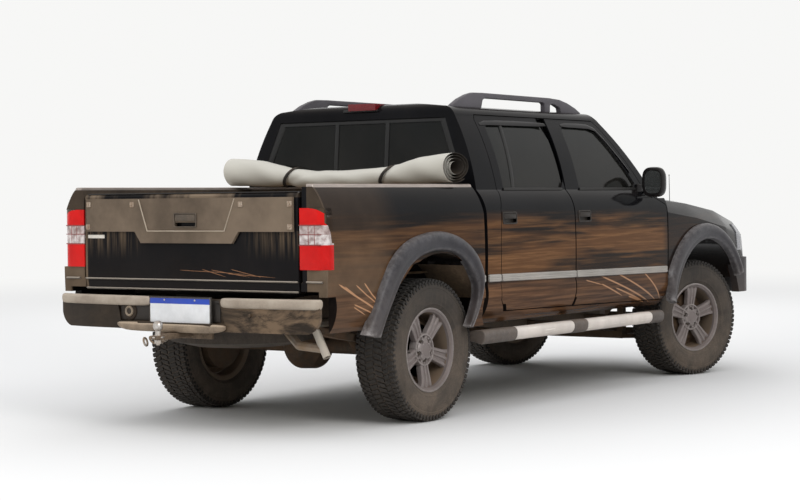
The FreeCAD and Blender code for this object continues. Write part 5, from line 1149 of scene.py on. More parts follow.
def carried(node: str, name: str, finish: Paints, width: float, segments: int, angle: float
            ) -> Piece:
    """Dress a frame node's own form, with its edges rounded.

    Args:
        node: The frame node, which the new piece replaces.
        name: Name of the new piece.
        finish: Its finish.
        width: Width of the rounding.
        segments: Steps of the rounding.
        angle: Edges sharper than this are rounded, in degrees.

    Returns:
        The dressed piece.
    """
    piece = Bench.bevel(Bench.from_node(node, name), width, segments, angle)
    return dress(piece, finish, nodes=[node])


def slab(name: str, low: Point, high: Point, round_by: float = 0.003, segments: int = 2) -> Piece:
    """Block with rounded edges."""
    return Bench.bevel(Bench.box(name, low, high), round_by, segments)


# Stage

@dataclass
class Studio:
    """Camera, floor and lights."""

    eye: Point = (-9.6145, -6.3849, 1.1541)
    yaw: float = 0.6110
    pitch: float = 0.0261
    roll: float = -0.0102
    lens: float = 86.24
    sensor: float = 36.0
    floor_size: float = 90.0
    floor_colour: Colour = (0.70, 0.69, 0.67)
    sky: Colour = (1.22, 1.25, 1.32)
    aim: Point = (0.0, 0.0, 0.8)
    lamp_size: float = 5.0
    lamps: tuple[tuple[str, Point, float], ...] = (
        ("key", (-5.0, -8.5, 6.0), 460.0), ("fill", (-9.5, 3.0, 4.0), 300.0),
        ("front", (8.0, 5.0, 6.0), 230.0))

    def camera(self) -> None:
        """Place the camera where the photograph was taken."""
        cp, sp = math.cos(self.pitch), math.sin(self.pitch)
        cy, sy = math.cos(self.yaw), math.sin(self.yaw)
        ahead = Vector((cy * cp, sy * cp, -sp))
        right = Vector((sy, -cy, 0.0))
        up = right.cross(ahead)
        cr, sr = math.cos(self.roll), math.sin(self.roll)
        turned_right = cr * right + sr * up
        turned_up = -sr * right + cr * up
        data = bpy.data.cameras.new("camera")
        data.lens = self.lens
        data.sensor_width = self.sensor
        data.sensor_fit = "HORIZONTAL"
        camera = bpy.data.objects.new("camera", data)
        bpy.context.scene.collection.objects.link(camera)
        basis = Matrix((turned_right, turned_up, -ahead)).transposed().to_4x4()
        camera.matrix_world = Matrix.Translation(self.eye) @ basis
        bpy.context.scene.camera = camera

    def floor(self) -> None:
        """Pale floor that keeps the truck's shadow."""
        Bench.clear()
        bpy.ops.mesh.primitive_plane_add(size=self.floor_size, location=(0, 0, 0))
        ground = bpy.context.object
        ground.name = "floor"
        material = bpy.data.materials.new("floor")
        material.use_nodes = True
        shader = material.node_tree.nodes["Principled BSDF"]
        shader.inputs["Base Color"].default_value = (*self.floor_colour, 1.0)
        shader.inputs["Roughness"].default_value = 0.9
        w = Weave(material.node_tree)
        far = w.node("ShaderNodeVectorMath", operation="LENGTH")
        w.link(w.place(), far.inputs[0])
        plain = w.node("ShaderNodeEmission")
        w.link(BACKDROP, plain.inputs["Color"])
        mixed = w.node("ShaderNodeMixShader")
        w.link(w.times(w.shown(), w.span(far.outputs["Value"], 5.0, 20.0)), mixed.inputs[0])
        w.link(shader.outputs[0], mixed.inputs[1])
        w.link(plain.outputs[0], mixed.inputs[2])
        w.link(mixed.outputs[0], material.node_tree.nodes["Material Output"].inputs[0])
        ground.data.materials.append(material)

    def light(self) -> None:
        """Soft sky, a large key light and a fill."""
        world = bpy.data.worlds.new("sky")
        bpy.context.scene.world = world
        world.use_nodes = True
        w = Weave(world.node_tree)
        back = world.node_tree.nodes["Background"]
        height = w.axis("Z", w.node("ShaderNodeTexCoord").outputs["Generated"])
        low = w.mix(w.span(height, 0.02, 0.14), (0.10, 0.095, 0.08), (0.17, 0.18, 0.16))
        sky = w.mix(w.span(height, 0.36, 0.56), low, self.sky)
        w.link(w.mix(w.shown(), sky, BACKDROP), back.inputs["Color"])
        back.inputs["Strength"].default_value = 1.0
        for name, place, power in self.lamps:
            lamp = bpy.data.lights.new(name, "AREA")
            lamp.energy = power
            lamp.size = self.lamp_size
            lamp_object = bpy.data.objects.new(name, lamp)
            lamp_object.visible_glossy = name == "key"
            bpy.context.scene.collection.objects.link(lamp_object)
            turn = (Vector(self.aim) - Vector(place)).to_track_quat("-Z", "Y")
            lamp_object.matrix_world = Matrix.Translation(place) @ turn.to_matrix().to_4x4()

    def build(self) -> None:
        """Set the whole stage."""
        bpy.context.scene.view_settings.view_transform = "Standard"
        self.camera()
        self.floor()
        self.light()


# Wheels

@dataclass
class Wheel:
    """Tyre with lugs and a five-spoke rim, modelled about the Y axis with its face to +Y."""

    radius: float = 0.372
    half_width: float = 0.1225
    flange: float = 0.2203
    face: float = 0.042
    lug_rows: int = 76
    lug_depth: float = 0.0075
    spokes: int = 5
    seat: float = 0.203
    half_track: ClassVar[dict[str, float]] = {"front": 0.710, "rear": 0.697}
    axle_x: ClassVar[dict[str, float]] = {"front": WHEELBASE, "rear": 0.0}
    pivot_y: float = 0.620

    def carcass(self) -> Piece:
        """Sidewalls with their rings, and the base of the tread."""
        r, w, f = self.radius - self.lug_depth, self.half_width, self.flange
        half = [(0.0, r), (w - 0.040, r - 0.001), (w - 0.020, r - 0.007), (w - 0.009, r - 0.018),
                (w - 0.005, r - 0.030), (w - 0.003, r - 0.040), (w - 0.0045, r - 0.043),
                (w - 0.002, r - 0.050), (w, r - 0.070), (w + 0.0005, r - 0.082),
                (w - 0.001, r - 0.086), (w - 0.001, r - 0.096), (w - 0.004, r - 0.112),
                (w - 0.0065, r - 0.116), (w - 0.007, r - 0.124), (w - 0.014, f + 0.012),
                (w - 0.020, f + 0.006), (w - 0.0235, f + 0.001), (w - 0.026, f - 0.010)]
        profile = [(-along, radius) for along, radius in reversed(half[1:])] + half
        tyre = Bench.spun("carcass", profile, 108, closed=True)
        paint(tyre, Paints.TYRE)
        return tyre

    def lug(self, name: str, low: Pair, high: Pair, base: float, top: float, lean: float) -> Piece:
        """One tread block between two (across, along) corners, leaning along the tread."""
        block = Bench.box(name, (low[0], low[1], base), (high[0], high[1], top))
        for vertex in block.data.vertices:
            vertex.co.x += lean * vertex.co.y
            if vertex.co.z > 0.5 * (base + top):
                middle = 0.5 * (low[0] + high[0])
                vertex.co.x = middle + 0.90 * (vertex.co.x - middle)
        return Bench.bevel(block, 0.0012, 1, 40)

    def tread(self) -> Piece:
        """All rows of lugs round the tyre."""
        r, w = self.radius, self.half_width
        pitch = 2 * math.pi * r / self.lug_rows
        base = r - self.lug_depth - 0.004
        # name, inner and outer edge, shift and half length in pitches, bottom, top, lean
        blocks = (("outer", w - 0.036, w - 0.009, 0.25, 0.33, base - 0.010, r - 0.0045, 0.10),
                  ("near", w - 0.068, w - 0.040, -0.25, 0.36, base, r - 0.0008, -0.35),
                  ("mid", 0.004, w - 0.073, 0.25, 0.34, base, r, 0.30),
                  ("wall", w - 0.0095, w - 0.0035, 0.25, 0.22, r - 0.033, r - 0.015, 0.0))
        rows = []
        for side in (-1, 1):
            for name, inner, outer, shift, half, bottom, top, lean in blocks:
                near, far = sorted((side * inner, side * outer))
                middle = shift * pitch * side
                rows.append(self.lug(name, (middle - half * pitch, near),
                                     (middle + half * pitch, far), bottom, top, lean * side))
        tread = Bench.turned_copies(Bench.join(rows, "tread"), self.lug_rows)
        paint(tread, Paints.TREAD)
        return tread

    def spoke_section(self, r: float, half: float, out: float, deep: float) -> list[Point]:
        """Section of a spoke at one radius: a middle rib between two grooves."""
        right = [(0.12 * half, 0.0), (0.20 * half, -0.006), (0.50 * half, -0.006),
                 (0.58 * half, 0.0), (half - 0.004, 0.0), (half, -0.004), (half, -deep)]
        points = [(-t, y) for t, y in reversed(right)] + right
        return [(r, out + y, t) for t, y in points]

    def rim(self) -> Piece:
        """Barrel, spokes, hub with its notched cap, and wheel nuts; a dark disc and dark nuts
        paint the shade in the nut wells.
        """
        f, face = self.flange, self.face
        barrel = [(-0.102, f), (-0.094, f + 0.001), (-0.094, self.seat), (0.094, self.seat),
                  (0.094, f + 0.001), (0.102, f), (0.1035, f - 0.005), (0.101, f - 0.011),
                  (0.094, f - 0.015), (0.090, f - 0.021), (0.076, f - 0.0235), (0.060, 0.1935),
                  (-0.070, 0.186), (-0.092, 0.196), (-0.1, f - 0.010)]
        hoop = Bench.spun("barrel", barrel, 96)
        paint(hoop, Paints.BARREL, Paints.WHEEL)
        Bench.pick(hoop, "FACE", lambda p: p.center.y > 0.070)
        Bench.close()
        for polygon in hoop.data.polygons:
            if polygon.select:
                polygon.material_index = 1
        stations = [(0.040, 0.028, face + 0.022, 0.030), (0.070, 0.0330, face + 0.022, 0.030),
                    (0.100, 0.0360, face + 0.026, 0.032), (0.135, 0.0390, face + 0.032, 0.030),
                    (0.165, 0.0430, face + 0.036, 0.028), (0.186, 0.0480, face + 0.036, 0.026),
                    (0.1990, 0.0560, face + 0.034, 0.022)]
        spoke = Bench.skin("spoke", [self.spoke_section(*row) for row in stations], wrap=True,
                           caps=True)
        spokes = Bench.turned_copies(Bench.bevel(spoke, 0.0012, 1, 35), self.spokes)
        paint(spokes, Paints.WHEEL)
        hub = Bench.spun("hub", [(face - 0.016, 0.0), (face - 0.016, 0.086), (face + 0.018, 0.087),
                                 (face + 0.026, 0.083), (face + 0.0265, 0.077),
                                 (face + 0.018, 0.0715), (face + 0.010, 0.070),
                                 (face + 0.010, 0.0)], 60, closed=False)
        paint(hub, Paints.WHEEL)
        cap = Bench.spun("cap", [(face + 0.008, 0.0), (face + 0.008, 0.062), (face + 0.020, 0.061),
                                 (face + 0.029, 0.053), (face + 0.033, 0.036),
                                 (face + 0.0315, 0.033), (face + 0.0345, 0.0)], 60, closed=False)
        notch = Bench.rod("notch", (0.056, face, 0.0), (0.056, face + 0.05, 0.0), 0.0135, 20)
        Bench.cut(cap, Bench.turned_copies(notch, self.spokes))
        paint(cap, Paints.WHEEL)
        # Painted shade: a dark disc behind the cap's notches, and dark nuts, stand for the shaded
        # nut wells.
        disc = Bench.rod("disc", (0, face + 0.0102, 0), (0, face + 0.0115, 0), 0.0700, 48)
        paint(disc, Paints.CAP)
        nut = Bench.rod("nut", (0.056, face + 0.010, 0), (0.056, face + 0.024, 0), 0.0085, 6)
        nuts = Bench.turned_copies(Bench.bevel(nut, 0.001, 1), self.spokes)
        paint(nuts, Paints.CAP)
        drum = Bench.bevel(Bench.rod("drum", (0, -0.060, 0), (0, 0.010, 0), 0.148, 48), 0.006, 2)
        shield = Bench.rod("shield", (0, -0.022, 0), (0, -0.016, 0), 0.1840, 48)
        drum = Bench.join([drum, shield], "drum")
        paint(drum, Paints.BRAKE)
        stem = Bench.rod("stem", (0.178, 0.070, 0.055), (0.168, 0.098, 0.052), 0.003, 10)
        paint(stem, Paints.RUBBER)
        return Bench.join([hoop, spokes, hub, cap, disc, nuts, drum, stem], "rim")

    def place(self, piece: Piece, name: str, end: str, side: Side, turn: float) -> Piece:
        """Copy a wheel piece to one corner of the truck.

        Args:
            piece: The piece modelled about the origin.
            name: Name for the copy.
            end: Either front or rear.
            side: Side of the truck.
            turn: Turn of the wheel about its own axle, in degrees.

        Returns:
            The placed copy.
        """
        made = Bench.copy(piece, name)
        x = self.axle_x[end]
        matrix = Matrix.Rotation(math.radians(turn), 4, "Y")
        if side is Side.RIGHT:
            matrix = Matrix.Rotation(math.pi, 4, "Z") @ matrix
        matrix = Matrix.Translation((x, side.value * self.half_track[end], AXLE_Z)) @ matrix
        if end == "front":
            pivot = Matrix.Translation((x, side.value * self.pivot_y, 0.0))
            swing = Matrix.Rotation(math.radians(STEER_AT_REST), 4, "Z")
            matrix = pivot @ swing @ pivot.inverted() @ matrix
        made.data.transform(matrix)
        return made

    def build(self) -> None:
        """Fit all four wheels."""
        tyre = Bench.join([self.carcass(), self.tread()], "tyre")
        rim = self.rim()
        turns = {("rear", Side.RIGHT): 18.0, ("rear", Side.LEFT): 30.0,
                 ("front", Side.RIGHT): -18.0, ("front", Side.LEFT): 5.0}
        for (end, side), turn in turns.items():
            corner = "%s_%s" % (end, side.label)
            for piece, name, node, finish in ((tyre, "lugged_tyre_", "tyre_", Paints.TYRE),
                                              (rim, "spoked_rim_", "rim_", Paints.WHEEL)):
                dress(self.place(piece, name + corner, end, side, turn), finish,
                      "wheel_" + corner, [node + corner])
        Bench.drop(tyre)
        Bench.drop(rim)


# Painted body

@dataclass
class Panels:
    """Painted panels taken from the frame, with rolled edges and lined insides."""

    edge: float = 0.003
    cabin: Point = (1.45, 0.0, 1.15)
    box: Point = (-0.28, 0.0, 1.0)
    mirror_x: Pair = (2.22, 2.42)
    mirror_y: Pair = (0.832, 1.02)
    mirror_z: Pair = (1.150, 1.37)
    arch_y: Pair = (0.846, 0.95)
    arch_room: tuple[Pair, ...] = ((-0.530, 0.30), (-0.530, 0.500), (-0.475, 0.600),
                                   (-0.410, 0.690), (-0.250, 0.826), (-0.10, 0.86),
                                   (0.10, 0.80), (0.10, 0.30))
    painted: tuple[tuple[str, str, str], ...] = (
        ("cab_floor", "cab_floor_skin", "root"),
        ("cab_shell", "cab_skin", "root"),
        ("door_front_left", "front_door_left_skin", "door_front_left"),
        ("door_front_right", "front_door_right_skin", "door_front_right"),
        ("door_rear_left", "rear_door_left_skin", "door_rear_left"),
        ("door_rear_right", "rear_door_right_skin", "door_rear_right"),
        ("hood", "hood_skin", "hood"),
        ("front_wings", "wing_skins", "root"),
        ("cargo_bed", "bed_skin", "root"),
        ("fuel_lid", "fuel_lid_skin", "fuel_lid"),
    )

    def line(self, skin: Piece, finish: Paints, middle: Point) -> None:
        """Give the faces that look towards a room's middle its own finish."""
        skin.data.materials.append(finish.material)
        centre = Vector(middle)
        for face in skin.data.polygons:
            towards = centre - face.center
            if face.normal.dot(towards.normalized()) > 0.12 and abs(face.center.y) < 0.80:
                face.material_index = 1

    def handle_well(self, skin: Piece, door: str, start: float, end: float, side: int) -> None:
        """Sink the well of a door handle into the skin."""
        middle, half = (start + end) / 2, (end - start) / 2
        y = Surface.beside(door + "right", middle, SideTrim.handle_z)
        low, high = sorted((side * (-y + 0.04), side * (-y - 0.021)))
        inner = rounded(half - 0.009, 0.026, 0.008, at=(middle, SideTrim.handle_z))
        Bench.cut(skin, Bench.side_prism("well", inner, low, high))

    def build(self) -> None:
        """Dress every painted panel."""
        for node, name, body in self.painted:
            skin = Bench.from_node(node, name)
            side = -1 if node.endswith("right") else 1
            if node.startswith("door_front"):
                low, high = sorted(side * y for y in self.mirror_y)
                corners = zip(self.mirror_x, (low, high), self.mirror_z)
                Bench.cut(skin, Bench.box("mirror_room", *corners))
            for door, start, end in SideTrim.handles:
                if node.startswith(door):
                    self.handle_well(skin, door, start, end, side)
            if node == "cargo_bed":
                for sign in (-1, 1):
                    low, high = sorted(sign * y for y in self.arch_y)
                    Bench.cut(skin, Bench.side_prism("arch_room", self.arch_room, low, high))
            Bench.bevel(skin, self.edge, 2, 32)
            paint(skin, Paints.BODY)
            if node.startswith(("cab_", "door_")):
                self.line(skin, Paints.TRIM, self.cabin)
            if node == "cargo_bed":
                self.line(skin, Paints.BED_LINER, self.box)
            dress(skin, Paints.BODY, body, [node])
            Bench.even(skin)


# Rear end

@dataclass
class Gate:
    """Tailgate with its dusty cover panel, handle, screws and ledge."""

    face: float = -1.0005
    half: float = 0.700
    ledge_z: float = 0.757
    lip_z: float = 0.708
    screws: tuple[Pair, ...] = ((0.661, 1.146), (0.357, 1.144), (-0.361, 1.141),
                                (-0.667, 1.141), (0.667, 1.030), (-0.667, 1.030))

    def panel(self) -> None:
        """Painted gate with the raised cover panel recessed along its trapezoid."""
        gate = Bench.from_node("tailgate", "gate_skin")
        outline = [(0.318, 1.190), (0.262, 1.008), (-0.262, 1.008), (-0.318, 1.190)]
        Bench.cut(gate, Bench.cross_prism("recess", outline, self.face - 0.02, self.face + 0.004))
        for vertex in gate.data.vertices:
            x, y, z = vertex.co
            if x < -0.975 and 0.94 < z < 1.020 and 0.33 < abs(y) < 0.46:
                vertex.co.y *= 0.875
        Bench.bevel(gate, 0.0025, 2, 32)
        paint(gate, Paints.BODY, Paints.GATE_PANEL)
        for face in gate.data.polygons:
            c = face.center
            if c.x < -0.9835 and 0.944 < c.z < 1.1775:
                face.material_index = 1
        dress(gate, Paints.BODY, "tailgate", ["tailgate"])
        Bench.even(gate)

    def fittings(self) -> None:
        """Washers, screws, handle flap, reflective strip and ledge; the ledge's light dusty finish
        is dust and a painted highlight.
        """
        heads = []
        for y, z in self.screws:
            washer = Bench.cross_prism("washer", rounded(0.0135, 0.0135, 0.004, 2, at=(y, z)),
                                       self.face - 0.004, self.face + 0.003)
            heads += [washer, Bench.rod("screw", (self.face - 0.008, y, z),
                                        (self.face - 0.003, y, z), 0.0052, 16, 0.0062)]
        washers = Bench.bevel(Bench.join(heads, "gate_screws"), 0.0008, 1)
        dress(washers, Paints.SCREW, "tailgate")
        bead = [(0.315, 1.170), (0.2575, 1.0065), (-0.2575, 1.0065), (-0.325, 1.170),
                (-0.3195, 1.170), (-0.2535, 1.0120), (0.2535, 1.0120), (0.3095, 1.170)]
        line = Bench.cross_prism("gate_bead", bead, self.face - 0.0025, self.face + 0.004)
        dress(Bench.bevel(line, 0.0012, 1), Paints.BEAD, "tailgate")
        flap = Bench.cross_prism("gate_flap", rounded(0.066, 0.0165, 0.005, at=(0.0, 1.0765)),
                                 self.face - 0.001, self.face + 0.010)
        dress(Bench.bevel(flap, 0.002, 2), Paints.FLAP, "tailgate")
        well = Bench.cross_prism("gate_handle_well",
                                 rounded(0.0745, 0.0365, 0.008, at=(0.0, 1.064)),
                                 self.face - 0.003, self.face + 0.006)
        hole = Bench.cross_prism("hole", rounded(0.0695, 0.0315, 0.006, at=(0.0, 1.064)),
                                 self.face - 0.02, self.face + 0.03)
        dress(Bench.bevel(Bench.cut(well, hole), 0.0012, 2), Paints.FLAP, "tailgate")
        x = Surface.behind("tailgate", 0.62, 0.98)
        strip = slab("gate_reflector", (x - 0.0022, 0.568, 0.971), (x + 0.001, 0.684, 0.989),
                     0.001)
        dress(strip, Paints.STRIP, "tailgate")
        # The ledge bars' light dusty finish also paints the ledges' highlight.
        ledge = [(0.004, 0.0), (-0.009, 0.003), (-0.011, 0.0065), (-0.008, 0.010), (0.004, 0.011)]
        bar = Bench.side_prism("gate_ledge", [(-0.983 + x, self.ledge_z + z) for x, z in ledge],
                               -self.half, self.half)
        dress(Bench.bevel(bar, 0.0015, 2), Paints.LEDGE, "tailgate")
        low = Bench.side_prism("gate_lower_lip", [(-0.979 + 0.7 * x, self.lip_z + z)
                                                  for x, z in ledge], -self.half, self.half)
        dress(Bench.bevel(low, 0.0015, 2), Paints.LEDGE, "tailgate")
        corner = []
        for y in (-0.706, -0.75, -0.79, -0.82, -0.846):
            base = Surface.behind("cargo_bed", y, 0.7625, -0.98)
            corner.append([(base + a, y, self.ledge_z + 1.1 * b) for a, b in ledge])
        both(Bench.skin("corner_ledge", corner, wrap=True, caps=True), "corner_ledge",
             Paints.LEDGE)
        cap = slab("gate_top_cap", (-0.978, -0.690, 1.1965), (-0.932, 0.690, 1.2015), 0.002)
        dress(cap, Paints.RUBBER, "tailgate")

    def build(self) -> None:
        """Build the whole gate."""
        self.panel()
        self.fittings()


@dataclass
class Lamps:
    """Tail lamps with their bands, and the high brake lamp."""

    bands: tuple[float, ...] = (1.037, 0.992, 0.942)

    def round_corners(self, lamps: Piece) -> None:
        """Round the top outer corners and fill what they leave with painted metal."""
        curve = through((-0.775, 1.1175), (-0.848, 1.096), (-0.894, 1.025), 10)
        outline = [(-0.775, 1.1175)] + curve + [(-0.93, 1.025), (-0.93, 1.14), (-0.775, 1.14)]
        side = [(-0.975, 1.055), (-0.955, 1.035), (-0.938, 1.0), (-0.930, 0.95), (-0.890, 0.95),
                (-0.890, 1.14), (-0.975, 1.14)]
        for name, tool in (("lamp_corner", Bench.cross_prism("tool", outline, -1.10, -0.85)),
                           ("lamp_side_corner", Bench.side_prism("tool", side, -0.93, -0.852))):
            filler = Bench.from_node("tail_lamps", name)
            Bench.cut(filler, tool, "INTERSECT", keep=True)
            Bench.cut(lamps, Bench.mirrored(tool, "tool_left"))
            Bench.cut(lamps, tool)
            both(filler, name, Paints.BODY)

    def build(self) -> None:
        """Slice the lamps into bands and give each its lens."""
        lamps = Bench.from_node("tail_lamps", "tail_lenses")
        self.round_corners(lamps)
        high = [v for v in lamps.data.vertices if v.co.z > 1.6]
        middle = sum(v.co.z for v in high) / len(high)
        for vertex in high:
            vertex.co.y = 0.90 * vertex.co.y - 0.022
            vertex.co.z = middle + 0.8 * (vertex.co.z - middle)
        Bench.bevel(lamps, 0.006, 3, 40)
        Bench.take(lamps)
        for z in self.bands:
            Bench.edit()
            bpy.ops.mesh.bisect(plane_co=(0.0, 0.0, z), plane_no=(0.0, 0.0, 1.0))
            Bench.close()
        paint(lamps, Paints.RED, Paints.CLEAR_BAND, Paints.BULB_BAND, Paints.HIGH_RED)
        for face in lamps.data.polygons:
            if face.center.z > 1.5:
                face.material_index = 3
            if self.bands[2] < face.center.z < self.bands[0]:
                face.material_index = 1 if face.center.z > self.bands[1] else 2
        dress(lamps, Paints.RED, "root", ["tail_lamps"])
        bars = []
        for z, high in ((self.bands[0], 0.003), (self.bands[1], 0.002), (self.bands[2], 0.003)):
            x = Surface.behind("tail_lamps", -0.78, z)
            bars.append(slab("bar", (x - 0.0015, -0.842, z - high), (x + 0.004, -0.708, z + high),
                             0.0008))
        for y in (-0.766, -0.803, -0.838):
            x = max(Surface.behind("tail_lamps", y - 0.003, 0.98),
                    Surface.behind("tail_lamps", y + 0.003, 0.98))
            bars.append(slab("bar", (x - 0.001, y - 0.0015, self.bands[2]),
                             (x + 0.004, y + 0.0015, self.bands[0]), 0.0005, 1))
        both(Bench.join(bars, "lamp_bars"), "lamp_bars", Paints.LAMP_BAR)
        x = Surface.behind("tail_lamps", 0.0, 1.68)
        dress(slab("high_lamp_seal", (x + 0.012, -0.118, 1.650), (x + 0.10, 0.118, 1.664), 0.004),
              Paints.RUBBER)


@dataclass
class RearBumper:
    """Step bumper with dusty pads, plate, tow socket and tread."""

    top: float = 0.672
    plan: tuple[Pair, ...] = ((-1.062, -0.236), (-1.0605, -0.33), (-1.056, -0.45),
                              (-1.0462, -0.60), (-1.0385, -0.69), (-1.0265, -0.765),
                              (-1.017, -0.812), (-1.008, -0.840), (-0.998, -0.850),
                              (-0.990, -0.851))

    def pad(self, name: str, plan: Sequence[Pair]) -> Piece:
        """Rounded tread pad over the bumper's top edge."""
        section = [(-0.036, 0.010), (-0.006, 0.012), (0.006, 0.009), (0.012, 0.001),
                   (0.013, -0.016), (0.010, -0.032), (0.002, -0.040), (-0.012, -0.040),
                   (-0.036, -0.036)]
        path, out = [], []
        for index, (x, y) in enumerate(plan):
            a = plan[max(index - 1, 0)]
            b = plan[min(index + 1, len(plan) - 1)]
            path.append((x, y, self.top))
            out.append((b[1] - a[1], a[0] - b[0], 0.0))
        scales = [0.72] + [1.0] * (len(plan) - 2) + [0.6]
        path.insert(1, (path[0][0], path[0][1] - 0.010, self.top))
        out.insert(1, out[0])
        scales.insert(1, 0.94)
        piece = sweep(name, path, out, section, scales=scales)
        return Bench.modify(piece, "SUBSURF", levels=1, render_levels=1)

    def shell(self) -> None:
        """Bumper body with its wider plate recess."""
        body = Bench.from_node("rear_bumper", "rear_bumper_skin")
        pocket = Bench.cross_prism("pocket", [(-0.300, 0.555), (0.395, 0.555), (0.425, 0.70),
                                              (-0.255, 0.70)], -1.30, -1.040)
        Bench.cut(body, pocket)
        for side in (-1, 1):
            curve = through((side * 0.852, 0.605), (side * 0.826, 0.541), (side * 0.765, 0.513), 8)
            corner = [(side * 0.852, 0.605)] + curve + [(side * 0.765, 0.49), (side * 0.90, 0.49),
                                                        (side * 0.90, 0.605)]
            Bench.cut(body, Bench.cross_prism("corner", corner, -1.2, -0.9))
        Bench.bevel(body, 0.006, 3, 35)
        dress(body, Paints.BUMPER, "root", ["rear_bumper"])
        Bench.even(body)
        right = self.pad("bumper_pad_right", [(x, y - 0.045 if y > -0.3 else y)
                                              for x, y in self.plan])
        dress(right, Paints.PAD, angle=60)
        twin = [(-1.062, -0.176), (-1.0605, -0.27)] + list(self.plan[2:])
        left = Bench.mirrored(self.pad("pad", twin), "bumper_pad_left")
        Bench.drop(bpy.data.objects["pad"])
        dress(left, Paints.PAD, angle=60)

    def plate(self) -> None:
        """Blank plate with a plain band, its holder and screws."""
        x, low, high, left, right = -1.070, 0.549, 0.679, 0.180, -0.220
        middle = (left + right) / 2
        holder = slab("plate_holder", (x + 0.001, right - 0.006, low - 0.006),
                      (x + 0.008, left + 0.006, high + 0.006), 0.002)
        dress(holder, Paints.RUBBER)
        back = slab("plate_mount", (x + 0.007, right + 0.03, low + 0.02),
                    (-1.015, left - 0.03, high - 0.03), 0.003)
        dress(back, Paints.BUMPER)
        centre = (middle, (low + high) / 2)
        outline = rounded(0.2, 0.065, 0.009, at=centre)
        blank = Bench.cross_prism("plate", outline, x - 0.0008, x + 0.0012)
        dress(Bench.bevel(blank, 0.0004, 1), Paints.PLATE)
        band = Bench.box("plate_band", (x - 0.0014, right + 0.002, high - 0.031),
                         (x - 0.0002, left - 0.002, high - 0.002))
        dress(Bench.bevel(band, 0.0003, 1), Paints.PLATE_BAND)
        rim = Bench.cross_prism("plate_rim", outline, x - 0.0022, x)
        hole = Bench.cross_prism("hole", rounded(0.1965, 0.0615, 0.007, at=centre), x - 0.01,
                                 x + 0.01)
        dress(Bench.cut(rim, hole), Paints.PLATE_EDGE)
        heads = [Bench.rod("head", (x - 0.004, y, high - 0.012), (x, y, high - 0.012), 0.0048, 16)
                 for y in (middle - 0.10, middle + 0.10)]
        dress(Bench.bevel(Bench.join(heads, "plate_screws"), 0.001, 1), Paints.CHROME)
        lights = [slab("light", (-1.058, y - 0.022, 0.655), (-1.035, y + 0.022, 0.669), 0.003)
                  for y in (-0.262, 0.222)]
        dress(Bench.join(lights, "plate_lights"), Paints.RUBBER)

    def details(self) -> None:
        """Recess back, tow socket, low step bar and a bolt."""
        back = slab("recess_back", (-1.0445, -0.262, 0.560), (-1.030, 0.402, 0.668), 0.003)
        dress(back, Paints.RUBBER)
        y, z = 0.338, 0.603
        flange = Bench.rod("socket_plate", (-1.050, y, z), (-1.040, y, z), 0.046, 40)
        lip = Bench.ring("lip", (-1.051, y, z), 0.0215, 0.0065, (0.0, math.pi / 2, 0.0), 40, 10)
        lid = Bench.rod("lid", (-1.052, y, z), (-1.042, y, z), 0.018, 32)
        for ring, finish in ((Bench.bevel(flange, 0.003, 2), Paints.BUMPER), (lip, Paints.SOCKET),
                             (Bench.bevel(lid, 0.002, 1), Paints.CAP)):
            paint(ring, finish)
        whole = Bench.join([flange, lip, lid], "tow_socket")
        dress(whole, Paints.SOCKET)
        section = [(-0.030, -0.022), (0.012, -0.026), (0.024, -0.022), (0.031, -0.010),
                   (0.031, 0.006), (0.024, 0.018), (0.010, 0.022), (-0.030, 0.022)]
        path = [(-1.056, 0.412, 0.540), (-1.062, 0.385, 0.536), (-1.072, 0.335, 0.532),
                (-1.076, 0.25, 0.531), (-1.078, 0.0, 0.531), (-1.076, -0.22, 0.531),
                (-1.070, -0.275, 0.532), (-1.060, -0.315, 0.536)]
        bar = sweep("low_step", path, [(-1, 0, 0)] * 8, section,
                    scales=[0.35, 0.62, 0.9, 1.0, 1.0, 1.0, 0.85, 0.45])
        dress(Bench.modify(bar, "SUBSURF", levels=1, render_levels=1), Paints.LOW_STEP, angle=60)
        bolt = Bench.rod("bumper_bolts", (-1.066, -0.46, 0.600), (-1.055, -0.46, 0.600), 0.009, 6)
        dress(Bench.bevel(bolt, 0.001, 1), Paints.BUMPER)

    def build(self) -> None:
        """Build the whole bumper."""
        self.shell()
        self.plate()
        self.details()


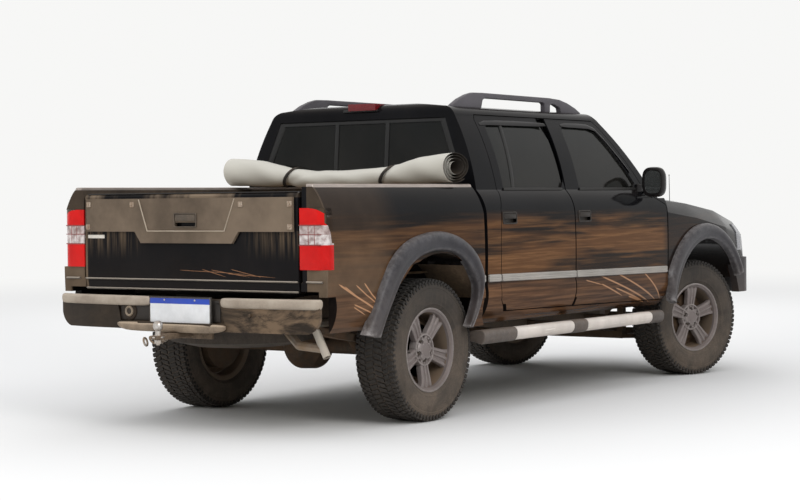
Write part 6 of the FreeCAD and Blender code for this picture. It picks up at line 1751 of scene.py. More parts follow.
@dataclass
class Hitch:
    """Drawbar with its ball, chain rings and electric plug."""

    ball: Point = (-1.210, 0.0, 0.546)

    def build(self) -> None:
        """Build the hitch and the tail pipe."""
        x, y, z = self.ball
        beam = slab("beam", (-0.984, -0.150, 0.470), (-0.960, 0.150, 0.5595), 0.004)
        bar = Bench.side_prism("bar", [(-0.965, 0.482), (-0.965, 0.508), (-1.150, 0.504),
                                       (-1.243, 0.498), (-1.243, 0.480), (-1.14, 0.476)],
                               -0.031, 0.031)
        Bench.bevel(bar, 0.004, 2)
        webs = [Bench.side_prism("web", [(-0.984, 0.508), (-0.984, 0.552), (-1.070, 0.508)],
                                 side * 0.030 - 0.003, side * 0.030 + 0.003) for side in (-1, 1)]
        body = Bench.join([beam, bar] + webs, "hitch_bar")
        dress(body, Paints.HITCH, "root", ["tow_hitch"])
        foot = [(0.0, 0.0), (0.0, 0.034), (0.006, 0.034), (0.010, 0.028), (0.012, 0.016),
                (0.030, 0.0135), (0.034, 0.0135), (0.038, 0.0165), (0.043, 0.0205),
                (0.050, 0.0238), (0.058, 0.0248), (0.066, 0.0238), (0.074, 0.0205),
                (0.081, 0.0145), (0.0835, 0.010), (0.0835, 0.0)]
        ball = Bench.spun("tow_ball", foot, 48, closed=False)
        dress(moved(ball, (x, y, z - 0.058), 90, "X"), Paints.CHROME, angle=40)
        nut = Bench.rod("ball_nut", (x, y, 0.478), (x, y, 0.4585), 0.019, 6)
        stud = Bench.rod("stud", (x, y, 0.480), (x, y, 0.451), 0.0105, 20)
        dress(Bench.bevel(Bench.join([nut, stud], "ball_nut"), 0.0015, 1), Paints.CHROME)
        links = (((-1.135, 0.052, 0.474), (1.1, 0.2, 0.3)),
                 ((-1.150, 0.090, 0.470), (0.4, 0.9, 0.3)),
                 ((-1.165, 0.125, 0.461), (1.3, 0.1, 0.3)))
        rings = [Bench.ring("ring", at, 0.020, 0.0055, turn, 28, 10) for at, turn in links]
        eye = Bench.ring("eye", (-1.120, 0.036, 0.482), 0.016, 0.006, (math.pi / 2, 0.0, 0.0), 28,
                         10)
        dress(Bench.join(rings + [eye], "chain_rings"), Paints.HITCH_BRIGHT)
        plug = Bench.rod("plug", (-1.086, 0.085, 0.505), (-1.03, 0.080, 0.508), 0.024, 24)
        lid = Bench.rod("lid", (-1.094, 0.086, 0.5045), (-1.084, 0.085, 0.505), 0.027, 24)
        arm = slab("arm", (-1.06, 0.078, 0.505), (-0.975, 0.086, 0.535), 0.002)
        dress(Bench.bevel(Bench.join([plug, lid, arm], "trailer_plug"), 0.0015, 1), Paints.HITCH)
        pipe = Bench.from_node("exhaust", "exhaust_line")
        dress(pipe, Paints.EXHAUST, "root", ["exhaust"])
        tip = tube("tail_pipe_tip", [(-0.872, -0.722, 0.520), (-0.877, -0.742, 0.490),
                                     (-0.881, -0.764, 0.452), (-0.886, -0.798, 0.398)], 0.0200, 24)
        bore = Bench.rod("bore", (-0.8825, -0.774, 0.436), (-0.890, -0.822, 0.360), 0.0172, 24)
        dress(Bench.cut(tip, bore), Paints.TIP, angle=40)


# Sides

@dataclass
class SideTrim:
    """Mouldings, handles, deflectors, seals, mirrors, flares and steps."""

    handles: ClassVar[tuple] = (("door_rear_", 0.615, 0.765), ("door_front_", 1.446, 1.592))
    handle_z: ClassVar[float] = 1.050
    moulding_from: Pair = (0.43, 0.728)
    moulding_fall: float = 0.0108
    mirror_centre: Pair = (-0.9085, 1.249)
    arch_z: float = 0.385
    arch_lip: float = 0.495
    arch_edge: float = 0.598
    arch_turn: Pair = (168.5, 29.0)
    arch_rows: int = 49
    door_x: float = 2.569
    bed_front: float = 0.422
    steps_x: tuple[Pair, ...] = ((0.362, 0.700), (1.325, 1.485), (2.285, 2.440))

    def moulding(self, name: str, node: str, start: float, end: float, body: str) -> None:
        """Ribbed strip along one panel, following its surface."""
        count = max(3, int((end - start) / 0.08))
        xs = [start + (end - start) * i / count for i in range(count + 1)]
        xs = [start, start + 0.006] + xs[1:-1] + [end - 0.006, end]
        path = []
        for x in xs:
            z = self.moulding_from[1] - self.moulding_fall * (x - self.moulding_from[0])
            path.append((x, Surface.beside(node, x, z, -0.862), z))
        section = [(-0.004, -0.0205), (0.006, -0.0200), (0.0105, -0.0170), (0.0115, -0.0125),
                   (0.0095, -0.0090), (0.0120, -0.0060), (0.0095, -0.0030), (0.0095, 0.0030),
                   (0.0120, 0.0060), (0.0095, 0.0090), (0.0115, 0.0125), (0.0105, 0.0170),
                   (0.006, 0.0200), (-0.004, 0.0205)]
        scales = [0.80] + [1.0] * (len(path) - 2) + [0.80]
        piece = sweep(name, path, [(0, -1, 0)] * len(path), section, scales=scales)
        both(piece, name, Paints.MOULDING, body, angle=35)

    def mouldings(self) -> None:
        """One strip for each panel between the arches."""
        for name, node, start, end, body in (
                ("bed_moulding", "cargo_bed", 0.398, 0.428, "root"),
                ("sill_moulding", "cab_shell", 0.464, 0.585, "root"),
                ("rear_door_moulding", "door_rear_right", 0.600, 1.402, "door_rear_{side}"),
                ("front_door_moulding", "door_front_right", 1.417, 2.548, "door_front_{side}")):
            self.moulding(name, node, start, end, body)

    def handle(self, door: str, start: float, end: float) -> None:
        """Recessed pull with its frame and flap."""
        middle, half, mid_z = (start + end) / 2, (end - start) / 2, self.handle_z
        y, top, foot = (Surface.beside(door + "right", middle, mid_z + up)
                        for up in (0.0, 0.025, -0.025))
        lean = (top - foot) / 0.05
        inner = rounded(half - 0.009, 0.026, 0.008, at=(middle, mid_z))
        rim = Bench.side_prism("rim", rounded(half, 0.034, 0.012, at=(middle, mid_z)),
                               y - 0.004, y + 0.010)
        Bench.bevel(Bench.cut(rim, Bench.side_prism("hole", inner, y - 0.03, y + 0.03)), 0.002, 2)
        flap = Bench.side_prism("flap", rounded(half - 0.012, 0.0145, 0.006, at=(middle, 1.0595)),
                                y - 0.005, y + 0.005)
        well = Bench.side_prism("well", inner, y + 0.018, y + 0.0205)
        whole = Bench.join([rim, Bench.bevel(flap, 0.003, 3), well], "handle")
        for vertex in whole.data.vertices:
            vertex.co.y += lean * (vertex.co.z - mid_z)
        both(whole, door + "handle", Paints.HANDLE, door + "{side}")

    def deflectors(self) -> None:
        """Dark rain deflectors over the side windows."""
        for name, node, points in (
                ("rear_deflector", "door_rear", ((0.700, 1.572, 0.5), (0.76, 1.582, 0.9),
                                                 (0.90, 1.586, 1.0), (1.10, 1.588, 1.0),
                                                 (1.30, 1.588, 0.95), (1.400, 1.586, 0.6))),
                ("front_deflector", "door_front", ((1.600, 1.588, 0.5), (1.66, 1.592, 0.9),
                                                   (1.80, 1.593, 1.0), (1.93, 1.590, 1.0),
                                                   (1.995, 1.574, 0.9), (2.06, 1.512, 0.8),
                                                   (2.16, 1.405, 0.8), (2.245, 1.312, 0.45)))):
            section = [(0.000, 0.010), (0.005, 0.008), (0.014, -0.005), (0.019, -0.018),
                       (0.017, -0.0190), (0.011, -0.007), (0.001, 0.004), (-0.003, 0.008)]
            rows = []
            for x, z, grow in points:
                y = Surface.beside(node + "_right", x, z + 0.012, -0.66)
                rows.append([(x, y - a * (0.55 + 0.45 * grow), z + b * grow) for a, b in section])
            piece = Bench.skin(name, rows, wrap=True, caps=True)
            both(piece, name, Paints.DEFLECTOR, node + "_{side}", angle=50)

    def seals(self) -> None:
        """Belt seals and the divider of the rear side window."""
        for name, node, start, end in (("rear_belt_seal", "door_rear", 0.735, 1.372),
                                       ("front_belt_seal", "door_front", 1.578, 2.268)):
            xs = [start + (end - start) * i / 8 for i in range(9)]
            path = [(x, Surface.beside(node + "_right", x, 1.203, -0.80), 1.209) for x in xs]
            section = [(-0.012, -0.006), (0.003, -0.007), (0.0045, 0.000), (0.002, 0.007),
                       (-0.012, 0.008)]
            both(sweep(name, path, [(0, -1, 0)] * 9, section), name, Paints.RUBBER,
                 node + "_{side}", angle=50)
        rows = []
        for i in range(7):
            share = i / 6
            x, z = 0.857 + share * (0.926 - 0.857), 1.210 + share * 0.360
            y = Surface.beside("glass_rear_right", x, min(max(z, 1.216), 1.566), -0.74)
            rows.append([(x + a, y + b, z) for a, b in ((-0.014, 0.003), (-0.013, -0.005),
                                                        (-0.009, -0.0075), (0.009, -0.0075),
                                                        (0.013, -0.005), (0.014, 0.003))])
        both(Bench.skin("window_divider", rows, wrap=True, caps=True), "window_divider",
             Paints.RUBBER, "door_rear_{side}", angle=50)

    def mirror(self) -> None:
        """Rounded housing with its foot, glass and seam."""
        rows = []
        y, z = self.mirror_centre
        for x, wide, high, shift in ((2.282, 0.066, 0.080, 0.0), (2.286, 0.073, 0.088, 0.0),
                                     (2.298, 0.0765, 0.092, 0.0), (2.318, 0.076, 0.092, -0.001),
                                     (2.340, 0.070, 0.086, -0.003), (2.358, 0.056, 0.072, -0.006),
                                     (2.369, 0.034, 0.048, -0.009), (2.3725, 0.012, 0.018, -0.01)):
            rows.append([(x, y - shift + wide * a, z + shift + high * b)
                         for a, b in soft_oval()])
        head = Bench.skin("head", rows, wrap=True, caps=True)
        Bench.pick(head, "FACE", lambda p: p.center.x < 2.283)
        bpy.ops.mesh.inset(thickness=0.008, depth=0.0)
        bpy.ops.mesh.extrude_region_move(TRANSFORM_OT_translate={"value": (0.006, 0, 0)})
        Bench.close()
        neck = [[(px, py, pz) for px, pz in outline] for py, outline in (
            (-0.795, [(2.262, 1.178), (2.352, 1.176), (2.340, 1.236), (2.282, 1.240)]),
            (-0.822, [(2.268, 1.186), (2.350, 1.184), (2.338, 1.234), (2.286, 1.238)]),
            (-0.848, [(2.286, 1.190), (2.346, 1.188), (2.338, 1.230), (2.292, 1.234)]))]
        foot = Bench.bevel(Bench.loft("foot", neck), 0.008, 3)
        housing = Bench.join([head, foot], "mirror")
        both(housing, "mirror_housing", Paints.MIRROR, "door_front_{side}", angle=40)
        glass = [(2.2865, y + 0.057 * a, z + 0.071 * b) for a, b in soft_oval()]
        pane = Bench.prism("pane", glass, (0.003, 0.0, 0.0))
        both(Bench.bevel(pane, 0.0012, 1), "mirror_glass", Paints.MIRROR_GLASS,
             "door_front_{side}")

    def flares(self) -> None:
        """Rounded arch flares, and the painted corner ahead of the rear arch."""
        outer = flowing(((-0.690, 0.497), (-0.612, 0.610), (-0.532, 0.745), (-0.450, 0.856),
                         (-0.335, 0.934), (-0.180, 0.978), (-0.008, 0.990), (0.150, 0.962),
                         (0.290, 0.893), (0.368, 0.805), (0.388, 0.729), (0.364, 0.644),
                         (0.310, 0.547), (0.254, 0.476)), 4)
        inner = flowing(((-0.560, 0.475), (-0.512, 0.560), (-0.446, 0.655), (-0.368, 0.756),
                         (-0.272, 0.832), (-0.150, 0.877), (-0.006, 0.890), (0.130, 0.868),
                         (0.234, 0.812), (0.300, 0.735), (0.322, 0.690), (0.316, 0.625),
                         (0.276, 0.545), (0.236, 0.484)), 4)
        rear = Bench.skin("flare", [self.flare_section(*pair) for pair in zip(outer, inner)],
                          wrap=True, caps=True)
        both(rear, "rear_arch_flare", Paints.FLARE, "root", ["wheel_flares"], 60)
        rows = []
        first, last = self.arch_turn
        for index in range(self.arch_rows):
            turn = math.radians(first - (first - last) * index / (self.arch_rows - 1))
            far = self.arch_edge - 0.030 * math.cos(turn)
            edge, lip = ((WHEELBASE + r * math.cos(turn), self.arch_z + r * math.sin(turn))
                         for r in (far, self.arch_lip))
            rows.append(self.flare_section((max(self.door_x, edge[0]), edge[1]), lip))
        front = Bench.skin("flare", rows, wrap=True, caps=True)
        both(front, "front_arch_flare", Paints.FLARE, angle=60)
        rows = []
        for x, z in ((0.345, 0.745), (0.345, 0.700), (0.335, 0.640), (0.300, 0.570),
                     (0.268, 0.515), (0.246, 0.478)):
            y = min(Surface.beside("cargo_bed", -0.72, z, -0.86), -0.850)
            rows.append([(x, y, z), (self.bed_front, y, z),
                         (self.bed_front + 0.0055, y + 0.006, z),
                         (self.bed_front + 0.0055, y + 0.014, z), (x, y + 0.012, z)])
        corner = Bench.skin("corner", rows, wrap=True, caps=True)
        both(corner, "arch_corner", Paints.BODY, angle=40)

    def flare_section(self, edge: Pair, lip: Pair) -> list[Point]:
        """Rounded section of a flare between its outer edge and its lip, both (x, z)."""
        section = ((0.02, 0.850), (0.0, 0.872), (0.05, 0.8885), (0.15, 0.8990), (0.30, 0.9045),
                   (0.48, 0.9040), (0.62, 0.8980), (0.72, 0.8950), (0.82, 0.8965), (0.91, 0.8930),
                   (0.97, 0.8840), (1.0, 0.868), (0.98, 0.846), (0.5, 0.846))
        return [(edge[0] + s * (lip[0] - edge[0]), -y, edge[1] + s * (lip[1] - edge[1]))
                for s, y in section]

    def step(self) -> None:
        """Alloy boards with three moulded caps and tread grooves."""
        def outline(grow: float) -> list[Pair]:
            """Section of a board, grown by a margin."""
            inner, outer, low, high = 0.801 - grow, 0.905 + grow, 0.378 - grow, 0.455 + grow
            points = [(inner, low + 0.018), (outer - 0.028, low)]
            points += through((outer - 0.028, low), (outer - 0.004, low + 0.020),
                              (outer, low + 0.040), 5)
            points += through((outer, low + 0.040), (outer - 0.006, high - 0.010),
                              (outer - 0.028, high), 5)
            return points + [(inner, high - 0.006)]

        boards, caps = [], []
        for (_, start), (end, _) in zip(self.steps_x, self.steps_x[1:]):
            board = Bench.cross_prism("board", [(-y, z) for y, z in outline(-0.003)],
                                      start - 0.01, end + 0.01)
            for y in (0.815, 0.829, 0.843, 0.857, 0.871):
                groove = Bench.box("groove", (start - 0.02, -y - 0.0025, 0.4495),
                                   (end + 0.02, -y + 0.0025, 0.46))
                Bench.cut(board, groove)
            boards.append(board)
        for start, end in self.steps_x:
            cap = Bench.cross_prism("cap", [(-y, z) for y, z in outline(0.0)], start, end)
            caps.append(Bench.bevel(cap, 0.007, 3, 40))
        alloy = Bench.join(boards, "boards")
        both(alloy, "step_boards", Paints.STEP, "root", ["side_steps"], 25)
        both(Bench.join(caps, "caps"), "step_caps", Paints.STEP_CAP, angle=35)
        brackets = [Bench.side_prism("bracket", [(x - 0.022, 0.404), (x + 0.022, 0.404),
                                                 (x + 0.018, 0.434), (x - 0.018, 0.434)],
                                     -0.82, -0.485) for x in (0.82, 1.50, 2.18)]
        both(Bench.bevel(Bench.join(brackets, "brackets"), 0.003, 1), "step_brackets",
             Paints.FRAME)

    def build(self) -> None:
        """Build all of it."""
        self.mouldings()
        for row in self.handles:
            self.handle(*row)
        self.deflectors()
        self.seals()
        self.mirror()
        self.flares()
        self.step()


# Roof and windows

@dataclass
class Roof:
    """Roof rails, window frames, dividers and aerial."""

    half_track: float = 0.548
    wide: float = 0.034
    bars_y: Pair = (-0.186, 0.164)
    aerial_at: Pair = (2.93, -0.700)
    aerial_top: float = 1.295

    def rail(self) -> None:
        """Raised rail with tapered ends and an open middle."""
        outer = [(0.580, 1.655), (0.588, 1.676), (0.660, 1.712), (0.740, 1.739), (0.800, 1.7515),
                 (0.900, 1.754), (1.640, 1.752), (1.760, 1.746), (1.850, 1.729), (1.940, 1.702),
                 (2.004, 1.676), (2.010, 1.655)]
        y = -self.half_track
        rail = Bench.side_prism("rail", outer, y - self.wide / 2, y + self.wide / 2)
        for opening in ([(0.86, 1.60), (0.90, 1.7135), (0.925, 1.7235), (1.560, 1.7215),
                         (1.580, 1.713), (1.585, 1.60)],
                        [(1.640, 1.60), (1.645, 1.708), (1.660, 1.7165), (1.700, 1.713),
                         (1.760, 1.695), (1.790, 1.60)]):
            tool = Bench.side_prism("opening", opening, y - 0.1, y + 0.1)
            Bench.cut(rail, tool)
        for vertex in rail.data.vertices:
            if vertex.co.z > 1.70:
                vertex.co.y = y + (vertex.co.y - y) * (1.0 - 2.2 * (vertex.co.z - 1.70))
        Bench.bevel(rail, 0.006, 3, 35)
        both(rail, "roof_rail", Paints.RAIL, "root", ["roof_rails"], 40)

    def rear_window(self) -> None:
        """Rubber frame and dividers of the back window."""
        def on_glass(y: float, z: float, out: float) -> Point:
            """Point on the back window, lifted off it."""
            return (Surface.behind("fixed_glass", y, z, 0.50) - out, y, z)

        outline = [(-0.690, 1.276), (0.690, 1.276), (0.566, 1.594), (-0.566, 1.594)]
        rows = []
        steps = 10
        points = []
        for index, corner in enumerate(outline):
            after = outline[(index + 1) % 4]
            points += [(corner[0] + (after[0] - corner[0]) * i / steps,
                        corner[1] + (after[1] - corner[1]) * i / steps) for i in range(steps)]
        middle = (0.0, 1.43)
        for y, z in points:
            dy, dz = y - middle[0], z - middle[1]
            row = []
            for grow, out in ((1.030, 0.000), (1.030, 0.006), (1.010, 0.009), (0.965, 0.008),
                              (0.955, 0.003), (0.955, -0.001)):
                base = on_glass(middle[0] + 0.95 * dy, middle[1] + 0.95 * dz, out)
                row.append((base[0] + 0.37 * 0.05 * dz, middle[0] + grow * dy,
                            middle[1] + (1 + 1.8 * (grow - 1)) * dz))
            rows.append(row)
        rows.append(rows[0])
        dress(Bench.skin("back_window_seal", rows, wrap=True), Paints.RUBBER, angle=40)
        bars = []
        section = ((-0.013, 0.004), (-0.012, -0.005), (-0.008, -0.008), (0.008, -0.008),
                   (0.012, -0.005), (0.013, 0.004))
        for y in self.bars_y:
            rows = []
            for i in range(9):
                z = 1.282 + i * 0.308 / 8
                base = on_glass(y, z, 0.0)
                rows.append([(base[0] + b, y + a, z) for a, b in section])
            bars.append(Bench.skin("bar", rows, wrap=True, caps=True))
        dress(Bench.join(bars, "back_window_bars"), Paints.RUBBER, angle=40)

    def aerial(self) -> None:
        """Whip aerial on its base."""
        x, y = self.aerial_at
        z = Surface.above("front_wings", x, y, 1.10)
        base = Bench.rod("base", (x, y, z - 0.006), (x - 0.002, y, z + 0.020), 0.016, 24,
                         end_radius=0.009)
        mast = Bench.rod("mast", (x - 0.002, y, z + 0.015), (x - 0.014, y, self.aerial_top),
                         0.0028, 12, end_radius=0.0018)
        tip = Bench.ball("tip", (x - 0.0145, y, self.aerial_top + 0.002), 0.004, rings=8)
        dress(Bench.join([base, mast, tip], "aerial"), Paints.RUBBER)

    def build(self) -> None:
        """Build all of it."""
        self.rail()
        self.rear_window()
        self.aerial()


# Bed

@dataclass
class Bed:
    """Rail strips, floor ribs and the rolled cover with its straps."""

    middle_x: float = 0.312
    radius: float = 0.072
    half: float = 0.780
    floor: float = 1.242
    cover: Pair = (1.56, 1.148)
    straps_y: Pair = (0.345, -0.335)
    turns: float = 3.55
    core: float = 0.030
    rail_y: float = 0.765
    rail_z: float = 1.2215
    ribs: int = 11
    rib_pitch: float = 0.11

    def rails(self) -> None:
        """Cover rails along the bed's top edges."""
        section = [(-0.021, 0.000), (-0.021, 0.011), (-0.017, 0.0145), (0.010, 0.0145),
                   (0.018, 0.011), (0.021, 0.004), (0.023, -0.008), (0.019, -0.010),
                   (0.016, 0.000)]
        xs = [-0.972, -0.968, -0.5, 0.0, 0.424, 0.428]
        scales = [0.85, 1.0, 1.0, 1.0, 1.0, 0.85]
        path = [(x, -self.rail_y, self.rail_z) for x in xs]
        strip = sweep("strip", path, [(0, -1, 0)] * 6, section, scales=scales)
        both(strip, "bed_rail", Paints.BED_RAIL, "root", ["bed_rails"], 30)
        front = slab("front_cover_rail", (0.398, -0.748, self.rail_z),
                     (0.426, 0.748, self.rail_z + 0.013), 0.003)
        dress(front, Paints.BED_RAIL)

    def floor_ribs(self) -> None:
        """Raised ribs along the bed's floor."""
        ribs = []
        for index in range(self.ribs):
            y = self.rib_pitch * (index - (self.ribs - 1) / 2)
            rib = Bench.cross_prism("rib", [(y - 0.026, 0.759), (y - 0.018, 0.770),
                                            (y + 0.018, 0.770), (y + 0.026, 0.759)],
                                    -0.90, 0.385)
            ribs.append(Bench.bevel(rib, 0.003, 1))
        dress(Bench.join(ribs, "bed_floor_ribs"), Paints.BED_LINER)

    def sag(self, y: float) -> tuple[float, float, float]:
        """Drop, squash and sideways shift of the roll at a place along it."""
        share = max(0.0, 1.0 - abs(y / 0.55) ** 2.2)
        return 0.034 * share, 0.30 * share, 0.010 * math.sin(5.0 * y)

    def roll(self) -> None:
        """Spiral of vinyl, squashed in the middle and pinched under the straps."""
        steps, rows = 150, 58
        grid = []
        for i in range(rows + 1):
            y = -self.half + 2 * self.half * i / rows
            drop, squash, shift = self.sag(y)
            pinch = sum(0.10 * math.exp(-((y - s) / 0.030) ** 2) for s in self.straps_y)
            row = []
            for k in range(steps + 1):
                share = k / steps
                angle = -0.9 - 2 * math.pi * self.turns * (1.0 - share)
                swell = max(0.0, (abs(y) - 0.42) / 0.36)
                full = self.radius * (1.0 + 0.14 * swell)
                r = self.core + (full - self.core) * share ** 0.85
                flap = 0.004 * math.sin(9.0 * y + 1.7) * share
                fold = 0.0042 * math.sin(23.0 * y + 3.0 * angle) * (1 - pinch * 5) * share
                left = (y - 0.27 + 0.10 * math.sin(angle)) / 0.05
                right = (y + 0.43 + 0.08 * math.cos(angle)) / 0.04
                crease = 0.010 * share * math.exp(-left ** 2)
                crease += 0.007 * share * math.exp(-right ** 2)
                r = r * (1.0 - 0.9 * pinch * share) + flap * 0.4 + fold * 0.5 - crease
                bend = max(0.0, -y - 0.45) / 0.33
                across = r * (1.0 + 0.28 * squash) * math.cos(angle)
                row.append((self.middle_x + shift + across - 0.030 * bend * bend,
                            y - 0.40 * bend * across,
                            self.floor + self.radius * 1.02 - drop + 0.012 * swell * swell
                            + r * (1.0 - squash) * math.sin(angle) - self.radius * squash * 0.35))
            grid.append(row)
        cover = Bench.skin("rolled_cover", grid)
        rest, lowest = self.floor + 0.004, self.floor - 0.051
        for vertex in cover.data.vertices:
            if abs(vertex.co.y) > 0.735 and vertex.co.z < rest:
                vertex.co.z = rest - 0.1 * (rest - vertex.co.z)
            vertex.co.z = max(vertex.co.z, lowest)
        paint(cover, Paints.VINYL, Paints.VINYL_BACK)
        Bench.modify(cover, "SOLIDIFY", thickness=0.0022, offset=0.0, material_offset=1)
        for face in cover.data.polygons:
            if abs(face.normal.y) > 0.7 and abs(face.center.y) > 0.70:
                face.material_index = 1
        dress(cover, Paints.VINYL, "root", ["tonneau_roll"], 60)
        area = sum(face.area for face in cover.data.polygons) / 2
        log.info("rolled cover: area %.3f", area)
        self.cover = (2 * self.half, area / (2 * self.half))
        for at in self.straps_y:
            self.strap("strap_%s" % ("left" if at > 0 else "right"), at)

    def strap(self, name: str, y: float) -> None:
        """Band round the roll."""
        drop, squash, shift = self.sag(y)
        rows = []
        for k in range(33):
            angle = 2 * math.pi * k / 32
            r = self.radius * 0.945
            high = 1.0 - squash
            lean = -0.036 * math.sin(angle)
            centre = (self.middle_x + shift, y + lean,
                      self.floor + self.radius * 1.02 - drop - self.radius * squash * 0.35)
            row = []
            for out, wide in ((0.000, -0.011), (0.0030, -0.011), (0.0030, 0.011), (0.000, 0.011)):
                row.append((centre[0] + (r + out) * (1 + 0.28 * squash) * math.cos(angle),
                            centre[1] + wide, centre[2] + (r + out) * high * math.sin(angle)))
            rows.append(row)
        dress(Bench.skin(name, rows, wrap=True), Paints.STRAP, angle=40)

    def build(self) -> None:
        """Build all of it."""
        self.rails()
        self.floor_ribs()
        self.roll()


# Front

@dataclass
class Nose:
    """Headlamps, grille, bumper with fog lamps, and wipers."""

    def lamps(self) -> None:
        """Clear lenses over bright bowls."""
        carried("headlamps", "head_lenses", Paints.HEAD, 0.005, 2, 40)
        bowls = []
        for x, y, radius in ((3.905, -0.535, 0.062), (3.860, -0.665, 0.054)):
            bowl = Bench.spun("bowl", [(0.0, radius), (-0.004, radius + 0.004),
                                       (-0.030, 0.72 * radius), (-0.046, 0.34 * radius),
                                       (-0.048, 0.0), (-0.044, 0.0), (-0.041, 0.32 * radius),
                                       (-0.027, 0.68 * radius)], 48)
            bulb = Bench.ball("bulb", (0.0, -0.030, 0.0), 0.011, (1, 1.5, 1), 10)
            bowls.append(moved(Bench.join([bowl, bulb], "bowl"), (x, y, 0.880), -90, "Z"))
        both(Bench.join(bowls, "lamp_bowls"), "lamp_bowls", Paints.REFLECTOR, angle=50)

    def grille(self) -> None:
        """Bars with rounded edges over a dark mesh."""
        carried("grille", "grille_bars", Paints.GRILLE, 0.003, 2, 35)
        back = []
        for index in range(21):
            y = -0.42 + 0.042 * index
            back.append(Bench.box("upright", (3.868, y - 0.002, 0.770), (3.874, y + 0.002, 0.968)))
        for index in range(9):
            z = 0.782 + 0.0222 * index
            back.append(Bench.box("level", (3.864, -0.43, z - 0.0015), (3.869, 0.43, z + 0.0015)))
        dress(Bench.join(back, "grille_mesh"), Paints.TRIM)

    def bumper(self) -> None:
        """Front bumper with fog lamps and an intake screen."""
        Bench.even(carried("front_bumper", "front_bumper_skin", Paints.FRONT_BUMPER, 0.008, 3, 35))
        lamp = Bench.spun("fog", [(0.0, 0.0), (0.0, 0.036), (0.004, 0.040), (-0.012, 0.0435),
                                  (-0.050, 0.030), (-0.054, 0.0)], 48, closed=False)
        both(moved(lamp, (3.855, -0.600, 0.600), -90, "Z"), "fog_lamp", Paints.REFLECTOR, angle=40)
        bars = [slab("bar", (3.870, -0.415, z - 0.004), (3.892, 0.415, z + 0.004), 0.002, 1)
                for z in (0.562, 0.582, 0.602)]
        bars += [slab("post", (3.866, y - 0.004, 0.548), (3.878, y + 0.004, 0.616), 0.002, 1)
                 for y in (-0.28, -0.14, 0.0, 0.14, 0.28)]
        dress(Bench.join(bars, "intake_screen"), Paints.TRIM)

    def screen(self) -> None:
        """Both wipers, lying on the windscreen."""
        def on_glass(y: float, z: float, out: float) -> Point:
            """Point on the windscreen, lifted off it."""
            hit = Surface.tree("fixed_glass").ray_cast(Vector((4.0, y, z)), Vector((-1, 0, 0)))
            x = hit[0].x + ORIGIN_X if hit[0] else 2.4 - 1.28 * (z - 1.19)
            return (x + 0.6 * out, y, z + 0.8 * out)

        arms = []
        for foot, tip in ((0.52, -0.10), (-0.12, -0.66)):
            path = [on_glass(foot + (tip - foot) * i / 6, 1.226 + 0.008 * i, 0.012)
                    for i in range(7)]
            arms.append(tube("blade", path, 0.006, 8))
            start = on_glass(foot - 0.02, 1.220, 0.012)
            arms.append(tube("arm", [start, on_glass(foot - 0.18, 1.238, 0.022),
                                     on_glass(0.5 * (foot + tip), 1.252, 0.018)], 0.005, 8))
            arms.append(Bench.rod("pivot", (start[0] - 0.004, start[1], 1.208),
                                  (start[0] + 0.004, start[1], 1.226), 0.009, 16))
        dress(Bench.join(arms, "wipers"), Paints.RUBBER, angle=50)

    def build(self) -> None:
        """Build all of it."""
        self.lamps()
        self.grille()
        self.bumper()
        self.screen()


# Cabin

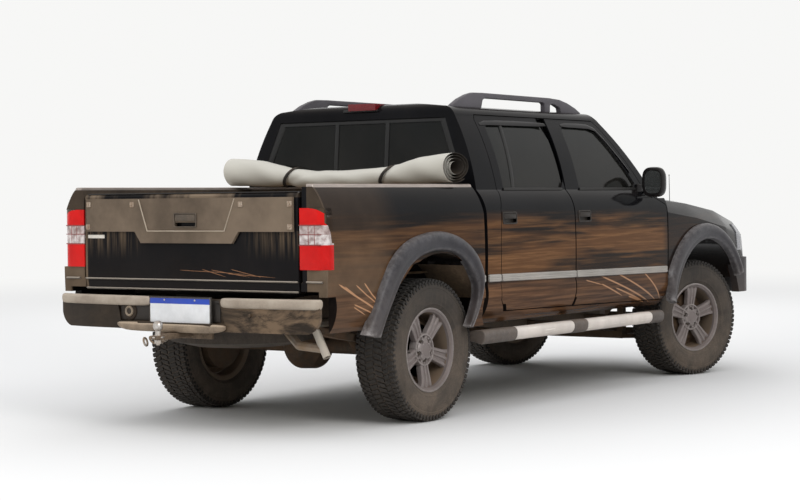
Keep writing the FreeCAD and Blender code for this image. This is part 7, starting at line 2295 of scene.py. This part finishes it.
@dataclass
class Cabin:
    """Seats, dashboard, steering wheel and inner mirror."""

    wheel_centre: Point = (2.105, 0.370, 1.035)
    wheel_lean: float = 25.0

    def cushion(self, name: str, low: Point, high: Point, lean: float, pivot: Pair,
                bolster: str = "") -> Piece:
        """Crowned cushion with a seam round its face and pulled-in sides.

        Args:
            name: Name of the new piece.
            low: Lower corner before the lean.
            high: Upper corner before the lean.
            lean: Lean in degrees about the pivot.
            pivot: (x, z) of the lean's centre.
            bolster: Name of the axis that the cushion faces along, Z or X.

        Returns:
            The dressed cushion.
        """
        piece = Bench.box(name, low, high)
        Bench.bevel(piece, 0.028, 3, 30)
        Bench.take(piece)
        Bench.edit()
        bpy.ops.mesh.subdivide(number_cuts=7)
        Bench.close()
        middle = [(a + b) / 2 for a, b in zip(low, high)]
        half = [(b - a) / 2 for a, b in zip(low, high)]
        for vertex in piece.data.vertices:
            u, v, w = ((c - m) / h for c, m, h in zip(vertex.co, middle, half))
            if bolster == "Z" and w > 0.2:
                vertex.co.z -= 0.018 * (1 - min(1, (abs(v) / 0.72) ** 6)) + 0.008 * u * u
                vertex.co.z -= 0.006 * math.exp(-((abs(v) - 0.72) / 0.035) ** 2)
                vertex.co.z -= 0.005 * math.exp(-((u % 0.5 - 0.25) / 0.03) ** 2) * (abs(v) < 0.7)
            if bolster == "X" and u > 0.2:
                vertex.co.x -= 0.022 * (1 - min(1, (abs(v) / 0.72) ** 6))
                vertex.co.x -= 0.006 * math.exp(-((abs(v) - 0.72) / 0.035) ** 2)
                vertex.co.x -= 0.005 * math.exp(-((w % 0.5 - 0.25) / 0.03) ** 2) * (abs(v) < 0.7)
            vertex.co.y = middle[1] + (vertex.co.y - middle[1]) * (1 - 0.035 * (1 - w * w))
        turn = Matrix.Rotation(math.radians(lean), 4, "Y")
        shift = Matrix.Translation((pivot[0], 0.0, pivot[1]))
        piece.data.transform(shift @ turn @ shift.inverted())
        Bench.modify(piece, "SUBSURF", levels=1, render_levels=1)
        dress(piece, Paints.SEAT, angle=70)
        return piece

    def seats(self) -> None:
        """Two front seats and the rear bench."""
        first = True
        for side, y in (("left", 0.37), ("right", -0.37)):
            cushion = self.cushion("front_cushion_" + side, (1.565, y - 0.245, 0.703),
                                   (2.055, y + 0.245, 0.848), 0.0, (0, 0), "Z")
            self.cushion("front_back_" + side, (1.482, y - 0.230, 0.80), (1.586, y + 0.230, 1.36),
                         -9.0, (1.478, 0.78), "X")
            self.cushion("front_head_" + side, (1.400, y - 0.118, 1.355),
                         (1.466, y + 0.118, 1.525), -6.0, (1.398, 1.34), "X")
            if first:
                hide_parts("seats")
                first = False
        for side, low, high in (("left", 0.010, 0.645), ("right", -0.645, -0.010)):
            self.cushion("bench_cushion_" + side, (0.625, low, 0.693), (1.085, high, 0.838), 0.0,
                         (0, 0), "Z")
            self.cushion("bench_back_" + side, (0.628, low, 0.805), (0.722, high, 1.30), -7.0,
                         (0.625, 0.80), "X")
        for side, low, high in (("left", 0.245, 0.475), ("right", -0.475, -0.245)):
            self.cushion("bench_head_" + side, (0.572, low, 1.305), (0.638, high, 1.455), 0.0,
                         (0, 0), "X")
        posts = [tube("post", [(x, y + dy, z), (x - 0.012, y + dy, z - 0.10)], 0.006, 12)
                 for x, y, z in ((1.415, 0.37, 1.375), (1.415, -0.37, 1.375))
                 for dy in (-0.05, 0.05)]
        dress(Bench.join(posts, "head_posts"), Paints.CHROME)

    def dashboard(self) -> None:
        """Dashboard with its hood over the dials, vents and radio."""
        carried("dashboard", "dash_board", Paints.TRIM, 0.012, 3, 35)
        binnacle = Bench.side_prism("binnacle", [(2.262, 1.105), (2.300, 1.160), (2.420, 1.175),
                                                 (2.420, 1.12)], 0.21, 0.53)
        vents = [slab("vent", (2.256, y - 0.055, 1.02), (2.290, y + 0.055, 1.07), 0.006)
                 for y in (0.66, 0.12, -0.02, -0.60)]
        radio = slab("radio", (2.252, -0.035, 0.93), (2.290, 0.155, 1.005), 0.004)
        whole = Bench.join([Bench.bevel(binnacle, 0.014, 3)] + vents + [radio], "dash_fittings")
        dress(whole, Paints.RUBBER)
        mirror = slab("inner_mirror", (2.105, -0.115, 1.475), (2.128, 0.115, 1.535), 0.010, 3)
        dress(mirror, Paints.TRIM)
        console = slab("console", (1.62, -0.085, 0.72), (2.24, 0.085, 0.86), 0.02, 3)
        lever = tube("lever", [(2.08, 0.0, 0.85), (2.03, 0.0, 0.98)], 0.008, 12)
        knob = Bench.ball("knob", (2.028, 0.0, 0.992), 0.021, (1, 1, 1.15), 12)
        dress(Bench.join([console, lever, knob], "centre_console"), Paints.TRIM)

    def steering(self) -> None:
        """Padded rim, hub and three spokes, turning with the wheel."""
        ring = Bench.ring("rim", (0, 0, 0), 0.173, 0.0145, around=64, across=14)
        hub = Bench.spun("hub", [(-0.030, 0.0), (-0.030, 0.045), (-0.006, 0.058), (0.012, 0.060),
                                 (0.024, 0.048), (0.029, 0.0)], 40, closed=False)
        moved(hub, (0.0, 0.0, 0.0), 90, "X")
        spokes = []
        for turn in (90.0, 210.0, 330.0):
            spoke = Bench.box("spoke", (0.040, -0.018, -0.006), (0.166, 0.018, 0.007))
            for vertex in spoke.data.vertices:
                if vertex.co.x > 0.1:
                    vertex.co.y *= 0.75
            spokes.append(moved(Bench.bevel(spoke, 0.004, 2), (0.0, 0.0, 0.0), turn, "Z"))
        wheel = Bench.join([ring, hub] + spokes, "steering_rim")
        lean = math.radians(self.wheel_lean)
        axis = Vector((-math.cos(lean), 0.0, math.sin(lean)))
        turn = Vector((0, 0, 1)).rotation_difference(axis).to_matrix().to_4x4()
        wheel.data.transform(Matrix.Translation(self.wheel_centre) @ turn)
        dress(wheel, Paints.TRIM, "steering_wheel", ["steering_wheel"], 50)

    def build(self) -> None:
        """Build all of it."""
        self.seats()
        self.dashboard()
        self.steering()


NODE_FINISHES: dict[Paints, str] = {
    Paints.BODY: "cab_floor cab_shell door_front_left door_front_right door_rear_left "
                 "door_rear_right hood front_wings cargo_bed tailgate fuel_lid",
    Paints.CAST: "rear_axle front_suspension knuckle_left knuckle_right powertrain",
    Paints.TINT: "glass_front_left glass_front_right glass_rear_left glass_rear_right fixed_glass",
    Paints.TYRE: "tyre_front_left tyre_front_right tyre_rear_left tyre_rear_right spare_wheel",
    Paints.WHEEL: "rim_front_left rim_front_right rim_rear_left rim_rear_right",
    Paints.BUMPER: "front_bumper rear_bumper",
    Paints.TRIM: "dashboard steering_wheel",
    Paints.FRAME: "frame_rails",
    Paints.EXHAUST: "exhaust",
    Paints.TANK: "fuel_tank",
    Paints.HEAD: "headlamps",
    Paints.GRILLE: "grille",
    Paints.FLARE: "wheel_flares",
    Paints.BED_RAIL: "bed_rails",
    Paints.RED: "tail_lamps",
    Paints.CHROME: "tow_hitch",
    Paints.STEP: "side_steps",
    Paints.RAIL: "roof_rails",
    Paints.SEAT: "seats",
    Paints.VINYL: "tonneau_roll",
}


def finish_nodes() -> None:
    """Give every frame node its finish."""
    for finish, names in NODE_FINISHES.items():
        for name in names.split():
            paint(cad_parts[name], finish)


def main() -> None:
    """Build every sub-assembly in order."""
    logging.basicConfig(level=logging.INFO, format="%(name)s: %(message)s")
    Studio().build()
    finish_nodes()
    for part in (Wheel(), Panels(), Gate(), Lamps(), RearBumper(), Hitch(), SideTrim(), Roof(),
                 Bed(), Nose(), Cabin()):
        log.info("building %s", type(part).__name__)
        part.build()


if __name__ == "__main__":
    main()
